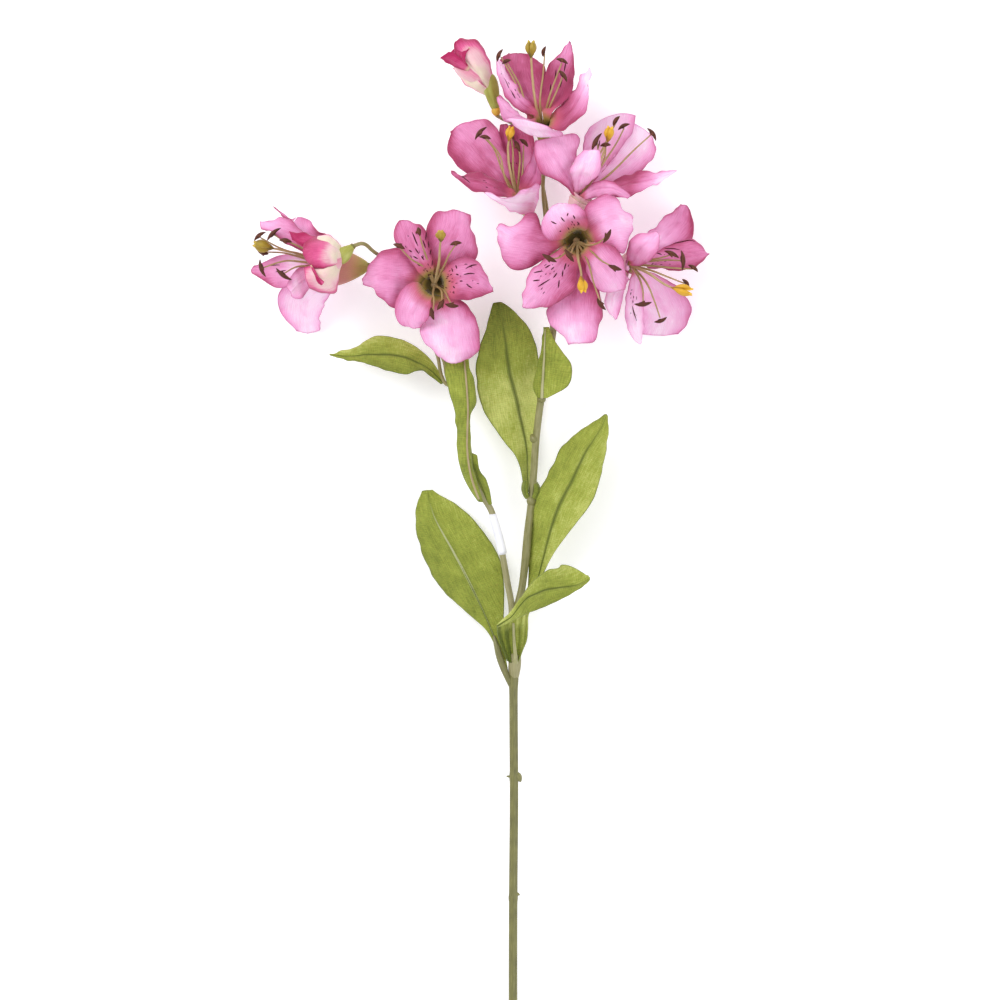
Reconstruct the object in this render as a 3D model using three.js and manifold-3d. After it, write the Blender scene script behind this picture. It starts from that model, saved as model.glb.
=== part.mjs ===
// Fabric alstroemeria spray: one moulded stem that forks into two branches, seven open
// flowers and two buds on thin stalks, eight leaves, and a plain band round one branch.
// The spray lies on the ground plane z = 0. Millimetres, +Z up, +Y towards the flowers.
import * as THREE from 'three';
import Module from 'manifold-3d';

const wasm = await Module();
wasm.setup();

// ---- driving dimensions (mm) ----
const PETAL_THICKNESS = 0.9;
const LEAF_THICKNESS = 1.0;
const CLEARANCE = 0.4;          // gap kept between neighbouring pieces
const SMOOTHING = 0.09;         // largest facet that may be merged away
const FILAMENT_RADIUS = 0.8;
const ANTHER_RADIUS = 1.25;
const STIGMA_RADIUS = 2.1;
const STALK_RADIUS = 1.1;
const BUD_STALK_RADIUS = 1.0;
const OUTER_COLLAR = { r: 4.2, from: 0.3, to: 2.3 };
const INNER_COLLAR = { r: 3.5, from: 2.7, to: 4.6 };
const STAMEN_COLLAR = { r: 2.3, from: 5.0, to: 7.0 };
const BELL_FROM = 16;           // calyx length above which it is a bell
const BAND_RADIUS = 2.15;
const BAND_LENGTH = 24;

// Flower axes: point where the perianth starts, unit direction out of the flower, calyx length.
const FLOWERS = {
  a: { p: [-95.66,137.59,38], a: [-0.99,-0.02,0.1], calyx: 19 },
  b: { p: [-38.41,127.06,36], a: [-0.04,-0.05,1.0], calyx: 14 },
  c: { p: [25.43,217.08,34], a: [-0.13,0.84,0.53], calyx: 8 },
  d: { p: [45.47,152.94,38], a: [-0.06,-0.06,1.0], calyx: 14 },
  e: { p: [13.63,173.6,30], a: [-0.62,0.66,0.42], calyx: 8 },
  f: { p: [46.73,177.45,34], a: [0.53,0.81,0.25], calyx: 8 },
  g: { p: [72.19,139.65,33], a: [0.97,-0.12,0.22], calyx: 11 },
};
// Petal control rows from claw to tip, each row [left edge, midrib, right edge] in mm.
const PETALS = {
  b1: [[[-39.31,128.55,37.34],[-38.08,128.13,37.37],[-36.85,127.72,37.4]],[[-39.13,132.25,38.03],[-36.79,131.99,38.11],[-34.77,130.77,38.13]],[[-39.46,135.47,44.0],[-35.34,136.65,44.0],[-31.81,135.47,44.0]],[[-42.39,146.11,51.0],[-31.59,144.4,53.0],[-20.4,137.2,51.0]],[[-43.95,157.26,53.0],[-27.12,152.0,57.0],[-12.91,144.76,52.0]],[[-39.02,167.31,54.0],[-23.76,160.34,57.0],[-15.65,155.86,53.0]],[[-28.16,170.16,53.0],[-22.87,169.5,54.0],[-17.61,167.29,52.0]]],
  b3: [[[-39.24,128.59,37.35],[-39.62,127.34,37.27],[-39.99,126.1,37.19]],[[-42.43,130.55,37.82],[-43.56,128.5,37.67],[-43.74,126.15,37.55]],[[-43.59,132.53,44.0],[-46.53,128.99,44.0],[-47.12,127.22,44.0]],[[-51.63,142.81,51.0],[-55.0,129.28,52.0],[-55.79,119.88,50.0]],[[-63.1,147.81,54.0],[-63.46,130.1,56.0],[-63.16,112.16,51.0]],[[-74.01,141.38,52.0],[-72.09,129.32,55.0],[-71.11,120.24,52.0]],[[-80.85,129.95,48.0],[-80.82,128.13,49.0],[-80.56,127.01,48.0]]],
  b5: [[[-39.06,125.34,37.19],[-37.91,125.94,37.27],[-36.76,126.54,37.34]],[[-38.3,121.66,37.54],[-36.03,122.28,37.66],[-34.23,123.79,37.81]],[[-40.92,121.34,43.98],[-35.03,119.57,43.98],[-32.68,119.57,43.98]],[[-44.39,109.71,50.0],[-30.94,110.57,51.0],[-20.06,115.46,50.0]],[[-46.66,97.71,53.0],[-28.57,100.48,55.0],[-13.2,103.64,51.0]],[[-39.88,87.91,49.0],[-27.12,90.53,52.0],[-12.24,90.34,48.0]],[[-30.05,80.73,43.0],[-25.92,80.69,44.0],[-21.81,81.35,42.0]]],
  b2: [[[-39.96,127.39,39.56],[-38.94,127.81,39.62],[-37.92,128.23,39.69]],[[-41.63,129.48,40.5],[-40.16,130.63,40.62],[-38.3,130.85,40.7]],[[-43.83,130.12,50.03],[-41.48,132.47,50.03],[-39.13,133.65,50.03]],[[-50.5,136.63,57.0],[-45.9,138.72,58.0],[-39.59,141.28,57.0]],[[-57.25,144.58,59.0],[-49.83,146.64,61.0],[-41.41,149.92,59.0]],[[-62.15,153.76,60.0],[-52.75,155.16,61.0],[-43.88,158.4,60.0]],[[-59.14,163.65,58.0],[-55.62,163.94,58.0],[-51.52,163.06,58.0]]],
  b6: [[[-38.11,128.3,39.68],[-37.65,127.3,39.65],[-37.19,126.3,39.62]],[[-36.08,129.97,40.75],[-34.87,128.54,40.72],[-34.58,126.7,40.64]],[[-34.15,132.05,50.14],[-32.97,129.12,50.14],[-32.97,125.59,50.14]],[[-28.67,139.24,57.0],[-27.03,129.06,58.0],[-29.29,117.74,57.0]],[[-17.94,142.3,60.0],[-18.97,130.33,61.0],[-20.69,116.94,58.0]],[[-9.85,134.73,58.0],[-11.18,127.88,60.0],[-12.13,118.72,58.0]],[[-4.11,124.92,54.0],[-4.1,123.99,55.0],[-4.69,123.11,55.0]]],
  b4: [[[-40.03,126.72,39.53],[-39.14,126.08,39.53],[-38.25,125.43,39.53]],[[-42.15,124.97,40.26],[-40.98,123.52,40.23],[-39.23,122.87,40.27]],[[-44.59,123.35,49.81],[-42.83,121.0,49.81],[-40.48,119.83,49.81]],[[-53.46,126.8,58.0],[-46.3,118.9,57.0],[-40.33,116.33,58.0]],[[-60.38,118.07,61.0],[-49.91,113.16,61.0],[-40.35,110.51,61.0]],[[-61.01,107.1,60.0],[-51.49,106.76,60.0],[-42.67,105.37,60.0]],[[-52.74,100.79,56.0],[-49.81,100.5,56.0],[-46.29,101.08,56.0]]],
  d1: [[[44.39,154.32,39.32],[44.21,153.04,39.23],[44.02,151.75,39.15]],[[40.95,155.81,39.71],[40.13,153.61,39.53],[40.29,151.27,39.4]],[[38.19,155.92,46.79],[37.01,153.57,46.79],[38.19,150.62,46.79]],[[28.98,156.34,52.0],[29.94,151.48,53.0],[28.07,143.15,52.0]],[[22.64,166.87,54.0],[18.77,152.49,56.0],[14.16,135.28,53.0]],[[12.0,163.98,54.0],[7.71,153.92,56.0],[1.27,142.13,51.0]],[[-0.59,161.2,51.0],[-2.05,159.66,52.0],[-1.76,157.97,51.0]]],
  d3: [[[45.63,154.61,39.41],[46.37,153.55,39.4],[47.12,152.48,39.38]],[[47.97,157.45,40.23],[49.69,155.85,40.23],[50.6,153.68,40.16]],[[49.73,159.33,47.33],[51.49,156.98,47.33],[52.67,155.21,47.33]],[[48.97,169.59,52.0],[54.33,159.8,54.0],[60.38,150.28,53.0]],[[58.02,178.43,54.0],[61.5,163.58,58.0],[70.47,145.29,55.0]],[[69.88,175.52,54.0],[69.72,165.24,56.0],[75.34,152.19,52.0]],[[77.62,165.23,48.0],[78.17,164.28,49.0],[78.2,163.46,48.0]]],
  d5: [[[44.39,151.41,39.15],[45.65,151.69,39.24],[46.92,151.97,39.33]],[[44.17,147.66,39.41],[46.52,147.66,39.55],[48.65,148.65,39.74]],[[44.37,144.65,45.83],[46.72,144.65,45.83],[48.48,144.65,45.83]],[[39.32,132.3,48.0],[45.33,133.98,50.0],[53.35,134.18,48.0]],[[32.09,117.51,49.0],[44.15,119.9,51.0],[58.92,120.13,48.0]],[[29.36,103.69,46.0],[44.57,105.98,48.0],[59.38,105.55,44.0]],[[40.69,92.0,41.0],[46.57,92.26,42.0],[53.1,92.63,40.0]]],
  d2: [[[44.27,153.84,41.6],[45.36,153.72,41.65],[46.45,153.59,41.71]],[[43.81,156.44,42.63],[45.65,156.74,42.75],[47.38,156.04,42.82]],[[41.89,156.9,52.13],[45.43,158.72,51.13],[48.37,158.14,51.13]],[[32.18,151.35,62.0],[42.08,160.41,60.0],[51.55,160.64,59.0]],[[24.72,156.31,66.0],[39.06,164.24,66.0],[50.52,166.37,64.0]],[[25.73,165.67,66.0],[36.3,168.57,66.0],[46.52,171.0,64.0]],[[32.73,172.72,62.0],[36.84,173.67,61.0],[40.93,173.67,61.0]]],
  d6: [[[43.78,152.57,41.49],[44.66,151.92,41.5],[45.55,151.27,41.52]],[[41.63,150.85,42.16],[42.78,149.38,42.14],[44.53,148.71,42.21]],[[38.96,149.13,51.7],[40.72,146.78,51.7],[43.66,145.61,51.7]],[[30.97,144.05,58.0],[35.64,139.98,58.0],[45.67,134.56,57.0]],[[20.72,136.72,60.0],[27.88,130.93,62.0],[42.3,121.43,59.0]],[[14.77,125.97,59.0],[20.62,121.82,61.0],[30.99,114.01,58.0]],[[12.89,113.68,56.0],[13.48,112.8,56.0],[17.59,112.56,55.0]]],
  d4: [[[46.56,153.42,41.71],[46.19,152.39,41.62],[45.83,151.35,41.54]],[[49.19,153.15,42.75],[49.06,151.29,42.63],[47.99,149.77,42.48]],[[50.85,152.82,52.1],[50.85,149.89,52.1],[49.11,147.02,51.1]],[[59.0,150.54,59.0],[54.54,144.3,60.0],[49.45,138.69,57.0]],[[69.21,145.75,62.0],[60.13,137.21,63.0],[52.72,129.72,59.0]],[[73.33,135.01,60.0],[65.46,130.17,60.0],[58.62,122.74,57.0]],[[72.79,123.86,52.0],[69.85,122.68,52.0],[68.15,121.91,50.0]]],
  a1: [[[-97.05,139.22,37.52],[-96.92,138.63,38.67],[-96.79,138.05,39.82]],[[-97.55,142.87,38.3],[-97.31,142.28,40.56],[-97.1,140.8,42.38]],[[-103.32,148.36,38.37],[-103.14,144.57,42.37],[-104.82,140.92,44.37]],[[-112.19,154.84,40.0],[-111.93,149.81,44.0],[-113.97,144.93,46.0]],[[-120.71,162.4,42.0],[-120.81,155.6,46.0],[-123.15,149.37,49.0]],[[-130.89,166.85,42.0],[-130.73,159.62,46.0],[-131.67,155.1,50.0]],[[-141.42,164.4,43.0],[-141.36,161.97,44.0],[-140.65,159.48,46.0]]],
  a3: [[[-96.98,139.33,38.24],[-97.05,138.43,37.3],[-97.13,137.53,36.37]],[[-97.72,142.61,36.54],[-97.89,141.38,34.54],[-97.98,139.42,33.23]],[[-100.55,146.69,34.0],[-103.01,144.45,32.0],[-105.47,143.39,30.0]],[[-101.45,154.66,30.0],[-108.58,150.33,24.0],[-115.12,148.55,20.0]],[[-107.35,159.79,26.0],[-114.54,155.52,19.0],[-124.48,153.68,15.0]],[[-113.16,165.43,22.0],[-121.05,159.74,16.0],[-129.04,162.05,12.0]],[[-120.29,168.53,18.0],[-123.42,165.76,15.0],[-121.79,168.95,12.0]]],
  a6: [[[-97.13,137.89,36.4],[-97.04,136.84,37.17],[-96.94,135.8,37.94]],[[-97.95,136.53,32.98],[-97.81,134.39,33.94],[-97.61,132.84,35.7]],[[-103.64,133.85,31.0],[-101.36,130.41,29.0],[-98.99,128.03,29.0]],[[-117.92,130.77,25.0],[-108.61,124.56,21.0],[-101.59,121.42,23.0]],[[-130.88,125.18,18.0],[-115.11,118.09,13.0],[-105.3,115.21,16.0]],[[-130.98,111.77,9.0],[-116.67,109.17,6.0],[-107.4,108.36,10.0]],[[-121.67,101.29,2.5],[-115.2,100.2,0.0],[-108.42,101.23,4.0]]],
  a2: [[[-99.19,138.75,39.18],[-99.29,138.48,38.12],[-99.39,138.22,37.06]],[[-100.13,141.43,39.32],[-100.32,141.47,37.46],[-100.46,140.55,35.84]],[[-105.15,147.1,37.0],[-105.74,145.32,37.0],[-106.33,142.96,37.0]],[[-113.46,153.14,31.0],[-113.18,152.24,33.0],[-112.78,150.92,35.0]],[[-121.03,160.03,26.0],[-119.79,159.99,29.0],[-118.14,159.69,32.0]],[[-127.78,167.57,23.0],[-126.6,167.49,26.0],[-125.85,166.62,29.0]],[[-134.89,174.41,23.0],[-134.24,174.04,24.0],[-133.59,173.67,25.0]]],
  a4: [[[-99.34,138.79,37.6],[-99.34,137.71,37.38],[-99.34,136.63,37.17]],[[-100.5,139.96,35.29],[-100.55,138.3,34.45],[-100.5,136.43,34.58]],[[-104.59,142.94,30.5],[-105.68,138.69,32.5],[-105.59,135.62,34.5]],[[-114.91,143.72,31.0],[-115.72,139.58,34.0],[-116.62,132.78,38.0]],[[-125.54,145.76,30.0],[-126.38,138.49,31.0],[-126.17,126.23,34.0]],[[-135.93,143.03,29.0],[-137.04,137.44,29.0],[-137.2,128.01,30.0]],[[-145.88,138.76,28.0],[-147.66,136.39,28.0],[-147.06,134.61,28.0]]],
  a5: [[[-99.14,138.43,39.52],[-99.14,137.35,39.34],[-99.14,136.26,39.15]],[[-99.78,138.67,42.28],[-99.72,136.81,42.47],[-99.77,135.12,41.68]],[[-104.63,139.82,45.5],[-105.22,136.28,45.5],[-104.67,131.62,44.5]],[[-111.71,138.83,44.0],[-110.17,133.31,44.0],[-109.09,127.82,43.0]],[[-118.25,136.78,47.0],[-114.97,130.11,46.0],[-112.88,123.24,45.0]],[[-122.69,131.38,51.0],[-119.24,126.23,51.0],[-116.7,118.77,49.0]],[[-125.51,124.92,54.0],[-123.16,121.99,54.0],[-122.04,119.11,53.0]]],
  c1: [[[23.52,217.92,34.68],[24.53,217.6,35.43],[25.54,217.28,36.18]],[[20.46,216.85,36.6],[21.93,216.04,38.24],[24.03,215.72,39.27]],[[15.97,222.29,47.5],[18.93,223.66,45.5],[21.3,223.76,44.5]],[[9.66,231.73,49.0],[17.94,234.92,45.0],[26.62,236.58,42.0]],[[3.44,242.2,50.0],[13.92,243.95,45.0],[27.14,247.05,41.0]],[[-0.76,254.13,46.0],[10.81,253.64,42.0],[25.29,257.25,39.0]],[[5.91,263.66,38.0],[10.64,264.18,36.0],[16.55,263.0,36.0]]],
  c3: [[[27.02,218.41,34.73],[26.12,217.82,35.45],[25.22,217.23,36.18]],[[30.2,218.22,36.75],[28.96,217.03,38.35],[27.0,216.14,39.31]],[[29.26,226.11,43.36],[29.84,223.07,44.36],[28.64,219.35,46.36]],[[35.46,232.31,44.22],[38.98,226.29,49.65],[39.4,218.38,54.87]],[[41.17,239.22,45.0],[45.45,234.15,52.0],[48.83,225.72,58.0]],[[46.44,246.53,45.0],[49.94,243.75,50.43],[52.01,237.61,54.87]],[[51.81,253.75,45.0],[52.96,254.23,46.0],[53.53,250.59,47.0]]],
  c4: [[[26.0,217.4,36.1],[24.81,217.54,35.59],[23.62,217.68,35.09]],[[25.48,215.81,39.47],[23.18,215.78,38.96],[21.27,216.29,37.68]],[[19.99,221.09,48.0],[20.59,222.95,47.0],[21.19,224.22,46.0]],[[11.67,220.41,57.0],[14.01,224.06,54.0],[14.3,223.84,52.0]],[[3.52,220.63,64.0],[7.78,226.17,59.0],[9.09,227.6,55.0]],[[0.29,227.38,64.0],[2.86,230.55,61.0],[4.9,232.8,57.0]],[[-1.75,235.65,61.0],[-1.17,236.05,60.0],[-0.59,236.44,59.0]]],
  c2: [[[24.84,219.31,37.14],[25.65,219.79,36.57],[26.45,220.27,35.99]],[[25.94,218.93,39.73],[27.6,219.55,39.13],[28.59,220.49,37.85]],[[24.98,227.85,45.43],[27.91,227.75,46.43],[30.26,227.07,47.43]],[[24.61,240.21,43.0],[30.93,238.71,44.0],[38.38,234.73,47.0]],[[26.89,251.72,42.0],[34.73,249.24,43.0],[43.35,245.17,47.0]],[[33.02,261.63,39.0],[37.92,260.22,40.0],[43.78,257.64,42.0]],[[40.81,270.91,34.0],[41.4,271.5,34.0],[41.98,270.2,35.0]]],
  c5: [[[23.59,219.69,36.23],[24.6,219.58,36.65],[25.61,219.47,37.07]],[[21.86,219.14,38.41],[23.32,218.69,39.48],[25.16,218.77,39.79]],[[19.71,225.99,48.56],[20.9,227.26,47.56],[22.08,228.53,46.56]],[[10.08,228.89,56.0],[13.11,232.76,53.0],[15.9,235.37,51.0]],[[3.28,236.47,59.0],[6.7,239.89,56.0],[9.8,242.37,53.0]],[[-0.9,246.12,58.0],[2.27,248.75,55.0],[4.55,250.31,52.0]],[[-2.35,257.11,52.0],[-1.17,258.39,51.0],[0.0,258.79,50.0]]],
  c6: [[[23.87,219.47,36.64],[24.96,219.58,36.74],[26.05,219.68,36.83]],[[23.0,218.78,39.26],[24.77,218.68,39.84],[26.57,219.12,39.57]],[[21.76,220.5,48.0],[24.11,218.15,48.0],[28.22,219.32,48.0]],[[16.23,218.89,55.0],[21.93,213.56,55.0],[32.23,214.96,54.0]],[[10.74,218.54,62.0],[17.94,214.23,61.0],[37.21,213.27,59.0]],[[5.67,220.35,66.0],[15.94,217.77,66.0],[33.05,216.1,63.0]],[[4.67,222.8,67.0],[14.58,221.83,68.0],[28.01,218.23,66.0]]],
  e1: [[[12.35,175.05,28.94],[13.26,175.32,29.84],[14.16,175.6,30.73]],[[12.66,177.75,26.33],[14.44,178.6,27.62],[15.85,178.74,29.49]],[[6.35,183.46,33.36],[7.54,188.94,31.36],[9.91,190.2,30.36]],[[-7.29,187.56,38.0],[-1.34,195.12,34.0],[5.22,199.97,31.0]],[[-20.13,193.36,39.0],[-9.13,204.16,33.0],[0.87,212.59,29.0]],[[-29.67,203.6,37.0],[-16.58,213.6,31.0],[-5.08,224.16,27.0]],[[-28.44,217.45,30.0],[-24.91,222.38,28.0],[-17.8,224.84,27.0]]],
  e3: [[[12.77,173.48,32.02],[13.49,174.46,31.54],[14.21,175.43,31.07]],[[13.91,173.04,35.58],[15.46,174.76,35.16],[16.45,176.49,33.9]],[[20.08,170.06,38.0],[21.24,172.87,40.0],[22.4,176.85,42.0]],[[12.16,168.46,42.87],[14.18,174.21,46.87],[22.17,186.35,50.87]],[[4.55,171.11,48.5],[6.09,174.29,52.0],[12.24,180.78,55.0]],[[-2.42,175.01,54.13],[-1.56,176.63,55.57],[1.84,176.91,56.78]],[[-9.08,179.53,57.0],[-8.79,180.12,57.0],[-8.79,180.41,57.0]]],
  e6: [[[12.7,175.33,29.01],[13.45,175.36,30.07],[14.21,175.39,31.13]],[[13.71,178.33,26.97],[15.31,178.77,28.65],[16.38,178.45,30.72]],[[11.85,186.05,30.0],[13.04,187.23,30.0],[14.81,187.23,30.0]],[[10.4,195.36,26.0],[13.09,196.51,25.0],[17.53,196.08,26.0]],[[8.56,204.63,22.0],[12.22,205.7,21.0],[19.89,204.97,23.0]],[[6.19,213.63,20.0],[10.9,214.78,18.0],[20.54,214.14,20.0]],[[4.17,222.72,18.0],[8.34,223.5,16.0],[15.49,221.62,17.0]]],
  e2: [[[12.41,176.28,32.55],[11.58,175.58,32.41],[10.74,174.89,32.28]],[[12.87,176.29,35.35],[11.59,174.95,35.58],[10.13,174.0,34.9]],[[8.29,182.82,40.17],[7.11,179.21,41.17],[7.7,177.36,42.17]],[[-0.5,187.64,43.0],[-1.58,183.21,46.0],[-1.9,178.95,49.0]],[[-9.62,191.79,44.0],[-10.5,186.7,48.0],[-11.48,180.6,51.0]],[[-19.41,192.53,44.0],[-19.87,188.94,48.0],[-20.33,184.36,51.0]],[[-28.85,193.4,45.0],[-28.84,192.73,46.0],[-27.65,191.18,47.0]]],
  e4: [[[11.98,175.69,32.85],[12.16,176.39,32.01],[12.33,177.08,31.18]],[[13.31,176.89,35.05],[13.98,178.23,33.94],[13.88,179.17,32.32]],[[11.21,183.49,40.0],[14.17,183.06,38.0],[15.96,181.44,36.0]],[[12.18,189.65,43.0],[18.39,188.64,39.0],[22.95,184.92,36.0]],[[15.16,195.26,44.0],[21.36,194.86,40.0],[24.89,192.34,37.0]],[[18.12,201.19,42.0],[21.68,201.96,39.0],[23.67,200.2,37.0]],[[19.49,207.86,38.0],[20.68,209.21,36.0],[21.88,208.12,35.0]]],
  e5: [[[11.57,176.89,30.35],[12.04,176.72,31.33],[12.52,176.54,32.3]],[[12.4,179.5,29.62],[13.51,179.59,31.12],[13.96,178.94,32.81]],[[9.11,185.99,33.93],[10.29,186.58,33.93],[12.65,185.4,33.93]],[[4.57,194.49,30.0],[6.94,195.41,30.0],[12.56,195.0,31.0]],[[1.59,203.74,27.0],[4.32,204.61,27.0],[10.88,204.73,28.0]],[[-0.37,213.2,25.0],[2.46,213.92,25.0],[7.48,213.9,26.0]],[[0.0,222.84,23.0],[2.38,223.44,23.0],[4.75,223.34,24.0]]],
  f1: [[[47.22,178.1,36.04],[46.58,178.79,35.15],[45.94,179.48,34.25]],[[45.48,178.83,39.3],[44.0,180.17,38.06],[43.22,181.28,36.14]],[[42.43,180.09,41.61],[43.62,183.12,40.61],[44.84,185.04,38.61]],[[35.28,186.96,46.0],[39.77,189.9,46.0],[43.23,193.17,42.0]],[[25.41,190.82,49.0],[35.18,196.94,50.0],[43.68,201.73,45.0]],[[20.64,200.17,51.0],[31.08,204.46,51.0],[47.07,209.74,47.0]],[[20.57,211.0,49.0],[28.22,212.86,48.0],[42.37,215.98,46.0]]],
  f3: [[[46.83,179.34,32.88],[47.84,178.58,33.21],[48.84,177.82,33.54]],[[47.59,180.55,29.39],[49.55,179.24,29.51],[51.15,177.87,30.56]],[[51.75,184.88,29.17],[52.95,183.18,28.17],[53.54,181.41,28.17]],[[58.13,194.21,30.0],[61.76,191.01,28.0],[65.08,185.91,28.0]],[[66.35,203.49,27.0],[72.52,198.44,24.0],[77.55,191.92,25.0]],[[73.43,213.7,24.0],[81.75,207.8,20.0],[88.6,200.18,22.0]],[[79.13,224.91,20.0],[88.21,219.33,16.0],[92.26,213.1,19.0]]],
  f5: [[[46.35,178.76,35.72],[47.45,178.12,35.47],[48.56,177.48,35.22]],[[45.88,178.52,39.45],[47.85,177.23,39.48],[49.78,176.26,38.56]],[[50.66,182.56,44.08],[50.09,179.7,43.08],[49.54,176.9,41.08]],[[56.53,186.84,52.0],[56.18,182.57,51.0],[55.75,178.03,48.0]],[[64.03,186.8,57.0],[63.12,182.76,57.0],[62.14,178.32,53.0]],[[71.05,183.33,60.0],[69.93,180.93,60.0],[68.56,178.12,57.0]],[[76.67,177.92,59.0],[76.08,177.33,59.0],[74.94,176.82,58.0]]],
  f2: [[[47.43,181.22,34.68],[48.28,180.85,34.1],[49.14,180.47,33.52]],[[46.47,183.43,33.18],[47.7,183.05,31.82],[49.27,182.2,31.27]],[[46.92,185.82,32.71],[48.74,187.16,30.71],[51.13,186.05,29.71]],[[48.37,193.81,34.0],[54.44,196.55,30.0],[60.84,194.66,29.0]],[[48.9,203.24,32.0],[58.76,207.5,27.0],[69.13,204.92,27.0]],[[49.42,212.77,29.0],[63.94,218.1,24.0],[76.82,215.68,25.0]],[[53.41,221.38,26.0],[67.8,229.28,21.0],[80.85,228.29,22.0]]],
  f4: [[[47.38,181.02,35.4],[48.18,180.38,35.81],[48.97,179.74,36.21]],[[46.19,182.19,37.7],[47.27,181.15,38.81],[48.79,180.09,39.02]],[[44.21,181.57,42.0],[45.98,181.57,42.0],[48.32,182.67,43.0]],[[42.32,187.91,50.0],[46.61,187.42,52.0],[53.08,186.87,54.0]],[[41.44,194.61,55.0],[48.65,193.13,59.0],[58.49,190.69,60.0]],[[44.79,200.48,58.0],[51.49,198.87,62.0],[59.03,197.52,62.0]],[[50.31,204.75,60.0],[54.36,204.87,62.0],[58.45,204.58,62.0]]],
  f7: [[[49.83,179.52,35.14],[48.97,179.89,35.72],[48.12,180.27,36.31]],[[51.74,178.77,37.1],[50.51,179.15,38.46],[48.94,179.99,39.01]],[[52.36,181.33,38.93],[52.32,179.4,40.93],[52.27,177.48,42.93]],[[64.01,186.53,40.22],[64.91,183.32,44.43],[64.26,178.1,48.65]],[[75.74,191.98,41.5],[77.99,186.68,46.0],[76.69,178.34,50.5]],[[88.4,193.55,42.0],[91.43,189.15,44.43],[88.08,184.11,46.87]],[[101.48,194.11,40.0],[104.43,194.11,40.0],[99.08,191.08,41.0]]],
  g1: [[[73.62,141.24,33.51],[73.73,140.39,32.54],[73.85,139.54,31.56]],[[74.85,144.53,32.13],[75.17,143.4,30.1],[75.26,141.52,28.68]],[[80.51,145.63,32.0],[82.95,144.57,30.0],[84.17,142.85,29.0]],[[85.1,154.92,29.0],[91.61,150.95,25.0],[96.82,146.24,24.0]],[[92.28,162.29,27.0],[99.71,158.0,21.0],[108.86,151.46,20.0]],[[99.66,169.84,22.0],[106.78,166.11,17.0],[115.57,161.43,17.0]],[[108.56,175.97,14.0],[111.04,176.11,12.0],[112.79,174.25,13.0]]],
  g4: [[[73.4,137.85,32.64],[73.64,139.05,32.19],[73.89,140.24,31.74]],[[74.27,135.52,29.81],[74.79,137.45,28.56],[75.15,139.75,28.22]],[[78.28,133.42,28.0],[82.46,135.26,27.0],[84.21,136.39,28.0]],[[80.78,125.15,22.0],[89.62,127.32,19.0],[97.7,131.79,22.0]],[[82.82,116.77,15.0],[96.08,118.74,12.0],[109.04,123.27,17.0]],[[83.1,108.15,8.0],[100.58,109.1,5.0],[113.99,110.62,11.0]],[[84.48,99.45,3.5],[98.4,98.7,0.0],[105.98,99.99,5.0]]],
  g6: [[[73.01,138.8,34.85],[73.23,138.37,33.64],[73.45,137.95,32.44]],[[72.66,135.7,36.96],[72.96,134.47,34.98],[73.45,134.18,32.69]],[[74.19,132.77,36.44],[75.38,131.59,36.44],[76.56,130.4,36.44]],[[67.14,129.71,39.0],[70.55,127.34,40.0],[73.95,125.67,40.0]],[[62.5,122.62,41.0],[67.17,120.7,42.0],[72.4,119.22,42.0]],[[62.55,114.3,41.0],[66.0,113.51,42.0],[71.11,112.84,42.0]],[[67.26,107.38,40.0],[67.85,106.49,40.0],[69.03,106.79,40.0]]],
  g2: [[[75.8,140.68,34.05],[75.91,139.99,33.2],[76.02,139.31,32.35]],[[77.2,143.02,33.25],[77.49,142.28,31.56],[77.56,140.77,30.46]],[[83.81,145.27,30.51],[84.37,143.43,31.51],[84.33,141.01,32.51]],[[93.47,147.6,27.0],[93.67,141.56,31.0],[94.02,136.63,35.0]],[[104.04,152.92,24.0],[103.85,143.38,29.0],[104.72,136.01,35.0]],[[115.31,154.32,22.0],[114.07,144.58,28.0],[115.09,137.58,33.0]],[[124.15,146.72,24.0],[124.34,146.0,26.0],[123.64,144.69,28.0]]],
  g5: [[[75.44,137.78,34.06],[75.71,138.41,33.2],[75.98,139.05,32.35]],[[76.22,135.17,33.28],[76.69,135.8,31.58],[77.12,137.24,30.47]],[[78.18,133.91,31.84],[79.99,133.38,30.84],[81.8,132.84,29.84]],[[75.8,125.72,33.0],[79.28,124.31,31.0],[84.2,124.57,28.0]],[[74.03,115.88,32.0],[78.89,113.67,29.0],[85.48,114.46,25.0]],[[74.59,105.98,29.0],[80.34,103.14,26.0],[85.11,104.28,22.0]],[[78.41,96.82,24.0],[82.64,92.74,22.0],[85.08,94.01,20.0]]],
  g3: [[[75.7,140.56,34.44],[75.5,139.52,34.73],[75.31,138.47,35.02]],[[76.23,141.88,36.89],[75.83,140.32,37.84],[75.6,138.47,37.84]],[[74.9,141.54,41.0],[78.99,140.89,42.0],[81.87,137.83,44.0]],[[74.83,148.31,47.0],[80.92,145.44,51.0],[87.01,139.35,54.0]],[[77.97,154.08,52.0],[84.28,149.3,57.0],[90.67,143.32,60.0]],[[84.36,156.63,56.0],[88.37,152.72,60.0],[93.07,148.47,62.0]],[[91.3,157.43,59.0],[92.43,156.49,60.0],[93.56,154.37,61.0]]],
};
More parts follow.
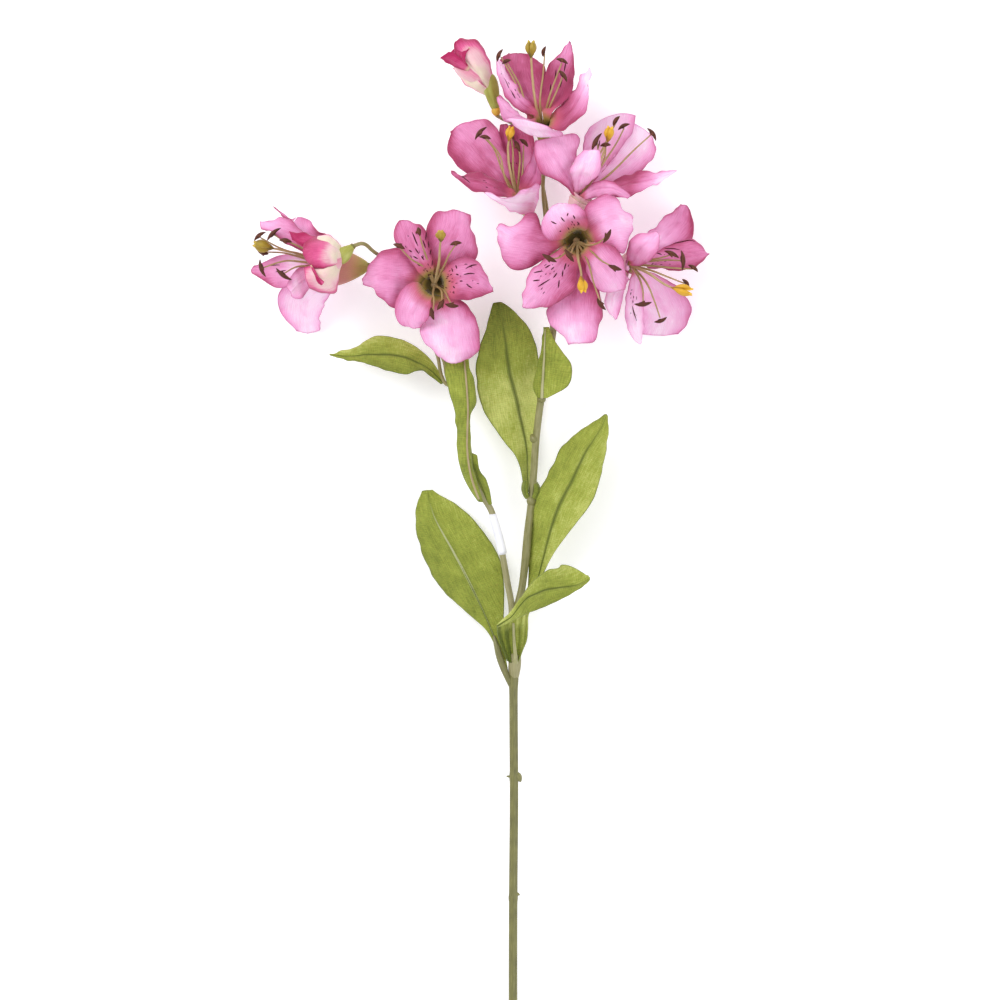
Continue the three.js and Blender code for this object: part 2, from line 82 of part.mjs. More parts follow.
// Which petals are cut and sewn together as one whorl.
const WHORLS = {
  flower_a_outer_whorl: ["a1","a3","a6"],
  flower_a_inner_whorl: ["a2","a4","a5"],
  flower_b_outer_whorl: ["b1","b3","b5"],
  flower_b_inner_whorl: ["b2","b6","b4"],
  flower_c_outer_whorl: ["c1","c3","c4"],
  flower_c_inner_whorl: ["c2","c5","c6"],
  flower_d_outer_whorl: ["d1","d3","d5"],
  flower_d_inner_whorl: ["d2","d6","d4"],
  flower_e_outer_whorl: ["e1","e3","e6"],
  flower_e_inner_whorl: ["e2","e4","e5"],
  flower_f_outer_whorl: ["f1","f3","f5"],
  flower_f_inner_whorl: ["f2","f4","f7"],
  flower_g_outer_whorl: ["g1","g4","g6"],
  flower_g_inner_whorl: ["g2","g5","g3"],
};
// Stamens and pistil: filament path, then the two ends of the anther (a) or the stigma (p).
const STAMENS = {
  b: [
    { k: 'a', path: [[-37.71,129.05,43],[-43.99,136.07,54],[-51.98,140.74,64],[-58.25,146.79,70]], a: [-62.34,149.16,69.4], b: [-55.32,146.17,70.6] },
    { k: 'a', path: [[-38.3,129.64,43],[-42.19,139.47,56],[-45.51,149.38,66],[-47.16,156.04,71]], a: [-47.76,159.0,70.4], b: [-46.57,153.67,71.6] },
    { k: 'p', path: [[-37.12,129.05,43],[-35.72,139.35,58],[-34.98,148.08,68],[-34.31,153.52,74]], a: [-34.32,151.23,73.4], b: [-34.3,156.96,74.6] },
    { k: 'a', path: [[-36.53,129.05,43],[-32.82,137.12,56],[-29.17,144.12,66],[-25.63,148.54,70]], a: [-29.13,148.58,69.4], b: [-22.13,149.66,70.6] },
    { k: 'a', path: [[-36.53,127.28,43],[-34.6,123.16,54],[-33.89,118.02,63],[-34.4,114.27,68]], a: [-32.66,117.21,67.4], b: [-36.72,110.74,68.6] },
    { k: 'a', path: [[-38.3,126.69,43],[-39.3,121.41,54],[-38.58,115.73,62],[-39.06,109.6,68]], a: [-40.25,112.6,66.4], b: [-38.48,104.96,67.6] },
    { k: 'a', path: [[-35.94,127.87,43],[-32.23,121.89,56],[-29.78,116.8,64],[-28.57,113.69,68]], a: [-32.06,114.25,68.4], b: [-23.89,113.02,69.6] },
  ],
  d: [
    { k: 'a', path: [[46.49,153.01,46],[51.52,149.3,58],[57.13,149.83,68],[62.22,153.52,74]], a: [59.91,149.48,73.4], b: [64.53,157.55,74.6] },
    { k: 'a', path: [[44.14,152.42,46],[38.64,145.2,58],[33.81,141.09,68],[29.07,140.72,74]], a: [24.42,143.02,74.4], b: [33.12,138.3,75.6] },
    { k: 'a', path: [[44.14,151.24,46],[42.74,147.55,58],[41.39,144.0,68],[40.67,141.76,76]], a: [37.76,145.81,76.4], b: [42.96,138.18,77.6] },
    { k: 'p', path: [[45.9,151.24,46],[45.63,141.57,60],[47.18,132.81,70],[47.64,127.82,76]], a: [47.05,128.96,76.4], b: [48.19,120.18,77.6] },
    { k: 'a', path: [[47.08,151.83,46],[51.48,139.23,60],[54.76,125.82,70],[57.54,116.25,75]], a: [56.4,117.44,74.4], b: [61.6,110.41,75.6] },
    { k: 'a', path: [[47.67,152.42,46],[53.84,145.14,59],[59.44,139.28,69],[65.71,135.49,74]], a: [62.82,136.69,73.4], b: [70.92,133.71,74.6] },
  ],
  a: [
    { k: 'a', path: [[-100.39,140.54,38],[-116.23,143.96,40],[-129.58,148.43,44],[-140.06,153.01,46]], a: [-144.75,152.4,46.4], b: [-137.62,157.61,47.6] },
    { k: 'a', path: [[-100.3,141.6,40],[-115.44,147.25,44],[-125.83,151.7,48],[-132.19,155.1,50]], a: [-136.86,152.14,50.4], b: [-128.57,159.69,51.6] },
    { k: 'a', path: [[-100.22,139.71,42],[-112.8,145.7,50],[-118.42,148.91,55],[-123.01,151.71,57]], a: [-129.48,152.33,56.4], b: [-121.8,151.08,57.6] },
    { k: 'p', path: [[-101.02,139.42,37],[-116.33,144.67,38],[-126.26,146.91,40],[-135.59,148.55,42]], a: [-134.38,148.53,42.4], b: [-145.51,151.4,43.6] },
    { k: 'a', path: [[-100.47,138.88,36],[-116.53,143.14,34],[-127.71,146.04,35],[-138.24,146.51,37]], a: [-143.53,147.66,37.4], b: [-136.37,145.23,38.6] },
    { k: 'a', path: [[-100.3,138.06,40],[-116.03,140.18,44],[-126.37,140.47,49],[-137.36,137.36,52]], a: [-140.8,141.38,53.4], b: [-137.21,130.76,54.6] },
    { k: 'a', path: [[-100.3,136.88,40],[-113.04,137.77,45],[-119.85,136.89,50],[-125.62,134.42,52]], a: [-131.3,135.99,55.4], b: [-121.86,128.89,56.6] },
  ],
  c: [
    { k: 'a', path: [[21.2,221.46,44],[14.1,232.65,50],[8.21,246.33,54],[1.76,257.84,56]], a: [-1.76,256.62,56.4], b: [1.76,264.11,57.6] },
    { k: 'a', path: [[21.79,221.46,44],[15.87,230.4,49],[11.73,242.91,53],[5.28,255.02,55]], a: [1.17,255.45,56.4], b: [6.44,257.66,57.6] },
    { k: 'p', path: [[22.97,222.64,44],[20.56,235.0,50],[18.77,251.02,54],[18.17,262.53,56]], a: [18.16,260.03,57.4], b: [18.73,269.26,58.6] },
    { k: 'a', path: [[23.56,223.23,44],[23.5,235.0,50],[25.23,249.37,53],[26.39,259.23,54]], a: [25.2,259.66,55.4], b: [26.95,265.98,56.6] },
    { k: 'a', path: [[24.74,223.23,44],[28.8,236.28,49],[32.87,247.71,52],[35.79,254.65,53]], a: [32.84,258.6,54.4], b: [39.85,255.54,55.6] },
    { k: 'a', path: [[25.34,222.74,43],[30.0,232.95,47],[34.08,242.05,50],[37.0,247.82,51]], a: [34.04,252.37,52.4], b: [39.3,245.2,53.6] },
  ],
  e: [
    { k: 'a', path: [[8.26,180.46,41],[1.77,193.36,42],[-3.53,206.74,44],[-10.01,213.13,45]], a: [-14.71,211.82,46.4], b: [-7.65,219.36,47.6] },
    { k: 'a', path: [[8.25,179.8,42],[2.94,189.58,45],[0.0,202.19,49],[-4.11,210.33,50]], a: [-12.34,213.23,50.4], b: [-5.28,211.94,51.6] },
    { k: 'a', path: [[10.03,181.64,41],[7.66,194.45,43],[7.65,204.8,46],[7.64,210.5,48]], a: [3.53,218.7,48.4], b: [8.23,211.54,49.6] },
    { k: 'p', path: [[9.44,181.05,41],[5.89,194.37,44],[4.7,205.8,48],[5.29,213.76,51]], a: [5.28,211.87,52.4], b: [7.04,219.39,53.6] },
    { k: 'a', path: [[10.62,181.72,40],[11.2,193.36,42],[11.78,201.44,44],[12.36,207.15,46]], a: [8.24,211.82,46.4], b: [11.76,204.66,47.6] },
    { k: 'a', path: [[11.21,181.21,39],[12.97,189.9,41],[13.56,199.25,42],[14.14,206.24,43]], a: [11.19,212.59,44.4], b: [16.48,207.78,45.6] },
  ],
  f: [
    { k: 'a', path: [[50.8,187.86,37],[57.87,201.95,38],[63.72,213.58,40],[68.41,221.75,41]], a: [66.6,220.44,42.4], b: [70.69,226.21,43.6] },
    { k: 'p', path: [[51.37,187.19,38],[59.54,200.43,42],[62.41,209.59,45],[64.12,214.12,47]], a: [63.49,211.64,48.4], b: [65.22,219.76,49.6] },
    { k: 'a', path: [[52.01,187.35,36],[61.46,199.76,36],[68.5,210.22,38],[73.22,217.89,38]], a: [69.64,218.36,39.4], b: [76.68,221.78,40.6] },
    { k: 'a', path: [[52.58,186.09,37],[66.11,193.6,39],[79.03,206.41,41],[87.84,214.58,42]], a: [86.64,219.26,42.4], b: [91.9,211.49,43.6] },
    { k: 'a', path: [[50.7,187.46,42],[55.23,196.22,50],[57.43,202.76,56],[57.38,207.27,58]], a: [53.83,204.22,59.4], b: [59.65,214.64,60.6] },
    { k: 'a', path: [[51.92,186.44,40],[58.85,195.38,46],[61.69,202.1,50],[62.22,206.62,52]], a: [58.66,207.67,53.4], b: [65.08,208.15,54.6] },
  ],
  g: [
    { k: 'a', path: [[79.19,141.25,36],[87.25,141.48,42],[94.08,142.3,48],[100.38,143.81,52]], a: [96.21,146.08,53.4], b: [104.96,141.9,54.6] },
    { k: 'a', path: [[79.19,140.66,36],[89.6,140.89,42],[98.87,141.24,46],[106.92,140.41,50]], a: [106.27,146.79,51.4], b: [106.81,134.39,52.6] },
    { k: 'a', path: [[79.23,140.13,35],[90.86,138.06,40],[102.49,136.65,44],[111.81,135.35,46]], a: [110.57,138.22,47.4], b: [116.39,134.03,48.6] },
    { k: 'a', path: [[79.23,139.54,35],[88.46,135.64,41],[98.91,131.29,45],[107.06,127.65,47]], a: [107.04,129.98,47.4], b: [111.1,124.62,48.6] },
    { k: 'p', path: [[79.19,139.48,36],[87.17,133.7,44],[96.35,126.9,50],[102.72,123.86,52]], a: [101.49,124.37,53.4], b: [113.17,121.37,54.6] },
    { k: 'a', path: [[78.6,138.29,36],[82.46,129.58,44],[84.01,122.2,50],[83.91,116.76,53]], a: [78.58,114.93,54.4], b: [89.09,116.05,55.6] },
    { k: 'a', path: [[79.19,138.29,36],[86.03,128.46,43],[90.55,117.6,48],[93.41,109.28,50]], a: [90.46,104.56,50.4], b: [98.05,107.44,51.6] },
  ],
};
// Leaf control rows from petiole to tip.
const LEAVES = {
  leaf_1: [[[1.19,-100.04,18.0],[2.98,-102.38,19.0],[4.76,-101.83,18.0]],[[-4.07,-83.26,18.89],[-2.24,-86.28,19.89],[1.41,-84.16,18.89]],[[-15.79,-70.44,14.53],[-8.09,-70.5,17.77],[2.28,-66.24,16.77]],[[-29.14,-58.94,9.5],[-15.23,-55.23,14.67],[2.17,-48.31,13.08]],[[-40.25,-45.29,5.75],[-22.83,-40.13,11.75],[-1.98,-30.9,10.17]],[[-47.39,-29.11,3.74],[-31.03,-25.3,9.23],[-12.27,-16.09,8.23]],[[-50.67,-11.75,3.06],[-39.04,-10.33,6.66],[-25.01,-3.33,5.78]],[[-46.73,5.39,3.5],[-43.73,5.99,4.0],[-40.73,5.69,4.0]]],
  leaf_2: [[[14.3,-61.36,17.0],[16.09,-60.77,17.0],[18.46,-60.15,18.0]],[[17.03,-43.18,17.89],[23.14,-44.88,21.44],[25.34,-44.41,23.33]],[[17.96,-24.73,18.74],[27.53,-28.03,25.72],[33.41,-29.36,27.72]],[[19.95,-6.39,21.92],[32.17,-11.31,28.75],[43.59,-15.72,30.75]],[[25.77,10.91,23.58],[39.23,4.48,29.58],[53.89,-2.2,30.75]],[[34.18,27.22,22.49],[46.8,20.08,27.98],[59.62,13.8,27.72]],[[46.8,40.21,20.78],[55.27,35.28,24.44],[63.11,30.54,23.55]],[[61.91,50.89,19.0],[63.66,50.57,20.0],[64.26,47.6,20.0]]],
  leaf_3: [[[5.94,-95.67,23.0],[8.31,-94.96,26.0],[11.29,-95.04,24.0]],[[0.24,-83.51,22.0],[8.3,-83.87,28.0],[15.12,-85.78,24.0]],[[1.0,-71.36,24.0],[8.18,-72.79,31.0],[16.62,-75.94,26.0]],[[10.46,-61.54,33.0],[13.35,-63.09,36.0],[18.74,-66.45,32.0]],[[17.84,-50.14,44.0],[21.97,-56.35,42.0],[28.15,-63.28,37.0]],[[27.43,-40.97,50.0],[32.17,-52.56,46.0],[37.45,-59.73,40.0]],[[39.96,-38.24,52.0],[42.62,-49.48,48.0],[45.92,-54.55,43.0]],[[51.74,-44.69,48.0],[52.94,-45.88,47.0],[52.38,-47.08,46.0]]],
  leaf_4: [[[14.88,3.57,19.0],[16.68,4.77,17.0],[17.29,4.17,15.0]],[[11.72,20.8,19.0],[16.07,21.2,14.34],[18.75,21.59,11.45]],[[2.13,35.23,19.74],[14.56,37.53,13.26],[20.49,39.0,9.51]],[[-7.83,49.57,22.33],[10.98,53.57,14.17],[21.94,56.41,10.17]],[[-13.38,65.99,25.25],[7.1,69.46,17.08],[23.22,73.76,12.67]],[[-13.58,83.28,27.26],[3.93,85.42,21.02],[21.7,90.96,16.28]],[[-8.95,100.05,27.89],[2.08,101.56,24.22],[14.12,106.25,20.56]],[[-4.15,116.87,27.0],[-1.19,117.51,26.0],[1.19,117.56,25.0]]],
  leaf_5: [[[22.54,60.5,27.5],[24.9,60.47,28.5],[27.87,60.47,28.5]],[[19.73,66.04,27.13],[25.13,66.47,29.24],[34.69,63.89,29.99]],[[20.33,72.17,27.42],[25.53,72.46,29.71],[40.82,68.27,31.33]],[[22.55,77.97,28.17],[25.95,78.45,30.06],[42.66,75.56,32.56]],[[24.33,83.86,29.33],[26.32,84.45,30.44],[40.78,82.82,32.94]],[[24.77,90.05,30.08],[26.55,90.44,30.79],[36.17,88.95,32.42]],[[25.15,96.25,30.5],[26.75,96.45,31.0],[31.95,95.36,31.74]],[[25.47,102.48,30.5],[26.95,102.46,31.0],[29.02,102.46,31.0]]],
  leaf_6: [[[-33.24,71.22,26.0],[-33.83,69.44,26.0],[-35.03,68.88,25.0]],[[-39.35,80.96,25.11],[-41.06,76.73,27.78],[-42.6,74.38,30.33]],[[-47.41,89.16,23.51],[-49.97,81.91,28.0],[-51.01,75.81,32.49]],[[-57.31,95.01,21.83],[-59.68,85.52,26.83],[-60.32,75.0,31.83]],[[-68.6,97.49,19.75],[-70.0,86.72,24.33],[-69.6,77.49,28.92]],[[-79.44,95.18,17.23],[-80.46,86.27,20.72],[-78.71,80.86,24.21]],[[-89.63,89.95,14.66],[-90.96,85.81,16.44],[-88.24,83.15,18.21]],[[-100.89,87.16,12.0],[-101.49,86.86,12.0],[-97.91,85.07,12.0]]],
  leaf_7: [[[-13.01,-0.59,35.0],[-11.81,-1.18,37.0],[-10.05,-1.18,35.0]],[[-19.0,8.46,34.11],[-15.86,9.79,37.89],[-13.47,10.47,34.11]],[[-23.64,20.01,34.74],[-18.42,20.65,38.74],[-16.38,20.75,34.0]],[[-25.58,34.22,35.58],[-19.52,34.08,39.58],[-17.34,33.9,34.58]],[[-25.97,48.13,36.42],[-19.01,49.04,40.0],[-18.01,47.02,35.42]],[[-29.31,61.44,37.0],[-19.34,61.17,39.74],[-14.0,59.08,36.26]],[[-32.17,72.74,36.78],[-20.19,72.91,38.66],[-16.04,71.73,36.78]],[[-31.93,88.69,35.0],[-21.87,88.65,36.0],[-20.1,87.51,35.0]]],
  leaf_8: [[[-8.31,-2.97,25.0],[-7.12,-2.97,27.0],[-4.75,-2.37,27.0]],[[-10.39,0.64,25.58],[-8.05,0.68,27.58],[-5.19,0.51,28.75]],[[-12.33,4.65,26.34],[-9.26,4.59,28.22],[-5.81,3.94,30.22]],[[-14.04,9.44,28.23],[-10.97,8.98,29.49],[-6.65,8.39,31.49]],[[-15.59,14.19,29.51],[-12.75,13.58,30.51],[-8.64,12.84,32.26]],[[-16.94,18.89,30.78],[-14.47,18.35,31.78],[-11.62,17.22,32.89]],[[-17.55,24.11,31.42],[-15.43,23.08,32.42],[-12.89,21.85,33.0]],[[-17.76,29.6,32.0],[-15.98,27.81,33.0],[-13.31,26.63,33.0]]],
};
// Stem and branch centre lines.
const STEMS = {
  main_stem: { r: 2.55, p: [[8.09,-409.36,2.55],[8.08,-359.25,5],[7.78,-299.05,7.6],[7.89,-238.98,10.2],[8.35,-179.03,13],[8.11,-131.15,15.4],[7.98,-100.09,17]] },
  left_branch: { r: 1.85, p: [[6.91,-101.86,17.2],[6.79,-89.34,17.5],[6.79,-77.42,18],[6.79,-62.5,19],[4.16,-47.59,20.5],[1.49,-32.7,22],[-1.78,-17.82,23.5],[-5.34,-5.94,25],[-10.68,2.97,26.5],[-15.42,14.23,28],[-18.67,29.64,29],[-19.86,47.42,29],[-22.53,61.66,28.5],[-26.68,70.57,28]] },
  right_branch: { r: 2.1, p: [[9.29,-101.86,17.2],[9.65,-89.34,17.5],[9.77,-80.39,18],[9.82,-66.68,18.5],[12.8,-53.56,19.5],[15.11,-35.69,20.5],[16.65,-17.84,21.5],[18.72,0.0,22.5],[20.2,17.82,23.5],[21.38,35.64,24],[23.46,53.45,24.5],[25.24,64.14,24.5],[28.21,77.2,24.5],[30.29,92.05,24.5],[31.77,103.91,24.8],[31.47,121.72,25],[29.09,141.31,25]] },
};
// Flower stalk centre lines, from the branch end to the calyx.
const STALKS = {
  a: [[-27.28,67.62,27.5],[-32.04,68.82,27],[-35.02,74.78,26],[-37.11,85.5,25],[-45.14,103.95,24],[-62.29,123.4,27],[-70.98,136.04,34]],
  b: [[-26.71,73.0,26],[-28.54,89.18,22],[-31.55,107.14,19],[-35.71,121.43,19]],
  bud_1: [[-28.43,68.7,31],[-31.4,72.88,30],[-33.22,82.46,27],[-41.05,98.17,20],[-58.26,118.9,22],[-67.32,140.54,38],[-74.61,146.29,50],[-80.18,150.12,59],[-86.45,148.07,63.6]],
  d: [[29.67,143.63,26],[35.64,148.5,24],[41.62,152.19,22]],
  g: [[31.5,142.62,23],[44.62,141.61,20],[53.46,139.0,24],[59.3,138.76,28]],
  f: [[30.24,144.1,28],[35.59,154.24,27],[40.31,163.6,29]],
  e: [[27.93,144.4,23],[25.58,154.7,20],[21.41,162.96,21],[18.42,166.98,23]],
  c: [[28.46,144.69,28],[27.4,163.83,17],[25.66,184.99,13],[26.79,202.38,19],[27.3,208.91,26]],
  bud_2: [[29.73,144.46,22],[29.27,164.24,11],[24.55,192.8,5],[17.36,214.86,6],[7.76,224.47,12],[1.78,226.5,22],[-1.77,227.47,33.6]],
};

// ---- small vector helpers ----
const V = (a) => new THREE.Vector3(a[0], a[1], a[2]);

// Turn a closed three.js geometry into a manifold solid.
function solid(geometry) {
  const pos = geometry.getAttribute('position');
  const index = geometry.index;
  const count = index ? index.count : pos.count;
  const key = new Map();
  const verts = [];
  const tris = [];
  const ids = [];
  for (let i = 0; i < pos.count; i++) {
    const k = [pos.getX(i), pos.getY(i), pos.getZ(i)].map((v) => Math.round(v * 5000)).join(',');
    if (!key.has(k)) { key.set(k, verts.length / 3); verts.push(pos.getX(i), pos.getY(i), pos.getZ(i)); }
    ids.push(key.get(k));
  }
  for (let i = 0; i < count; i += 3) {
    const t = [0, 1, 2].map((j) => ids[index ? index.getX(i + j) : i + j]);
    if (t[0] !== t[1] && t[1] !== t[2] && t[0] !== t[2]) tris.push(...t);
  }
  return new wasm.Manifold(new wasm.Mesh({ numProp: 3, vertProperties: new Float32Array(verts), triVerts: new Uint32Array(tris) }));
}

// Keep only the biggest connected body of a solid.
function largest(m) {
  const parts = m.decompose();
  let best = parts[0];
  for (const p of parts) if (p.volume() > best.volume()) best = p;
  return best;
}

function geometryOf(m) {
  const mesh = m.getMesh();
  const n = mesh.numProp;
  const pos = new Float32Array((mesh.vertProperties.length / n) * 3);
  for (let i = 0; i < pos.length / 3; i++) for (let j = 0; j < 3; j++) pos[i * 3 + j] = mesh.vertProperties[i * n + j];
  const g = new THREE.BufferGeometry();
  g.setAttribute('position', new THREE.BufferAttribute(pos, 3));
  g.setIndex(new THREE.BufferAttribute(new Uint32Array(mesh.triVerts), 1));
  g.computeVertexNormals();
  return g;
}

// A thin closed blade lofted through control rows [left, midrib, right].
// grow > 0 makes the same blade bigger all round, for cutting clearance.
function blade(rows, thickness, cols, grow = 0) {
  const R = rows.map((r) => r.map(V));
  const last = R.length - 1;
  const grid = [];
  for (let j = 0; j <= last; j++) {
    const [L, M, Q] = R[j];
    const line = [];
    for (let i = 0; i <= cols; i++) {
      const t = (i / cols) * 2 - 1;
      const c = M.clone();
      // quadratic through L (t=-1), M (t=0), Q (t=1)
      c.copy(L).multiplyScalar((t * (t - 1)) / 2).addScaledVector(M, 1 - t * t).addScaledVector(Q, (t * (t + 1)) / 2);
      line.push(c);
    }
    grid.push(line);
  }
  if (grow > 0) {
    for (const line of grid) {
      const a = line[0].clone().sub(line[1]).normalize();
      const b = line[cols].clone().sub(line[cols - 1]).normalize();
      line[0].addScaledVector(a, grow);
      line[cols].addScaledVector(b, grow);
    }
    for (let i = 0; i <= cols; i++) {
      const d = grid[last][i].clone().sub(grid[last - 1][i]).normalize();
      grid[last][i].addScaledVector(d, grow);
    }
  }
  const nrm = [];
  for (let j = 0; j <= last; j++) {
    const line = [];
    for (let i = 0; i <= cols; i++) {
      const u = grid[Math.min(j + 1, last)][i].clone().sub(grid[Math.max(j - 1, 0)][i]);
      const v = grid[j][Math.min(i + 1, cols)].clone().sub(grid[j][Math.max(i - 1, 0)]);
      line.push(v.cross(u).normalize());
    }
    nrm.push(line);
  }
  const h = thickness / 2 + grow;
  const pos = [];
  const top = (j, i) => j * (cols + 1) + i;
  const bot = (j, i) => (last + 1) * (cols + 1) + j * (cols + 1) + i;
  for (const s of [1, -1]) for (let j = 0; j <= last; j++) for (let i = 0; i <= cols; i++) {
    const p = grid[j][i].clone().addScaledVector(nrm[j][i], s * h);
    pos.push(p.x, p.y, p.z);
  }
  const f = [];
  for (let j = 0; j < last; j++) for (let i = 0; i < cols; i++) {
    f.push(top(j, i), top(j, i + 1), top(j + 1, i + 1), top(j, i), top(j + 1, i + 1), top(j + 1, i));
    f.push(bot(j, i), bot(j + 1, i + 1), bot(j, i + 1), bot(j, i), bot(j + 1, i), bot(j + 1, i + 1));
  }
  for (let j = 0; j < last; j++) {
    f.push(top(j, 0), top(j + 1, 0), bot(j + 1, 0), top(j, 0), bot(j + 1, 0), bot(j, 0));
    f.push(top(j + 1, cols), top(j, cols), bot(j, cols), top(j + 1, cols), bot(j, cols), bot(j + 1, cols));
  }
  for (let i = 0; i < cols; i++) {
    f.push(top(0, i + 1), top(0, i), bot(0, i), top(0, i + 1), bot(0, i), bot(0, i + 1));
    f.push(top(last, i), top(last, i + 1), bot(last, i + 1), top(last, i), bot(last, i + 1), bot(last, i));
  }
  const g = new THREE.BufferGeometry();
  g.setAttribute('position', new THREE.BufferAttribute(new Float32Array(pos), 3));
  g.setIndex(f);
  let m = solid(g);
  if (m.volume() < 0) {
    for (let k = 0; k < f.length; k += 3) { const t = f[k]; f[k] = f[k + 1]; f[k + 1] = t; }
    g.setIndex(f);
    m = solid(g);
  }
  return m;
}

// A round rod along a smooth curve through points.
function rod(points, radius, steps, sides) {
  const curve = new THREE.CatmullRomCurve3(points.map(V), false, 'centripetal');
  const section = new THREE.Shape();
  for (let i = 0; i < sides; i++) {
    const a = (i / sides) * Math.PI * 2;
    if (i === 0) section.moveTo(radius * Math.cos(a), radius * Math.sin(a));
    else section.lineTo(radius * Math.cos(a), radius * Math.sin(a));
  }
  section.closePath();
  return solid(new THREE.ExtrudeGeometry(section, { steps, extrudePath: curve, bevelEnabled: false, curveSegments: 1 }));
}

// A lathe profile [[radius, height], ...] standing on a point along a direction.
function turned(profile, segments, point, dir) {
  const g = new THREE.LatheGeometry(profile.map((p) => new THREE.Vector2(p[0], p[1])), segments);
  g.applyQuaternion(new THREE.Quaternion().setFromUnitVectors(new THREE.Vector3(0, 1, 0), V(dir).normalize()));
  g.translate(point[0], point[1], point[2]);
  let m = solid(g);
  return m;
}

// A spindle (anther, bump) between two points.
function spindle(a, b, radius, segments) {
  const A = V(a), B = V(b);
  const len = A.distanceTo(B);
  const d = B.clone().sub(A).normalize();
  const prof = [[0, 0], [radius, len * 0.3], [radius * 0.9, len * 0.7], [0, len]];
  return turned(prof, segments, a, [d.x, d.y, d.z]);
}

const along = (p, a, t) => [p[0] + a[0] * t, p[1] + a[1] * t, p[2] + a[2] * t];

function collar(F, c, grow = 0) {
  const h0 = c.from - grow, h1 = c.to + grow, r = c.r + grow;
  return turned([[0, h0], [r, h0], [r, h1], [0, h1]], 9, F.p, F.a);
}

function calyx(F, grow = 0) {
  const n = F.calyx, g = grow;
  // the long calyx, on the flower that lies on its side, swells into a bell
  if (n > BELL_FROM) return turned([[0, -n - g], [2.1 + g, -n - g], [5.0 + g, -n * 0.75], [7.6 + g, -n * 0.48], [9.6 + g, -n * 0.18], [9.8 + g, -n * 0.05 + g], [0, g]], 12, F.p, F.a);
  return turned([[0, -n - g], [1.9 + g, -n - g], [3.1 + g, -n * 0.72], [4.0 + g, -n * 0.3], [4.2 + g, g], [0, g]], 10, F.p, F.a);
}

function whorl(f, name, c, grow = 0) {
  let m = collar(FLOWERS[f], c, grow);
  for (const k of WHORLS[name]) m = m.add(blade(PETALS[k], PETAL_THICKNESS, 4, grow));
  return m;
}

function stamens(f, grow = 0) {
  const F = FLOWERS[f];
  let m = collar(F, STAMEN_COLLAR, grow);
  const core = V(along(F.p, F.a, STAMEN_COLLAR.to - 0.6));
  const axis = V(F.a);
  for (const s of STAMENS[f]) {
    // each filament leaves the collar on its own side
    const out = V(s.path[1]).sub(core).projectOnPlane(axis).normalize();
    const foot = core.clone().addScaledVector(out, 1.25);
    const pts = [[foot.x, foot.y, foot.z], ...s.path.slice(1)];
    // the filament ends inside its anther, which it carries at mid length
    const mid = [(s.a[0] + s.b[0]) / 2, (s.a[1] + s.b[1]) / 2, (s.a[2] + s.b[2]) / 2];
    pts[pts.length - 1] = mid;
    m = m.add(rod(pts, FILAMENT_RADIUS + grow, 4, 4));
    if (s.k === 'a') m = m.add(spindle(s.a, s.b, ANTHER_RADIUS + grow, 5));
    else m = m.add(spindle(s.a, s.b, STIGMA_RADIUS + grow, 6));
  }
  return m;
}

// Bud: a closed, slightly flattened wrap of petals, fat in the middle and drawn to a point.
const BUDS = {
  bud_1: { base: [-92.86,141.91,64], tip: [-114.95,138.87,66], foot: [-86.44,147.76,63.8], r: 16.5 },
  bud_2: { base: [-5.91,245.75,37], tip: [-30.63,266.23,44], foot: [-1.77,227.73,34], r: 10.5 },
};

function budPetals(b, grow = 0) {
  const B = BUDS[b];
  const len = V(B.base).distanceTo(V(B.tip));
  const d = V(B.tip).sub(V(B.base)).normalize();
  const g = grow, r = B.r;
  const prof = [[0, -g], [r * 0.24 + g, -g], [r * 0.62 + g, len * 0.16], [r * 0.95 + g, len * 0.42], [r * 0.98 + g, len * 0.62], [r * 0.68 + g, len * 0.85], [r * 0.25 + g, len * 0.97], [0, len + g]];
  return turned(prof, 12, B.base, [d.x, d.y, d.z]);
}

function budCalyx(b, grow = 0) {
  const B = BUDS[b];
  // the calyx leans from its foot, on the stalk, to the base of the bud
  const d = V(B.base).sub(V(B.foot)).normalize();
  const n = V(B.base).distanceTo(V(B.foot)), g = grow;
  return turned([[0, -n - 0.4 - g], [1.8 + g, -n - 0.4 - g], [3.2 + g, -n * 0.6], [B.r * 0.24 + 0.8 + g, -0.4 + g], [0, -0.4 + g]], 10, B.base, [d.x, d.y, d.z]);
}

// Main stem: straight rod with two small nodes and a short collar at the fork.
function mainStem(g) {
  const S = STEMS.main_stem;
  let m = rod(S.p, S.r + g, 8, 12);
  m = m.add(spindle([8.95,-161.7,13.3], [12.53,-168.29,12.9], 2.3 + g, 8));
  m = m.add(spindle([6.57,-234.16,10.6], [11.95,-235.98,10.3], 1.6 + g, 6));
  m = m.add(rod([[8.04,-100.09,17], [7.87,-109.64,16.5]], 3.3 + g, 1, 12));
  return m;
}

function branch(name, g) {
  const S = STEMS[name];
  let m = rod(S.p, S.r + g, 14, 8);
  if (name === 'right_branch') {
    m = m.add(spindle([18.41,39.2,24.5], [21.98,33.26,24], 2.4 + g, 7));
    m = m.add(spindle([17.83,3.57,22.8], [19.02,-4.76,22.3], 2.6 + g, 7));
    // the branch ends in the joint that carries the flower stalks
    m = m.add(rod([[29.09,136.56,25], [29.09,143.08,25.2]], 3.2 + g, 1, 12));
  } else {
    m = m.add(rod([[-24.31,66.41,28.2], [-27.28,71.16,28]], 2.7 + g, 1, 12));
  }
  return m;
}

// Plain band: a sleeve round the branch, split from it by the clearance.
function band(g) {
  const pts = [[1.49,-31.8,22.1],[-1.6,-19.01,23.4],[-4.75,-8.91,24.7]];
  let m = rod(pts, BAND_RADIUS + 0.5 + g, 4, 12);
  return m;
}


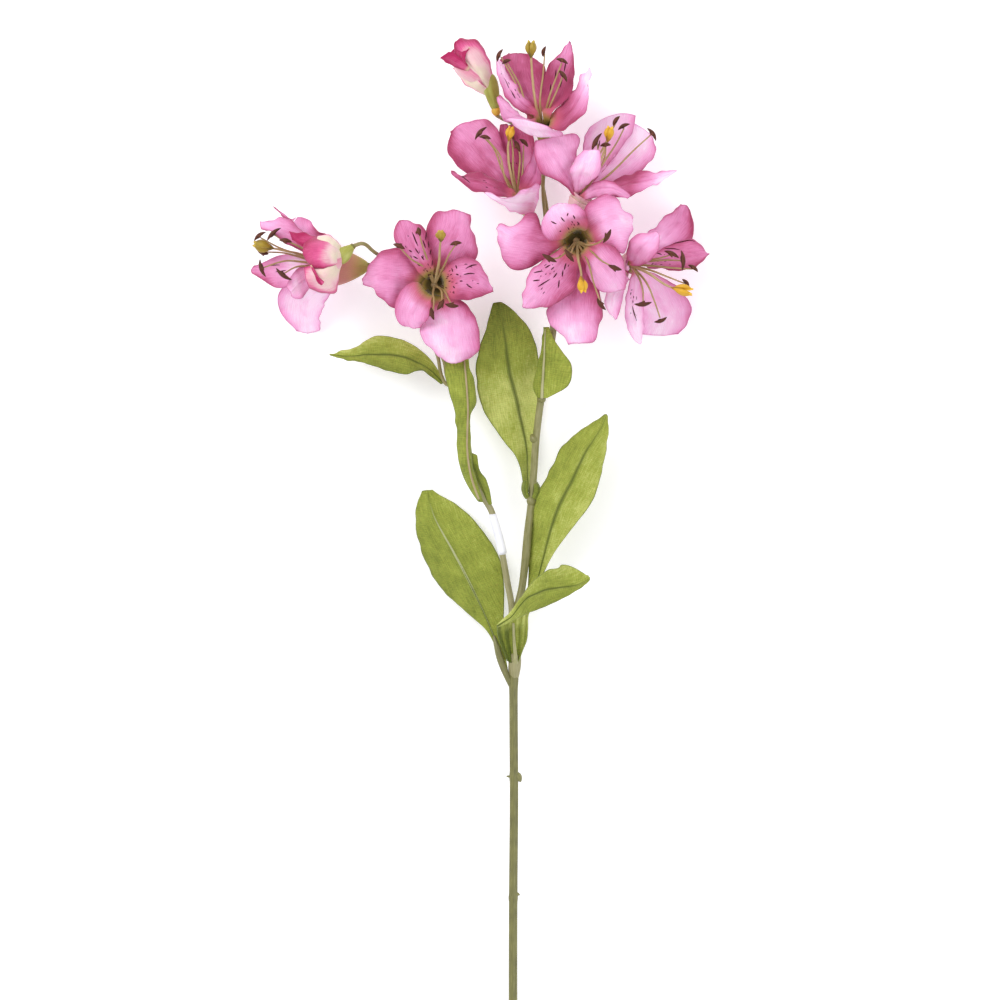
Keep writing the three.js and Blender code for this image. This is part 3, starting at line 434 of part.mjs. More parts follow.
// ---- assemble, higher priority pieces first; later pieces are trimmed clear of earlier ones ----
const pieces = [];              // { name, m, grown, material }
function place(name, make, material) {
  pieces.push({ name, make, material });
}
const mat = (color, roughness) => () => new THREE.MeshStandardMaterial({ color, roughness, metalness: 0 });
const PINK = mat('#e58cc0', 0.85), PINK_PALE = mat('#f0a8d6', 0.85), GREEN = mat('#a0b050', 0.85);
const STEM_GREEN = mat('#8a8a50', 0.5), STAMEN = mat('#8f7440', 0.55), BUD_PINK = mat('#d0508c', 0.85);
const CALYX = mat('#a8a850', 0.6), WHITE = mat('#f0f0f2', 0.5);

for (const f of Object.keys(FLOWERS)) place(`flower_${f}_stamens`, (g) => stamens(f, g), STAMEN);
place('main_stem', (g) => mainStem(g), STEM_GREEN);
place('left_branch', (g) => branch('left_branch', g), STEM_GREEN);
place('right_branch', (g) => branch('right_branch', g), STEM_GREEN);
place('label_band', (g) => band(g), WHITE);
for (const f of Object.keys(FLOWERS)) place(`flower_${f}_calyx`, (g) => calyx(FLOWERS[f], g), CALYX);
for (const b of ['bud_1', 'bud_2']) place(`${b}_calyx`, (g) => budCalyx(b, g), CALYX);
for (const b of ['bud_1', 'bud_2']) place(`${b}_petals`, (g) => budPetals(b, g), BUD_PINK);
for (const f of Object.keys(FLOWERS)) place(`flower_${f}_inner_whorl`, (g) => whorl(f, `flower_${f}_inner_whorl`, INNER_COLLAR, g), PINK_PALE);
for (const f of Object.keys(FLOWERS)) place(`flower_${f}_outer_whorl`, (g) => whorl(f, `flower_${f}_outer_whorl`, OUTER_COLLAR, g), PINK);
for (const s of Object.keys(STALKS)) place(s.startsWith('bud') ? `${s}_stalk` : `flower_${s}_stalk`, (g) => rod(STALKS[s], (s.startsWith('bud') ? BUD_STALK_RADIUS : STALK_RADIUS) + g, 9, 6), STEM_GREEN);
for (const l of Object.keys(LEAVES)) place(l, (g) => blade(LEAVES[l], LEAF_THICKNESS, 4, g), GREEN);

const done = [];
for (const p of pieces) {
  let m = p.make(0);
  for (const q of done) {
    if (boxesApart(m.boundingBox(), q.grown.boundingBox())) continue;
    m = m.subtract(q.grown);
  }
  m = largest(m);
  // nothing goes below the ground plane
  m = m.trimByPlane([0, 0, 1], 0);
  m = largest(largest(m).simplify(SMOOTHING));
  p.m = m;
  p.grown = p.make(CLEARANCE);
  done.push(p);
}

function boxesApart(a, b) {
  for (let k = 0; k < 3; k++) if (a.min[k] > b.max[k] || b.min[k] > a.max[k]) return true;
  return false;
}

const spray = new THREE.Group();
const all = new THREE.Box3();
for (const p of pieces) {
  const g = geometryOf(p.m);
  g.computeBoundingBox();
  all.union(g.boundingBox);
  const mesh = new THREE.Mesh(g, p.material());
  mesh.name = p.name;
  spray.add(mesh);
}
// origin at the middle of the footprint, on the ground
const cx = (all.min.x + all.max.x) / 2, cy = (all.min.y + all.max.y) / 2, cz = all.min.z;
for (const mesh of spray.children) mesh.position.set(-cx, -cy, -cz);

export default spray;
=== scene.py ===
import math

import bmesh
import bpy
import numpy as np
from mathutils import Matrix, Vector


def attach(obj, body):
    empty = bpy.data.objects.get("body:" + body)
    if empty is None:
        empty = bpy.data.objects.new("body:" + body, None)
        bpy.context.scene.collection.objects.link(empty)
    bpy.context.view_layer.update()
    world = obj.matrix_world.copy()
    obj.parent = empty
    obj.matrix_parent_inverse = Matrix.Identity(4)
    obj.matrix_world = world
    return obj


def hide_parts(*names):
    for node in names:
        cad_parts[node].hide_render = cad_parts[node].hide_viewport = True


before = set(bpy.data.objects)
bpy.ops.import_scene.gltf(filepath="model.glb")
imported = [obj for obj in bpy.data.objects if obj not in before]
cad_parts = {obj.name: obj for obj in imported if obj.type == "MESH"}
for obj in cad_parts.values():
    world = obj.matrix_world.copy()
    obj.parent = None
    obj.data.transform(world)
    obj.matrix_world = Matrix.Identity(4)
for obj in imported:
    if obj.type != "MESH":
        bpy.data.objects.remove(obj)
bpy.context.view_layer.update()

# ------------------------------------------------------------------ tables
# Millimetres in the spray's own frame before centring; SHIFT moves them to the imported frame.
SHIFT = [11.6259, 68.8749, 0.0]
FLOWERS = {
    "a": {"p": [-95.66,137.59,38], "a": [-0.9948, -0.0199, 0.0995], "calyx": 19},
    "b": {"p": [-38.41,127.06,36], "a": [-0.0399, -0.0499, 0.998], "calyx": 14},
    "c": {"p": [25.43,217.08,34], "a": [-0.1262, 0.8412, 0.5258], "calyx": 8},
    "d": {"p": [45.47,152.94,38], "a": [-0.0598, -0.0598, 0.9964], "calyx": 14},
    "e": {"p": [13.63,173.6,30], "a": [-0.6211, 0.6612, 0.4208], "calyx": 8},
    "f": {"p": [46.73,177.45,34], "a": [0.5272, 0.8111, 0.2535], "calyx": 8},
    "g": {"p": [72.19,139.65,33], "a": [0.9682, -0.1198, 0.2196], "calyx": 11},
}
# petal rows from claw to tip: [left edge, midrib, right edge]
PETALS = {
    "b1": [[[-39.31,128.55,37.34],[-38.08,128.13,37.37],[-36.85,127.72,37.4]],[[-39.13,132.25,38.03],[-36.79,131.99,38.11],[-34.77,130.77,38.13]],[[-39.46,135.47,44.0],[-35.34,136.65,44.0],[-31.81,135.47,44.0]],[[-40.6,139.34,46.39],[-33.98,139.49,47.07],[-27.59,135.78,46.39]],[[-41.69,143.17,49.31],[-32.62,142.28,50.83],[-23.43,136.36,49.31]],[[-42.61,147.12,51.13],[-31.25,145.13,53.27],[-19.42,137.55,51.07]],[[-43.48,151.14,51.89],[-29.74,147.96,54.79],[-15.68,139.41,51.45]],[[-44.01,155.21,52.7],[-27.98,150.64,56.41],[-13.21,142.7,51.85]],[[-43.56,159.3,53.15],[-26.37,153.45,57.0],[-13.06,146.84,52.15]],[[-42.03,163.13,53.55],[-25.08,156.47,57.0],[-14.14,150.87,52.55]],[[-39.76,166.58,53.93],[-23.99,159.56,57.0],[-15.38,154.85,52.93]],[[-36.37,168.93,53.76],[-23.24,162.79,56.28],[-16.29,158.95,52.76]],[[-32.3,169.75,53.34],[-22.99,166.15,55.02],[-16.97,163.12,52.34]],[[-28.16,170.16,53.0],[-22.87,169.5,54.0],[-17.61,167.29,52.0]]],
    "b3": [[[-39.24,128.59,37.35],[-39.62,127.34,37.27],[-39.99,126.1,37.19]],[[-42.43,130.55,37.82],[-43.56,128.5,37.67],[-43.74,126.15,37.55]],[[-43.59,132.53,44.0],[-46.53,128.99,44.0],[-47.12,127.22,44.0]],[[-46.41,136.37,46.39],[-49.63,129.05,46.73],[-50.74,125.14,46.05]],[[-49.27,140.13,49.31],[-52.7,129.11,50.07],[-53.92,122.42,48.55]],[[-52.42,143.72,51.2],[-55.77,129.4,52.27],[-56.4,119.04,50.07]],[[-56.0,146.92,52.34],[-58.82,129.91,53.79],[-58.81,115.64,50.45]],[[-60.67,147.95,53.55],[-61.91,130.13,55.41],[-61.24,112.29,50.85]],[[-65.52,147.5,53.7],[-65.04,130.04,55.85],[-64.7,113.52,51.15]],[[-70.16,146.05,52.89],[-68.18,129.79,55.45],[-67.37,116.67,51.55]],[[-73.36,142.41,52.13],[-71.31,129.43,55.07],[-70.35,119.53,51.93]],[[-75.81,138.22,51.04],[-74.47,129.01,53.55],[-73.48,122.34,51.04]],[[-78.24,134.04,49.37],[-77.65,128.58,51.05],[-76.96,124.78,49.37]],[[-80.85,129.95,48.0],[-80.82,128.13,49.0],[-80.56,127.01,48.0]]],
    "b5": [[[-39.06,125.34,37.19],[-37.91,125.94,37.27],[-36.76,126.54,37.34]],[[-38.3,121.66,37.54],[-36.03,122.28,37.66],[-34.23,123.79,37.81]],[[-40.92,121.34,43.98],[-35.03,119.57,43.98],[-32.68,119.57,43.98]],[[-42.23,117.44,46.05],[-33.56,116.75,46.39],[-28.1,118.89,46.05]],[[-43.3,112.95,48.55],[-31.91,113.27,49.31],[-23.26,117.44,48.55]],[[-44.82,108.66,50.2],[-30.66,109.67,51.27],[-19.18,114.58,50.07]],[[-46.41,104.42,51.34],[-29.7,106.02,52.79],[-16.47,110.39,50.45]],[[-47.04,99.95,52.55],[-28.91,102.33,54.41],[-14.2,105.93,50.85]],[[-46.04,95.59,52.41],[-28.28,98.67,54.55],[-12.37,101.31,50.55]],[[-43.87,91.76,50.79],[-27.75,95.06,53.34],[-11.53,96.46,49.34]],[[-40.73,88.64,49.27],[-27.24,91.44,52.2],[-11.94,91.54,48.2]],[[-37.3,85.83,47.55],[-26.78,87.84,50.07],[-13.88,87.05,46.55]],[[-33.69,83.27,45.05],[-26.36,84.28,46.73],[-17.34,83.54,44.05]],[[-30.05,80.73,43.0],[-25.92,80.69,44.0],[-21.81,81.35,42.0]]],
    "b2": [[[-39.96,127.39,39.56],[-38.94,127.81,39.62],[-37.92,128.23,39.69]],[[-41.63,129.48,40.5],[-40.16,130.63,40.62],[-38.3,130.85,40.7]],[[-43.83,130.12,50.03],[-41.48,132.47,50.03],[-39.13,133.65,50.03]],[[-46.06,131.92,52.39],[-42.9,134.19,52.73],[-38.94,135.9,52.39]],[[-48.63,134.57,55.31],[-44.66,136.73,56.07],[-39.2,138.97,55.31]],[[-51.13,137.34,57.13],[-46.3,139.43,58.2],[-39.75,142.07,57.13]],[[-53.62,140.2,57.89],[-47.79,142.28,59.34],[-40.46,145.2,57.89]],[[-56.07,143.1,58.7],[-49.17,145.17,60.55],[-41.14,148.33,58.7]],[[-58.39,146.11,59.15],[-50.48,148.14,61.0],[-41.69,151.51,59.15]],[[-60.39,149.35,59.55],[-51.63,151.21,61.0],[-42.48,154.64,59.55]],[[-61.88,152.85,59.93],[-52.53,154.37,61.0],[-43.47,157.7,59.93]],[[-62.34,156.64,59.52],[-53.49,157.56,60.28],[-45.65,160.09,59.52]],[[-61.04,160.28,58.68],[-54.55,160.76,59.02],[-48.56,161.63,58.68]],[[-59.14,163.65,58.0],[-55.62,163.94,58.0],[-51.52,163.06,58.0]]],
    "b6": [[[-38.11,128.3,39.68],[-37.65,127.3,39.65],[-37.19,126.3,39.62]],[[-36.08,129.97,40.75],[-34.87,128.54,40.72],[-34.58,126.7,40.64]],[[-34.15,132.05,50.14],[-32.97,129.12,50.14],[-32.97,125.59,50.14]],[[-33.85,134.24,52.39],[-32.25,128.4,52.73],[-33.21,121.95,52.39]],[[-31.02,137.21,55.31],[-29.25,128.71,56.07],[-31.14,119.34,55.31]],[[-27.84,139.88,57.2],[-26.31,129.24,58.2],[-28.57,117.39,57.07]],[[-24.13,141.76,58.34],[-23.42,130.01,59.34],[-25.46,116.76,57.45]],[[-20.02,142.53,59.55],[-20.46,130.42,60.55],[-22.28,116.81,57.85]],[[-15.97,141.59,59.7],[-17.5,130.09,60.85],[-19.12,117.18,58.0]],[[-12.68,139.08,58.89],[-14.64,129.26,60.45],[-16.01,117.82,58.0]],[[-10.36,135.64,58.13],[-11.86,128.18,60.07],[-12.91,118.54,58.0]],[[-8.34,132.02,57.04],[-9.2,126.91,58.79],[-9.84,119.4,57.28]],[[-6.21,128.49,55.37],[-6.65,125.46,56.71],[-7.02,120.89,56.02]],[[-4.11,124.92,54.0],[-4.1,123.99,55.0],[-4.69,123.11,55.0]]],
    "b4": [[[-40.03,126.72,39.53],[-39.14,126.08,39.53],[-38.25,125.43,39.53]],[[-42.15,124.97,40.26],[-40.98,123.52,40.23],[-39.23,122.87,40.27]],[[-44.59,123.35,49.81],[-42.83,121.0,49.81],[-40.48,119.83,49.81]],[[-46.67,127.05,52.73],[-43.04,121.79,52.39],[-39.38,120.08,52.73]],[[-50.57,127.73,56.07],[-44.95,120.19,55.31],[-39.98,117.94,56.07]],[[-54.34,126.26,58.2],[-46.72,118.45,57.27],[-40.41,115.81,58.2]],[[-57.27,123.4,59.34],[-48.19,116.46,58.79],[-40.39,113.69,59.34]],[[-59.5,119.93,60.55],[-49.39,114.29,60.41],[-40.24,111.56,60.55]],[[-61.05,116.15,60.85],[-50.38,112.05,60.85],[-40.63,109.52,60.85]],[[-61.62,112.13,60.45],[-51.13,109.75,60.45],[-41.42,107.62,60.45]],[[-61.28,108.09,60.07],[-51.48,107.36,60.07],[-42.4,105.81,60.07]],[[-59.7,104.4,59.04],[-51.27,104.99,59.04],[-43.56,104.13,59.04]],[[-56.62,101.95,57.37],[-50.56,102.75,57.37],[-44.92,102.61,57.37]],[[-52.74,100.79,56.0],[-49.81,100.5,56.0],[-46.29,101.08,56.0]]],
    "d1": [[[44.39,154.32,39.32],[44.21,153.04,39.23],[44.02,151.75,39.15]],[[40.95,155.81,39.71],[40.13,153.61,39.53],[40.29,151.27,39.4]],[[38.19,155.92,46.79],[37.01,153.57,46.79],[38.19,150.62,46.79]],[[37.39,154.88,48.71],[37.12,152.11,49.05],[36.5,149.17,48.71]],[[32.47,155.16,50.79],[33.02,151.49,51.55],[31.5,146.0,50.79]],[[27.86,156.86,52.13],[28.93,151.55,53.2],[26.91,142.25,52.07]],[[23.96,159.76,52.89],[24.86,151.95,54.34],[22.28,138.62,52.45]],[[22.89,164.44,53.7],[20.8,152.36,55.55],[16.97,136.13,52.85]],[[21.22,168.81,54.0],[16.73,152.57,56.0],[11.27,134.86,52.7]],[[16.63,168.03,54.0],[12.66,152.79,56.0],[5.68,136.39,51.89]],[[12.91,164.8,54.0],[8.67,153.57,56.0],[1.85,140.77,51.13]],[[9.07,161.78,53.28],[4.96,155.29,55.04],[0.17,146.39,51.0]],[[4.33,160.81,52.02],[1.45,157.49,53.37],[-0.79,152.18,51.0]],[[-0.59,161.2,51.0],[-2.05,159.66,52.0],[-1.76,157.97,51.0]]],
    "d3": [[[45.63,154.61,39.41],[46.37,153.55,39.4],[47.12,152.48,39.38]],[[47.97,157.45,40.23],[49.69,155.85,40.23],[50.6,153.68,40.16]],[[49.73,159.33,47.33],[51.49,156.98,47.33],[52.67,155.21,47.33]],[[46.79,161.75,48.71],[50.4,156.65,49.39],[53.46,152.23,49.05]],[[47.68,166.32,50.79],[52.57,158.51,52.31],[57.44,151.2,51.55]],[[49.5,170.66,52.13],[54.95,160.22,54.27],[61.36,149.97,53.13]],[[52.04,174.66,52.89],[57.46,161.78,55.79],[65.24,148.57,53.89]],[[55.82,177.5,53.7],[60.11,163.06,57.41],[68.79,146.48,54.7]],[[60.36,178.95,54.0],[62.95,164.08,57.7],[72.29,144.34,54.55]],[[65.14,178.83,54.0],[65.92,164.86,56.89],[74.54,147.02,53.34]],[[69.21,176.52,54.0],[68.96,165.24,56.13],[75.07,151.18,52.2]],[[71.53,172.4,52.55],[72.04,165.13,54.31],[76.23,155.23,51.04]],[[74.27,168.6,50.05],[75.11,164.72,51.39],[77.43,159.31,49.37]],[[77.62,165.23,48.0],[78.17,164.28,49.0],[78.2,163.46,48.0]]],
    "d5": [[[44.39,151.41,39.15],[45.65,151.69,39.24],[46.92,151.97,39.33]],[[44.17,147.66,39.41],[46.52,147.66,39.55],[48.65,148.65,39.74]],[[44.37,144.65,45.83],[46.72,144.65,45.83],[48.48,144.65,45.83]],[[42.24,142.42,46.68],[45.71,143.09,47.37],[49.74,143.17,46.68]],[[40.8,136.56,47.52],[45.51,137.87,49.04],[51.81,138.03,47.52]],[[38.76,130.91,48.07],[45.26,132.7,50.07],[53.88,132.91,48.0]],[[36.34,125.42,48.45],[44.86,127.57,50.45],[56.02,127.85,48.0]],[[33.65,120.06,48.85],[44.36,122.46,50.85],[58.05,122.74,48.0]],[[30.05,115.36,48.55],[44.05,117.37,50.55],[59.69,117.51,47.41]],[[26.93,110.61,47.34],[44.12,112.31,49.34],[60.61,112.17,45.79]],[[28.61,104.98,46.2],[44.46,107.25,48.2],[59.84,106.84,44.27]],[[32.5,100.56,44.79],[44.99,102.22,46.55],[58.15,101.67,43.04]],[[36.99,96.67,42.71],[45.76,97.25,44.05],[57.02,96.4,41.37]],[[40.69,92.0,41.0],[46.57,92.26,42.0],[53.1,92.63,40.0]]],
    "d2": [[[44.27,153.84,41.6],[45.36,153.72,41.65],[46.45,153.59,41.71]],[[43.81,156.44,42.63],[45.65,156.74,42.75],[47.38,156.04,42.82]],[[41.89,156.9,52.13],[45.43,158.72,51.13],[48.37,158.14,51.13]],[[38.27,153.47,55.42],[44.08,158.13,54.07],[49.63,157.69,53.73]],[[34.84,151.97,59.59],[42.93,159.41,57.83],[51.02,159.19,57.07]],[[31.28,151.34,62.27],[41.8,160.77,60.4],[51.6,161.18,59.34]],[[27.87,152.22,63.79],[40.7,162.15,62.68],[51.44,163.3,61.23]],[[25.5,154.74,65.41],[39.6,163.53,65.11],[50.91,165.36,63.26]],[[24.17,158.0,66.0],[38.54,165.01,66.0],[50.02,167.38,64.0]],[[24.12,161.53,66.0],[37.52,166.59,66.0],[48.64,169.16,64.0]],[[25.32,164.88,66.0],[36.54,168.18,66.0],[46.96,170.66,64.0]],[[27.19,167.98,65.04],[35.72,169.93,64.79],[45.14,172.02,63.28]],[[29.86,170.48,63.37],[35.93,171.89,62.71],[43.08,172.95,62.02]],[[32.73,172.72,62.0],[36.84,173.67,61.0],[40.93,173.67,61.0]]],
    "d6": [[[43.78,152.57,41.49],[44.66,151.92,41.5],[45.55,151.27,41.52]],[[41.63,150.85,42.16],[42.78,149.38,42.14],[44.53,148.71,42.21]],[[38.96,149.13,51.7],[40.72,146.78,51.7],[43.66,145.61,51.7]],[[37.49,149.02,54.05],[40.25,146.14,54.05],[45.85,143.44,53.71]],[[33.84,146.04,56.55],[37.63,142.58,56.55],[45.88,138.35,55.79]],[[29.98,143.47,58.13],[34.96,139.14,58.27],[45.55,133.32,57.13]],[[26.0,141.15,58.89],[32.16,135.82,59.79],[44.94,128.35,57.89]],[[22.37,138.33,59.7],[29.3,132.56,61.41],[43.61,123.54,58.7]],[[19.18,135.04,59.85],[26.51,129.31,61.85],[40.5,119.76,58.85]],[[16.54,131.35,59.45],[23.86,126.01,61.45],[36.33,117.1,58.45]],[[14.99,127.09,59.07],[21.27,122.66,61.07],[32.1,114.55,58.07]],[[14.21,122.62,58.28],[18.67,119.36,59.79],[27.47,112.9,57.28]],[[13.47,118.17,57.02],[16.08,116.1,57.71],[22.54,112.58,56.02]],[[12.89,113.68,56.0],[13.48,112.8,56.0],[17.59,112.56,55.0]]],
    "d4": [[[46.56,153.42,41.71],[46.19,152.39,41.62],[45.83,151.35,41.54]],[[49.19,153.15,42.75],[49.06,151.29,42.63],[47.99,149.77,42.48]],[[50.85,152.82,52.1],[50.85,149.89,52.1],[49.11,147.02,51.1]],[[51.78,151.48,54.39],[50.54,148.56,54.73],[47.51,144.61,53.05]],[[55.85,150.4,57.31],[52.89,146.17,58.07],[48.62,141.21,55.55]],[[60.06,150.57,59.2],[55.08,143.68,60.2],[49.73,137.87,57.13]],[[64.19,149.63,60.34],[57.14,141.12,61.34],[50.79,134.55,57.89]],[[67.77,147.34,61.55],[59.13,138.51,62.55],[52.01,131.3,58.7]],[[70.41,144.0,61.7],[61.15,135.97,62.55],[53.47,128.18,58.7]],[[72.2,140.17,60.89],[63.18,133.48,61.34],[55.23,125.27,57.89]],[[73.18,136.06,60.13],[65.03,130.86,60.2],[57.83,123.08,57.13]],[[73.67,131.93,58.07],[66.7,128.15,58.07],[61.15,122.14,55.31]],[[73.82,127.84,54.73],[68.28,125.44,54.73],[64.63,121.81,52.39]],[[72.79,123.86,52.0],[69.85,122.68,52.0],[68.15,121.91,50.0]]],
    "a1": [[[-97.05,139.22,37.52],[-96.92,138.63,38.67],[-96.79,138.05,39.82]],[[-97.55,142.87,38.3],[-97.31,142.28,40.56],[-97.1,140.8,42.38]],[[-103.32,148.36,38.37],[-103.14,144.57,42.37],[-104.82,140.92,44.37]],[[-106.56,150.25,38.68],[-106.35,146.02,42.68],[-108.16,141.91,44.68]],[[-109.78,152.86,39.52],[-109.54,148.19,43.52],[-111.47,143.64,45.52]],[[-112.98,155.51,40.13],[-112.74,150.35,44.13],[-114.8,145.35,46.2]],[[-116.09,158.25,40.89],[-115.96,152.47,44.89],[-118.12,146.99,47.34]],[[-119.14,161.04,41.7],[-119.17,154.59,45.7],[-121.47,148.57,48.55]],[[-122.36,163.69,42.0],[-122.51,156.57,46.0],[-124.83,150.21,49.15]],[[-125.89,165.97,42.0],[-126.06,158.18,46.0],[-128.07,152.1,49.55]],[[-129.88,167.1,42.0],[-129.79,159.37,46.0],[-130.97,154.48,49.93]],[[-133.46,165.05,42.24],[-133.59,160.39,45.52],[-133.75,157.15,49.04]],[[-137.3,163.73,42.66],[-137.47,161.22,44.68],[-136.83,159.55,47.37]],[[-141.42,164.4,43.0],[-141.36,161.97,44.0],[-140.65,159.48,46.0]]],
    "a3": [[[-96.98,139.33,38.24],[-97.05,138.43,37.3],[-97.13,137.53,36.37]],[[-97.72,142.61,36.54],[-97.89,141.38,34.54],[-97.98,139.42,33.23]],[[-100.55,146.69,34.0],[-103.01,144.45,32.0],[-105.47,143.39,30.0]],[[-100.82,149.59,32.63],[-105.03,146.57,29.27],[-108.96,145.25,26.58]],[[-101.05,152.52,30.96],[-107.07,148.74,25.93],[-112.5,147.15,22.41]],[[-101.69,155.35,29.73],[-109.08,150.84,23.66],[-115.97,149.0,19.66]],[[-103.54,157.59,28.21],[-111.15,152.85,21.77],[-119.39,150.84,17.77]],[[-106.08,159.07,26.59],[-113.37,154.69,19.74],[-122.81,152.7,15.74]],[[-108.51,160.68,25.41],[-115.72,156.28,18.55],[-126.05,154.75,14.55]],[[-110.56,162.81,23.79],[-118.12,157.78,17.34],[-128.73,157.5,13.34]],[[-112.64,164.92,22.27],[-120.46,159.36,16.2],[-129.34,161.16,12.2]],[[-114.78,166.92,21.04],[-122.77,160.9,15.76],[-127.68,164.51,12.0]],[[-117.39,168.24,19.37],[-124.22,163.13,15.34],[-125.1,167.19,12.0]],[[-120.29,168.53,18.0],[-123.42,165.76,15.0],[-121.79,168.95,12.0]]],
    "a6": [[[-97.13,137.89,36.4],[-97.04,136.84,37.17],[-96.94,135.8,37.94]],[[-97.95,136.53,32.98],[-97.81,134.39,33.94],[-97.61,132.84,35.7]],[[-103.64,133.85,31.0],[-101.36,130.41,29.0],[-98.99,128.03,29.0]],[[-108.81,132.69,28.95],[-104.0,128.29,26.27],[-99.62,125.52,26.95]],[[-114.01,131.56,26.45],[-106.66,126.19,22.93],[-100.55,123.1,24.45]],[[-119.23,130.56,24.53],[-109.28,124.03,20.46],[-101.96,120.87,22.53]],[[-124.5,129.62,21.87],[-112.03,122.02,17.43],[-103.41,118.67,19.87]],[[-129.14,127.13,19.04],[-114.36,119.58,14.19],[-104.69,116.38,17.04]],[[-132.07,122.87,16.66],[-115.66,116.51,11.96],[-105.86,114.01,15.11]],[[-132.69,117.84,13.02],[-116.38,113.29,9.13],[-106.84,111.57,12.68]],[[-131.52,112.93,9.61],[-116.68,110.0,6.47],[-107.34,109.01,10.4]],[[-128.93,108.51,7.43],[-116.42,106.7,4.55],[-107.53,106.4,8.55]],[[-125.42,104.82,4.72],[-115.82,103.46,2.05],[-107.92,103.82,6.05]],[[-121.67,101.29,2.5],[-115.2,100.2,0.0],[-108.42,101.23,4.0]]],
    "a2": [[[-99.19,138.75,39.18],[-99.29,138.48,38.12],[-99.39,138.22,37.06]],[[-100.13,141.43,39.32],[-100.32,141.47,37.46],[-100.46,140.55,35.84]],[[-105.15,147.1,37.0],[-105.74,145.32,37.0],[-106.33,142.96,37.0]],[[-108.16,149.28,34.95],[-108.45,147.83,35.63],[-108.69,145.84,36.32]],[[-111.21,151.48,32.45],[-111.17,150.34,33.96],[-111.06,148.72,35.48]],[[-114.2,153.69,30.66],[-113.84,152.89,32.73],[-113.32,151.68,34.8]],[[-117.07,156.07,28.77],[-116.36,155.61,31.21],[-115.15,154.95,33.66]],[[-119.76,158.68,26.74],[-118.65,158.53,29.59],[-116.92,158.27,32.45]],[[-122.28,161.37,25.55],[-120.97,161.39,28.55],[-119.49,160.99,31.55]],[[-124.77,164.09,24.34],[-123.37,164.21,27.34],[-122.33,163.48,30.34]],[[-127.17,166.89,23.2],[-125.93,166.87,26.2],[-125.15,165.99,29.2]],[[-129.68,169.48,23.0],[-128.65,169.31,25.52],[-127.95,168.53,28.04]],[[-132.28,171.95,23.0],[-131.45,171.68,24.68],[-130.78,171.11,26.37]],[[-134.89,174.41,23.0],[-134.24,174.04,24.0],[-133.59,173.67,25.0]]],
    "a4": [[[-99.34,138.79,37.6],[-99.34,137.71,37.38],[-99.34,136.63,37.17]],[[-100.5,139.96,35.29],[-100.55,138.3,34.45],[-100.5,136.43,34.58]],[[-104.59,142.94,30.5],[-105.68,138.69,32.5],[-105.59,135.62,34.5]],[[-107.97,142.51,34.29],[-108.95,138.41,36.63],[-109.25,133.96,39.32]],[[-111.95,143.19,32.21],[-112.8,139.22,34.96],[-113.49,133.44,38.48]],[[-115.88,143.89,30.93],[-116.69,139.61,33.8],[-117.64,132.46,37.73]],[[-119.72,144.8,30.55],[-120.58,139.29,32.66],[-121.31,130.35,36.21]],[[-123.57,145.68,30.15],[-124.44,138.71,31.45],[-124.48,127.52,34.59]],[[-127.5,145.62,29.85],[-128.31,138.29,30.7],[-128.13,125.38,33.41]],[[-131.36,144.84,29.45],[-132.19,137.91,29.89],[-132.41,125.46,31.79]],[[-135.05,143.46,29.07],[-136.07,137.54,29.13],[-136.29,127.41,30.27]],[[-138.57,141.72,28.76],[-139.93,137.15,28.76],[-139.89,129.8,29.52]],[[-142.2,140.17,28.34],[-143.8,136.77,28.34],[-143.49,132.18,28.68]],[[-145.88,138.76,28.0],[-147.66,136.39,28.0],[-147.06,134.61,28.0]]],
    "a5": [[[-99.14,138.43,39.52],[-99.14,137.35,39.34],[-99.14,136.26,39.15]],[[-99.78,138.67,42.28],[-99.72,136.81,42.47],[-99.77,135.12,41.68]],[[-104.63,139.82,45.5],[-105.22,136.28,45.5],[-104.67,131.62,44.5]],[[-107.37,139.72,43.34],[-107.18,135.47,43.34],[-106.45,130.51,42.34]],[[-109.85,139.2,43.76],[-108.88,134.23,43.76],[-107.97,128.98,42.76]],[[-112.33,138.71,44.2],[-110.6,133.0,44.13],[-109.46,127.42,43.13]],[[-114.79,138.22,45.34],[-112.32,131.81,44.89],[-110.86,125.77,43.89]],[[-117.16,137.41,46.55],[-114.09,130.68,45.7],[-112.21,124.08,44.7]],[[-119.23,135.97,47.59],[-115.81,129.49,46.74],[-113.53,122.37,45.59]],[[-120.91,134.04,49.21],[-117.39,128.1,48.77],[-114.73,120.56,47.21]],[[-122.35,131.93,50.73],[-118.87,126.61,50.66],[-116.24,119.04,48.73]],[[-123.63,129.71,51.72],[-120.34,125.1,51.72],[-118.17,118.21,49.96]],[[-124.6,127.33,52.98],[-121.75,123.54,52.98],[-120.2,118.22,51.63]],[[-125.51,124.92,54.0],[-123.16,121.99,54.0],[-122.04,119.11,53.0]]],
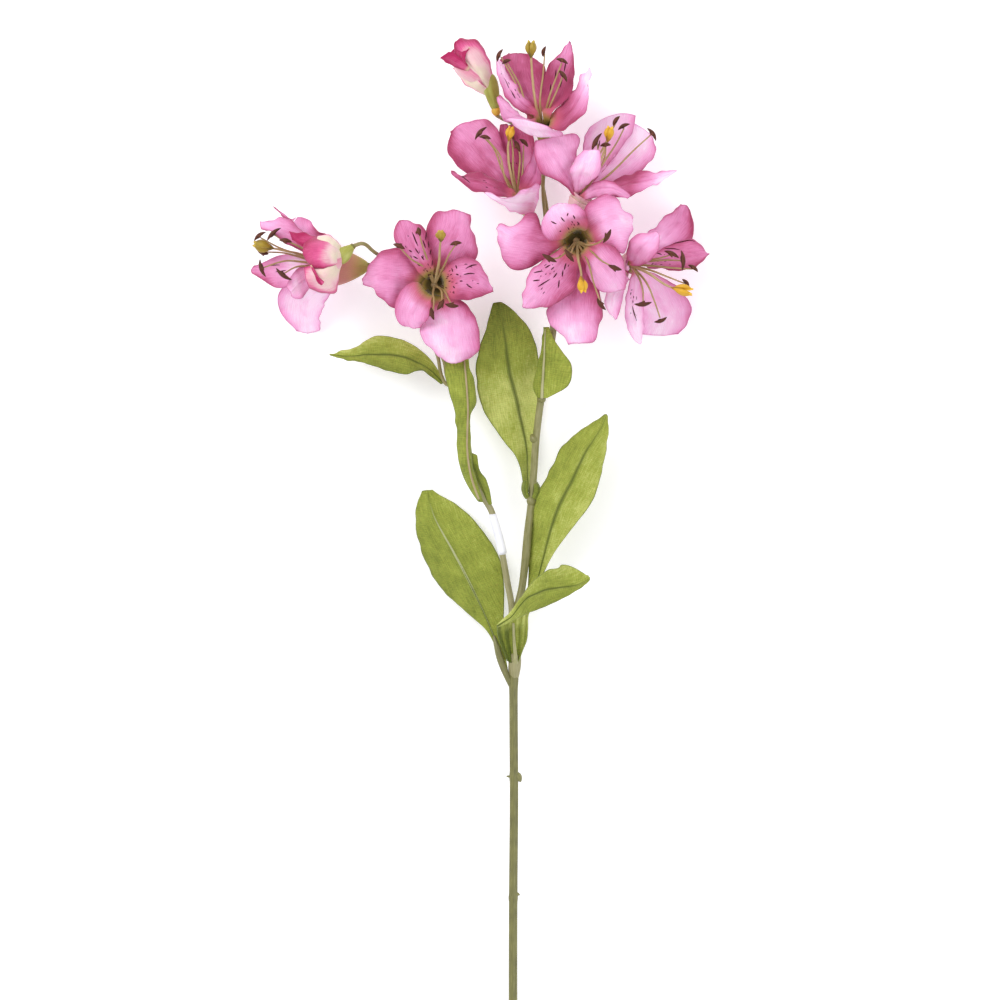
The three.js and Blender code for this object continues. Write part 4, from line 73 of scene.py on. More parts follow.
    "c1": [[[23.52,217.92,34.68],[24.53,217.6,35.43],[25.54,217.28,36.18]],[[20.46,216.85,36.6],[21.93,216.04,38.24],[24.03,215.72,39.27]],[[15.97,222.29,47.5],[18.93,223.66,45.5],[21.3,223.76,44.5]],[[15.45,226.88,45.71],[20.76,229.48,43.02],[25.51,230.13,41.34]],[[11.82,229.28,47.79],[19.13,232.57,44.28],[26.23,233.8,41.76]],[[9.01,232.63,49.07],[17.55,235.73,45.0],[26.72,237.52,41.93]],[[6.6,236.35,49.45],[16.04,238.99,45.0],[27.02,241.33,41.55]],[[4.44,240.22,49.85],[14.59,242.28,45.0],[27.13,245.14,41.15]],[[2.49,244.28,49.41],[13.28,245.67,44.55],[27.15,248.97,40.7]],[[0.76,248.57,47.79],[12.05,249.18,43.34],[26.98,252.82,39.89]],[[-0.58,252.99,46.27],[11.01,252.74,42.2],[25.85,256.47,39.13]],[[-0.6,257.67,44.07],[10.44,256.47,40.55],[23.19,259.22,38.28]],[[1.73,261.73,40.73],[10.48,260.35,38.05],[19.99,261.34,37.02]],[[5.91,263.66,38.0],[10.64,264.18,36.0],[16.55,263.0,36.0]]],
    "c3": [[[27.02,218.41,34.73],[26.12,217.82,35.45],[25.22,217.23,36.18]],[[30.2,218.22,36.75],[28.96,217.03,38.35],[27.0,216.14,39.31]],[[29.26,226.11,43.36],[29.84,223.07,44.36],[28.64,219.35,46.36]],[[31.38,228.35,43.45],[33.17,223.68,46.23],[32.28,217.37,49.57]],[[33.8,230.52,43.93],[36.7,224.71,48.66],[36.54,216.83,53.46]],[[35.99,232.92,44.34],[39.68,226.89,50.02],[40.29,218.99,55.37]],[[38.06,235.41,44.85],[42.29,229.47,51.55],[43.86,221.39,57.41]],[[40.12,237.96,45.0],[44.52,232.49,52.0],[47.34,224.08,58.0]],[[42.22,240.48,45.0],[46.31,235.84,52.0],[50.03,227.59,58.0]],[[44.25,243.06,45.0],[47.98,239.28,51.7],[51.52,231.82,57.41]],[[46.04,245.82,45.0],[49.57,242.85,50.68],[51.98,236.45,55.37]],[[47.66,248.68,45.0],[51.01,246.47,49.73],[52.16,241.08,53.53]],[[49.61,251.31,45.0],[52.11,250.32,47.79],[52.78,245.86,50.13]],[[51.81,253.75,45.0],[52.96,254.23,46.0],[53.53,250.59,47.0]]],
    "c4": [[[26.0,217.4,36.1],[24.81,217.54,35.59],[23.62,217.68,35.09]],[[25.48,215.81,39.47],[23.18,215.78,38.96],[21.27,216.29,37.68]],[[19.99,221.09,48.0],[20.59,222.95,47.0],[21.19,224.22,46.0]],[[16.95,220.74,51.07],[18.19,223.34,49.39],[18.68,223.95,48.05]],[[13.92,220.38,54.83],[15.79,223.69,52.31],[16.17,223.81,50.55]],[[10.93,220.5,57.47],[13.43,224.22,54.34],[13.69,223.92,52.2]],[[8.0,220.93,60.13],[11.09,224.83,56.23],[11.48,224.9,53.34]],[[5.01,220.82,62.96],[8.84,225.62,58.26],[9.82,226.64,54.55]],[[2.1,221.03,64.0],[6.78,226.85,59.3],[8.37,228.58,55.3]],[[0.85,223.68,64.0],[4.94,228.39,60.11],[6.87,230.48,56.11]],[[0.4,226.64,64.0],[3.26,230.1,60.87],[5.3,232.34,56.87]],[[-0.16,229.65,63.28],[1.73,232.02,60.76],[3.67,234.14,57.48]],[[-0.95,232.66,62.02],[0.28,234.04,60.34],[1.7,235.56,58.32]],[[-1.75,235.65,61.0],[-1.17,236.05,60.0],[-0.59,236.44,59.0]]],
    "c2": [[[24.84,219.31,37.14],[25.65,219.79,36.57],[26.45,220.27,35.99]],[[25.94,218.93,39.73],[27.6,219.55,39.13],[28.59,220.49,37.85]],[[24.98,227.85,45.43],[27.91,227.75,46.43],[30.26,227.07,47.43]],[[23.8,232.79,43.66],[28.14,232.15,44.66],[32.48,230.07,46.34]],[[24.18,237.04,43.24],[29.77,235.89,44.24],[36.0,232.55,46.76]],[[24.76,241.26,42.93],[31.31,239.65,43.93],[39.15,235.5,47.0]],[[25.49,245.47,42.55],[32.77,243.45,43.55],[41.8,238.92,47.0]],[[26.41,249.64,42.15],[34.12,247.3,43.15],[43.15,243.01,47.0]],[[27.48,253.8,41.55],[35.31,251.22,42.55],[43.46,247.41,46.26]],[[29.27,257.76,40.34],[36.43,255.24,41.34],[43.69,251.96,44.23]],[[32.21,260.92,39.2],[37.61,259.24,40.2],[43.8,256.51,42.34]],[[35.38,263.92,37.79],[38.86,263.27,38.55],[43.62,261.08,40.31]],[[38.14,267.39,35.71],[40.13,267.41,36.05],[42.92,265.68,37.39]],[[40.81,270.91,34.0],[41.4,271.5,34.0],[41.98,270.2,35.0]]],
    "c5": [[[23.59,219.69,36.23],[24.6,219.58,36.65],[25.61,219.47,37.07]],[[21.86,219.14,38.41],[23.32,218.69,39.48],[25.16,218.77,39.79]],[[19.71,225.99,48.56],[20.9,227.26,47.56],[22.08,228.53,46.56]],[[16.26,226.98,50.73],[18.19,229.46,49.05],[20.0,231.28,47.71]],[[12.57,227.67,54.07],[15.21,231.23,51.55],[17.64,233.58,49.79]],[[9.34,229.46,56.2],[12.45,233.35,53.2],[15.33,235.99,51.13]],[[6.67,232.06,57.34],[9.98,235.82,54.34],[13.07,238.5,51.89]],[[4.34,234.94,58.55],[7.73,238.48,55.55],[10.86,241.05,52.7]],[[2.3,238.11,58.85],[5.73,241.41,55.85],[8.78,243.76,52.85]],[[0.66,241.58,58.45],[4.07,244.61,55.45],[6.82,246.62,52.45]],[[-0.62,245.2,58.07],[2.62,247.92,55.07],[4.99,249.56,52.07]],[[-1.57,249.04,56.55],[1.27,251.34,54.04],[3.27,252.59,51.52]],[[-2.01,253.09,54.05],[0.05,254.88,52.37],[1.63,255.7,50.68]],[[-2.35,257.11,52.0],[-1.17,258.39,51.0],[0.0,258.79,50.0]]],
    "c6": [[[23.87,219.47,36.64],[24.96,219.58,36.74],[26.05,219.68,36.83]],[[23.0,218.78,39.26],[24.77,218.68,39.84],[26.57,219.12,39.57]],[[21.76,220.5,48.0],[24.11,218.15,48.0],[28.22,219.32,48.0]],[[19.74,219.95,50.39],[23.38,216.45,50.39],[29.68,217.75,50.05]],[[17.73,219.31,53.31],[22.67,214.7,53.31],[31.12,216.11,52.55]],[[15.73,218.77,55.47],[21.58,213.32,55.4],[32.62,214.61,54.34]],[[13.7,218.36,58.13],[19.97,213.17,57.68],[34.34,213.43,56.23]],[[11.69,218.32,60.96],[18.53,213.75,60.11],[36.3,212.98,58.26]],[[9.82,218.9,62.59],[17.47,214.83,61.74],[37.01,214.12,59.59]],[[8.04,219.69,64.21],[16.72,216.09,63.77],[35.33,215.13,61.21]],[[6.16,220.26,65.73],[16.09,217.42,65.66],[33.51,215.91,62.73]],[[4.2,220.64,66.24],[15.49,218.86,66.48],[31.68,216.69,63.72]],[[3.07,221.62,66.66],[15.01,220.33,67.32],[29.84,217.44,64.98]],[[4.67,222.8,67.0],[14.58,221.83,68.0],[28.01,218.23,66.0]]],
    "e1": [[[12.35,175.05,28.94],[13.26,175.32,29.84],[14.16,175.6,30.73]],[[12.66,177.75,26.33],[14.44,178.6,27.62],[15.85,178.74,29.49]],[[6.35,183.46,33.36],[7.54,188.94,31.36],[9.91,190.2,30.36]],[[0.38,182.96,36.68],[3.29,189.15,34.0],[7.23,191.72,32.32]],[[-3.96,185.65,37.52],[0.66,192.58,34.0],[6.16,196.46,31.48]],[[-8.42,188.16,38.07],[-2.02,195.96,33.93],[4.86,201.12,30.87]],[[-13.12,190.21,38.45],[-4.82,199.28,33.55],[3.29,205.72,30.11]],[[-17.84,192.2,38.85],[-7.7,202.54,33.15],[1.64,210.29,29.3]],[[-22.4,194.6,38.7],[-10.54,205.82,32.7],[0.25,214.93,28.7]],[[-26.14,198.15,37.89],[-13.24,209.27,31.89],[-1.19,219.57,27.89]],[[-29.04,202.46,37.13],[-15.9,212.74,31.13],[-4.14,223.39,27.13]],[[-31.16,207.3,35.31],[-18.73,216.09,30.28],[-8.3,225.73,27.0]],[[-30.59,212.56,32.39],[-21.79,219.27,29.02],[-13.06,225.62,27.0]],[[-28.44,217.45,30.0],[-24.91,222.38,28.0],[-17.8,224.84,27.0]]],
    "e3": [[[12.77,173.48,32.02],[13.49,174.46,31.54],[14.21,175.43,31.07]],[[13.91,173.04,35.58],[15.46,174.76,35.16],[16.45,176.49,33.9]],[[20.08,170.06,38.0],[21.24,172.87,40.0],[22.4,176.85,42.0]],[[17.38,168.62,39.79],[19.31,174.88,42.68],[23.01,180.63,45.57]],[[14.39,168.28,41.73],[16.38,174.66,45.6],[23.55,184.37,49.46]],[[11.42,168.58,43.37],[13.45,174.11,47.37],[21.2,185.98,51.37]],[[8.58,169.38,45.41],[10.49,173.99,49.41],[17.66,183.76,53.41]],[[5.87,170.52,47.21],[7.55,174.12,50.96],[14.05,181.77,54.48]],[[3.23,171.73,49.79],[4.66,174.56,53.04],[10.43,179.79,55.52]],[[0.68,173.13,51.59],[1.86,175.37,54.3],[6.72,178.04,56.15]],[[-1.8,174.63,53.63],[-0.88,176.37,55.32],[2.85,176.85,56.66]],[[-4.26,176.2,55.13],[-3.57,177.5,56.07],[-1.13,177.61,57.0]],[[-6.67,177.86,56.11],[-6.18,178.8,56.55],[-4.96,179.0,57.0]],[[-9.08,179.53,57.0],[-8.79,180.12,57.0],[-8.79,180.41,57.0]]],
    "e6": [[[12.7,175.33,29.01],[13.45,175.36,30.07],[14.21,175.39,31.13]],[[13.71,178.33,26.97],[15.31,178.77,28.65],[16.38,178.45,30.72]],[[11.85,186.05,30.0],[13.04,187.23,30.0],[14.81,187.23,30.0]],[[11.33,189.42,28.63],[13.09,190.59,28.29],[15.81,190.43,28.63]],[[10.82,192.83,26.96],[13.14,193.99,26.21],[16.81,193.66,26.96]],[[10.26,196.2,25.73],[13.05,197.34,24.73],[17.75,196.88,25.8]],[[9.62,199.58,24.21],[12.78,200.69,23.21],[18.66,200.1,24.66]],[[8.92,202.96,22.59],[12.42,204.05,21.59],[19.52,203.34,23.45]],[[8.18,206.27,21.7],[12.01,207.35,20.55],[20.17,206.61,22.55]],[[7.37,209.56,20.89],[11.59,210.67,19.34],[20.58,209.95,21.34]],[[6.43,212.82,20.13],[11.07,213.97,18.2],[20.63,213.31,20.2]],[[5.5,216.06,19.52],[10.3,217.18,17.52],[19.76,216.51,19.28]],[[4.77,219.38,18.68],[9.34,220.35,16.68],[17.72,219.15,18.02]],[[4.17,222.72,18.0],[8.34,223.5,16.0],[15.49,221.62,17.0]]],
    "e2": [[[12.41,176.28,32.55],[11.58,175.58,32.41],[10.74,174.89,32.28]],[[12.87,176.29,35.35],[11.59,174.95,35.58],[10.13,174.0,34.9]],[[8.29,182.82,40.17],[7.11,179.21,41.17],[7.7,177.36,42.17]],[[5.1,184.67,41.02],[3.94,180.75,42.71],[4.16,177.94,44.39]],[[1.92,186.4,42.28],[0.79,182.17,44.79],[0.69,178.46,47.31]],[[-1.31,188.05,43.07],[-2.38,183.58,46.13],[-2.77,179.15,49.13]],[[-4.58,189.66,43.45],[-5.57,184.99,46.89],[-6.23,179.85,49.89]],[[-7.91,191.14,43.85],[-8.82,186.22,47.7],[-9.73,180.35,50.7]],[[-11.35,192.37,44.0],[-12.22,187.05,48.0],[-13.23,180.92,51.0]],[[-14.92,193.13,44.0],[-15.68,187.64,48.0],[-16.6,181.99,51.0]],[[-18.54,192.82,44.0],[-19.04,188.64,48.0],[-19.62,183.83,51.0]],[[-22.0,191.63,44.24],[-22.32,189.94,47.52],[-22.42,186.1,50.04]],[[-25.57,191.83,44.66],[-25.58,191.35,46.68],[-25.05,188.64,48.37]],[[-28.85,193.4,45.0],[-28.84,192.73,46.0],[-27.65,191.18,47.0]]],
    "e4": [[[11.98,175.69,32.85],[12.16,176.39,32.01],[12.33,177.08,31.18]],[[13.31,176.89,35.05],[13.98,178.23,33.94],[13.88,179.17,32.32]],[[11.21,183.49,40.0],[14.17,183.06,38.0],[15.96,181.44,36.0]],[[11.52,185.74,41.02],[15.73,185.07,38.34],[18.71,182.32,36.0]],[[11.83,187.98,42.28],[17.27,187.09,38.76],[21.37,183.43,36.0]],[[12.34,190.21,43.07],[18.77,189.14,39.07],[23.38,185.49,36.07]],[[13.31,192.31,43.45],[20.17,191.26,39.45],[24.59,188.08,36.45]],[[14.56,194.27,43.85],[21.05,193.63,39.85],[24.96,190.9,36.85]],[[15.72,196.32,43.7],[21.59,196.14,39.85],[24.74,193.78,37.0]],[[16.85,198.45,42.89],[21.82,198.72,39.45],[24.33,196.64,37.0]],[[17.89,200.63,42.13],[21.74,201.32,39.07],[23.82,199.49,37.0]],[[18.65,202.95,41.04],[21.43,203.94,38.28],[23.19,202.35,36.52]],[[19.09,205.41,39.37],[21.05,206.58,37.02],[22.53,205.24,35.68]],[[19.49,207.86,38.0],[20.68,209.21,36.0],[21.88,208.12,35.0]]],
    "e5": [[[11.57,176.89,30.35],[12.04,176.72,31.33],[12.52,176.54,32.3]],[[12.4,179.5,29.62],[13.51,179.59,31.12],[13.96,178.94,32.81]],[[9.11,185.99,33.93],[10.29,186.58,33.93],[12.65,185.4,33.93]],[[7.27,188.88,32.63],[8.91,189.61,32.63],[12.51,188.72,32.98]],[[5.66,192.06,30.96],[7.76,192.93,30.96],[12.6,192.32,31.72]],[[4.25,195.3,29.8],[6.68,196.23,29.8],[12.51,195.89,30.8]],[[3.08,198.64,28.66],[5.69,199.57,28.66],[12.04,199.46,29.66]],[[2.06,202.04,27.45],[4.76,202.93,27.45],[11.32,202.99,28.45]],[[1.15,205.43,26.7],[3.9,206.28,26.7],[10.42,206.44,27.7]],[[0.34,208.86,25.89],[3.13,209.65,25.89],[9.29,209.83,26.89]],[[-0.26,212.33,25.13],[2.56,213.06,25.13],[7.82,213.08,26.13]],[[-0.58,215.83,24.52],[2.3,216.5,24.52],[6.62,216.44,25.52]],[[-0.44,219.35,23.68],[2.32,219.98,23.68],[5.67,219.89,24.68]],[[0.0,222.84,23.0],[2.38,223.44,23.0],[4.75,223.34,24.0]]],
    "f1": [[[47.22,178.1,36.04],[46.58,178.79,35.15],[45.94,179.48,34.25]],[[45.48,178.83,39.3],[44.0,180.17,38.06],[43.22,181.28,36.14]],[[42.43,180.09,41.61],[43.62,183.12,40.61],[44.84,185.04,38.61]],[[40.53,182.78,42.71],[42.63,185.47,42.05],[44.63,187.86,39.37]],[[37.66,185.31,44.79],[41.0,187.99,44.55],[43.77,190.87,41.04]],[[34.45,187.47,46.2],[39.36,190.55,46.27],[43.1,193.95,42.2]],[[30.85,188.91,47.34],[37.66,193.09,47.79],[42.9,197.09,43.34]],[[27.05,189.79,48.55],[35.98,195.63,49.41],[43.29,200.2,44.55]],[[24.14,192.28,49.3],[34.39,198.28,50.15],[44.28,203.2,45.3]],[[22.24,195.63,50.11],[32.84,200.98,50.55],[45.76,206.01,46.11]],[[20.88,199.23,50.87],[31.41,203.75,50.93],[46.87,208.97,46.87]],[[20.11,203.09,50.52],[30.22,206.7,50.28],[47.31,212.16,46.76]],[[20.04,207.06,49.68],[29.22,209.79,49.02],[45.27,214.51,46.34]],[[20.57,211.0,49.0],[28.22,212.86,48.0],[42.37,215.98,46.0]]],
    "f3": [[[46.83,179.34,32.88],[47.84,178.58,33.21],[48.84,177.82,33.54]],[[47.59,180.55,29.39],[49.55,179.24,29.51],[51.15,177.87,30.56]],[[51.75,184.88,29.17],[52.95,183.18,28.17],[53.54,181.41,28.17]],[[53.14,188.11,31.98],[55.21,185.89,30.63],[56.85,182.77,30.63]],[[55.98,191.61,30.72],[58.93,188.86,28.96],[61.59,184.47,28.96]],[[58.85,195.07,29.8],[62.73,191.69,27.73],[66.23,186.4,27.8]],[[61.82,198.46,28.66],[66.71,194.3,26.21],[70.8,188.52,26.66]],[[64.86,201.81,27.45],[70.66,196.98,24.59],[75.3,190.79,25.45]],[[67.81,205.21,26.55],[74.32,200.0,23.41],[79.77,193.08,24.55]],[[70.49,208.86,25.34],[77.79,203.31,21.79],[84.03,195.81,23.34]],[[72.87,212.72,24.2],[81.01,206.87,20.27],[87.75,199.24,22.2]],[[75.09,216.69,23.04],[83.78,210.76,19.04],[90.85,203.23,21.28]],[[77.16,220.78,21.37],[86.03,215.04,17.37],[92.34,208.03,20.02]],[[79.13,224.91,20.0],[88.21,219.33,16.0],[92.26,213.1,19.0]]],
    "f5": [[[46.35,178.76,35.72],[47.45,178.12,35.47],[48.56,177.48,35.22]],[[45.88,178.52,39.45],[47.85,177.23,39.48],[49.78,176.26,38.56]],[[50.66,182.56,44.08],[50.09,179.7,43.08],[49.54,176.9,41.08]],[[52.49,184.53,46.73],[52.26,180.86,45.73],[51.8,177.37,43.39]],[[54.67,186.02,50.07],[54.43,181.94,49.07],[54.04,177.77,46.31]],[[57.18,187.1,52.34],[56.79,182.72,51.4],[56.32,178.12,48.34]],[[59.89,187.67,54.23],[59.3,182.97,53.68],[58.64,178.28,50.23]],[[62.67,187.25,56.26],[61.84,182.87,56.11],[60.97,178.31,52.26]],[[65.37,186.31,57.45],[64.4,182.65,57.45],[63.31,178.32,53.59]],[[67.99,185.18,58.66],[66.93,182.16,58.66],[65.64,178.3,55.21]],[[70.47,183.74,59.8],[69.35,181.23,59.8],[67.98,178.17,56.73]],[[72.71,181.99,59.76],[71.64,180.01,59.76],[70.32,177.88,57.24]],[[74.7,179.97,59.34],[73.86,178.67,59.34],[72.64,177.37,57.66]],[[76.67,177.92,59.0],[76.08,177.33,59.0],[74.94,176.82,58.0]]],
    "f2": [[[47.43,181.22,34.68],[48.28,180.85,34.1],[49.14,180.47,33.52]],[[46.47,183.43,33.18],[47.7,183.05,31.82],[49.27,182.2,31.27]],[[46.92,185.82,32.71],[48.74,187.16,30.71],[51.13,186.05,29.71]],[[48.06,187.86,34.66],[51.44,189.7,31.98],[55.28,188.3,30.98]],[[48.24,191.26,34.24],[53.18,193.61,30.72],[58.48,191.92,29.72]],[[48.42,194.66,33.87],[54.85,197.54,29.8],[61.61,195.57,28.87]],[[48.61,198.09,33.11],[56.41,201.52,28.66],[64.66,199.27,28.11]],[[48.8,201.53,32.3],[57.96,205.53,27.45],[67.66,203.03,27.3]],[[49.0,204.96,31.55],[59.61,209.46,26.55],[70.58,206.83,26.7]],[[49.22,208.44,30.34],[61.54,213.3,25.34],[73.43,210.71,25.89]],[[49.34,211.91,29.2],[63.5,217.13,24.2],[76.18,214.66,25.13]],[[50.03,215.29,28.28],[65.11,221.09,23.28],[78.53,218.87,24.28]],[[51.64,218.39,27.02],[66.47,225.19,22.02],[79.93,223.53,23.02]],[[53.41,221.38,26.0],[67.8,229.28,21.0],[80.85,228.29,22.0]]],
    "f4": [[[47.38,181.02,35.4],[48.18,180.38,35.81],[48.97,179.74,36.21]],[[46.19,182.19,37.7],[47.27,181.15,38.81],[48.79,180.09,39.02]],[[44.21,181.57,42.0],[45.98,181.57,42.0],[48.32,182.67,43.0]],[[43.47,183.88,44.73],[46.2,183.72,45.42],[50.06,184.23,46.76]],[[42.73,186.14,48.07],[46.39,185.81,49.59],[51.76,185.72,51.35]],[[42.21,188.52,50.34],[46.72,187.98,52.47],[53.55,187.28,54.4]],[[41.75,190.95,52.23],[47.32,190.1,55.13],[55.58,188.61,56.68]],[[41.44,193.37,54.26],[48.16,192.12,57.96],[57.71,189.76,59.11]],[[41.64,195.86,55.45],[49.16,194.19,59.45],[58.89,191.88,60.3]],[[42.74,198.09,56.66],[50.16,196.28,60.66],[59.1,194.38,61.11]],[[44.35,200.02,57.8],[51.21,198.35,61.8],[59.04,196.89,61.87]],[[46.13,201.84,58.48],[52.32,200.48,62.0],[58.96,199.45,62.0]],[[48.17,203.35,59.32],[53.36,202.67,62.0],[58.71,202.01,62.0]],[[50.31,204.75,60.0],[54.36,204.87,62.0],[58.45,204.58,62.0]]],
    "f7": [[[49.83,179.52,35.14],[48.97,179.89,35.72],[48.12,180.27,36.31]],[[51.74,178.77,37.1],[50.51,179.15,38.46],[48.94,179.99,39.01]],[[52.36,181.33,38.93],[52.32,179.4,40.93],[52.27,177.48,42.93]],[[56.41,183.4,38.89],[56.66,181.13,41.79],[56.38,178.12,44.68]],[[60.81,185.03,39.87],[61.38,182.31,43.73],[60.87,178.15,47.6]],[[65.05,187.07,40.34],[66.08,183.67,44.68],[65.39,178.03,49.02]],[[69.23,189.24,40.85],[70.77,185.08,45.7],[69.91,177.71,50.55]],[[73.55,191.13,41.24],[75.56,186.26,46.0],[74.45,177.85,50.76]],[[77.96,192.76,41.76],[80.44,187.02,46.0],[78.84,179.15,50.24]],[[82.52,193.94,42.0],[85.34,187.76,45.7],[82.92,181.29,49.41]],[[87.23,193.74,42.0],[90.23,188.81,44.68],[87.06,183.52,47.37]],[[91.95,193.38,41.87],[95.0,190.32,43.73],[91.1,185.91,45.66]],[[96.71,193.72,40.89],[99.72,192.21,41.79],[95.1,188.48,43.23]],[[101.48,194.11,40.0],[104.43,194.11,40.0],[99.08,191.08,41.0]]],
    "g1": [[[73.62,141.24,33.51],[73.73,140.39,32.54],[73.85,139.54,31.56]],[[74.85,144.53,32.13],[75.17,143.4,30.1],[75.26,141.52,28.68]],[[80.51,145.63,32.0],[82.95,144.57,30.0],[84.17,142.85,29.0]],[[82.09,149.05,30.98],[86.12,146.84,28.29],[88.88,143.65,27.29]],[[83.68,152.48,29.72],[89.3,149.16,26.21],[93.54,144.78,25.21]],[[85.64,155.68,28.87],[92.37,151.55,24.73],[97.87,146.81,23.73]],[[88.15,158.46,28.11],[95.38,154.04,23.21],[102.07,149.15,22.21]],[[90.92,161.0,27.3],[98.31,156.65,21.59],[106.55,150.86,20.59]],[[93.6,163.65,26.26],[101.07,159.38,20.41],[111.12,152.23,19.55]],[[96.22,166.49,24.23],[103.75,162.26,18.79],[114.37,155.59,18.34]],[[98.94,169.22,22.34],[106.23,165.32,17.27],[115.48,160.24,17.2]],[[101.97,171.64,20.07],[108.25,168.68,15.79],[115.44,165.02,16.04]],[[105.27,173.84,16.73],[109.7,172.39,13.71],[114.22,169.67,14.37]],[[108.56,175.97,14.0],[111.04,176.11,12.0],[112.79,174.25,13.0]]],
    "g4": [[[73.4,137.85,32.64],[73.64,139.05,32.19],[73.89,140.24,31.74]],[[74.27,135.52,29.81],[74.79,137.45,28.56],[75.15,139.75,28.22]],[[78.28,133.42,28.0],[82.46,135.26,27.0],[84.21,136.39,28.0]],[[79.2,130.42,25.95],[85.07,132.38,24.27],[89.24,135.06,25.95]],[[80.14,127.43,23.45],[87.71,129.53,20.93],[94.2,133.49,23.45]],[[80.98,124.39,21.53],[90.24,126.56,18.53],[98.84,131.16,21.66]],[[81.82,121.36,18.87],[92.68,123.51,15.87],[103.22,128.39,19.77]],[[82.56,118.32,16.04],[95.01,120.38,13.04],[107.22,125.1,17.74]],[[82.99,115.2,13.96],[97.08,117.06,10.96],[110.73,121.32,16.11]],[[83.06,112.08,11.13],[99.05,113.69,8.13],[113.35,116.92,13.68]],[[83.06,108.94,8.47],[100.43,110.06,5.47],[114.07,111.9,11.4]],[[83.35,105.76,6.91],[100.4,106.19,3.79],[113.16,106.91,9.55]],[[83.9,102.61,5.04],[99.44,102.45,1.71],[110.03,103.05,7.05]],[[84.48,99.45,3.5],[98.4,98.7,0.0],[105.98,99.99,5.0]]],
    "g6": [[[73.01,138.8,34.85],[73.23,138.37,33.64],[73.45,137.95,32.44]],[[72.66,135.7,36.96],[72.96,134.47,34.98],[73.45,134.18,32.69]],[[74.19,132.77,36.44],[75.38,131.59,36.44],[76.56,130.4,36.44]],[[71.7,132.69,37.02],[73.74,130.97,37.37],[75.74,129.59,37.37]],[[68.97,131.17,38.28],[71.84,128.95,39.04],[74.65,127.36,39.04]],[[66.59,129.15,39.13],[70.17,126.78,40.13],[73.75,125.1,40.13]],[[64.62,126.75,39.89],[68.82,124.42,40.89],[73.13,122.77,40.89]],[[63.05,124.06,40.7],[67.67,121.95,41.7],[72.63,120.4,41.7]],[[62.15,121.13,41.0],[66.73,119.44,42.0],[72.19,118.06,42.0]],[[61.93,118.07,41.0],[66.09,116.85,42.0],[71.71,115.74,42.0]],[[62.34,115.04,41.0],[65.95,114.18,42.0],[71.24,113.42,42.0]],[[63.57,112.25,40.76],[66.32,111.56,41.52],[70.67,111.15,41.52]],[[65.4,109.81,40.34],[67.07,109.03,40.68],[69.88,108.96,40.68]],[[67.26,107.38,40.0],[67.85,106.49,40.0],[69.03,106.79,40.0]]],
    "g2": [[[75.8,140.68,34.05],[75.91,139.99,33.2],[76.02,139.31,32.35]],[[77.2,143.02,33.25],[77.49,142.28,31.56],[77.56,140.77,30.46]],[[83.81,145.27,30.51],[84.37,143.43,31.51],[84.33,141.01,32.51]],[[86.7,144.03,30.95],[87.13,140.66,32.98],[87.24,137.33,35.0]],[[90.58,146.08,28.45],[90.87,141.15,31.72],[91.11,136.91,35.0]],[[94.41,148.1,26.8],[94.59,141.71,30.87],[94.99,136.55,35.0]],[[98.2,150.16,25.66],[98.29,142.38,30.11],[98.88,136.28,35.0]],[[102.06,152.1,24.45],[101.99,143.07,29.3],[102.77,136.08,35.0]],[[106.04,153.68,23.7],[105.7,143.63,28.85],[106.68,135.92,34.7]],[[110.14,154.93,22.89],[109.42,144.07,28.45],[110.6,135.74,33.89]],[[114.36,154.79,22.13],[113.14,144.48,28.07],[114.28,137.02,33.13]],[[117.81,152.36,22.48],[116.87,144.94,27.52],[117.41,139.51,31.79]],[[121.05,149.62,23.32],[120.61,145.47,26.68],[120.56,142.07,29.71]],[[124.15,146.72,24.0],[124.34,146.0,26.0],[123.64,144.69,28.0]]],
    "g5": [[[75.44,137.78,34.06],[75.71,138.41,33.2],[75.98,139.05,32.35]],[[76.22,135.17,33.28],[76.69,135.8,31.58],[77.12,137.24,30.47]],[[78.18,133.91,31.84],[79.99,133.38,30.84],[81.8,132.84,29.84]],[[77.25,131.95,33.0],[79.68,131.1,31.66],[82.68,130.86,29.98]],[[76.39,128.4,33.0],[79.45,127.22,31.24],[83.62,127.29,28.72]],[[75.61,124.83,32.93],[79.21,123.34,30.87],[84.36,123.65,27.8]],[[74.85,121.27,32.55],[78.92,119.48,30.11],[84.95,120.0,26.66]],[[74.22,117.69,32.15],[78.82,115.61,29.3],[85.37,116.32,25.45]],[[73.95,114.07,31.55],[79.05,111.74,28.55],[85.52,112.61,24.55]],[[74.01,110.47,30.34],[79.55,107.92,27.34],[85.4,108.91,23.34]],[[74.42,106.88,29.2],[80.17,104.1,26.2],[85.17,105.21,22.2]],[[75.36,103.39,27.79],[80.93,100.29,25.04],[85.01,101.48,21.52]],[[76.86,100.1,25.71],[81.79,96.53,23.37],[85.03,97.75,20.68]],[[78.41,96.82,24.0],[82.64,92.74,22.0],[85.08,94.01,20.0]]],
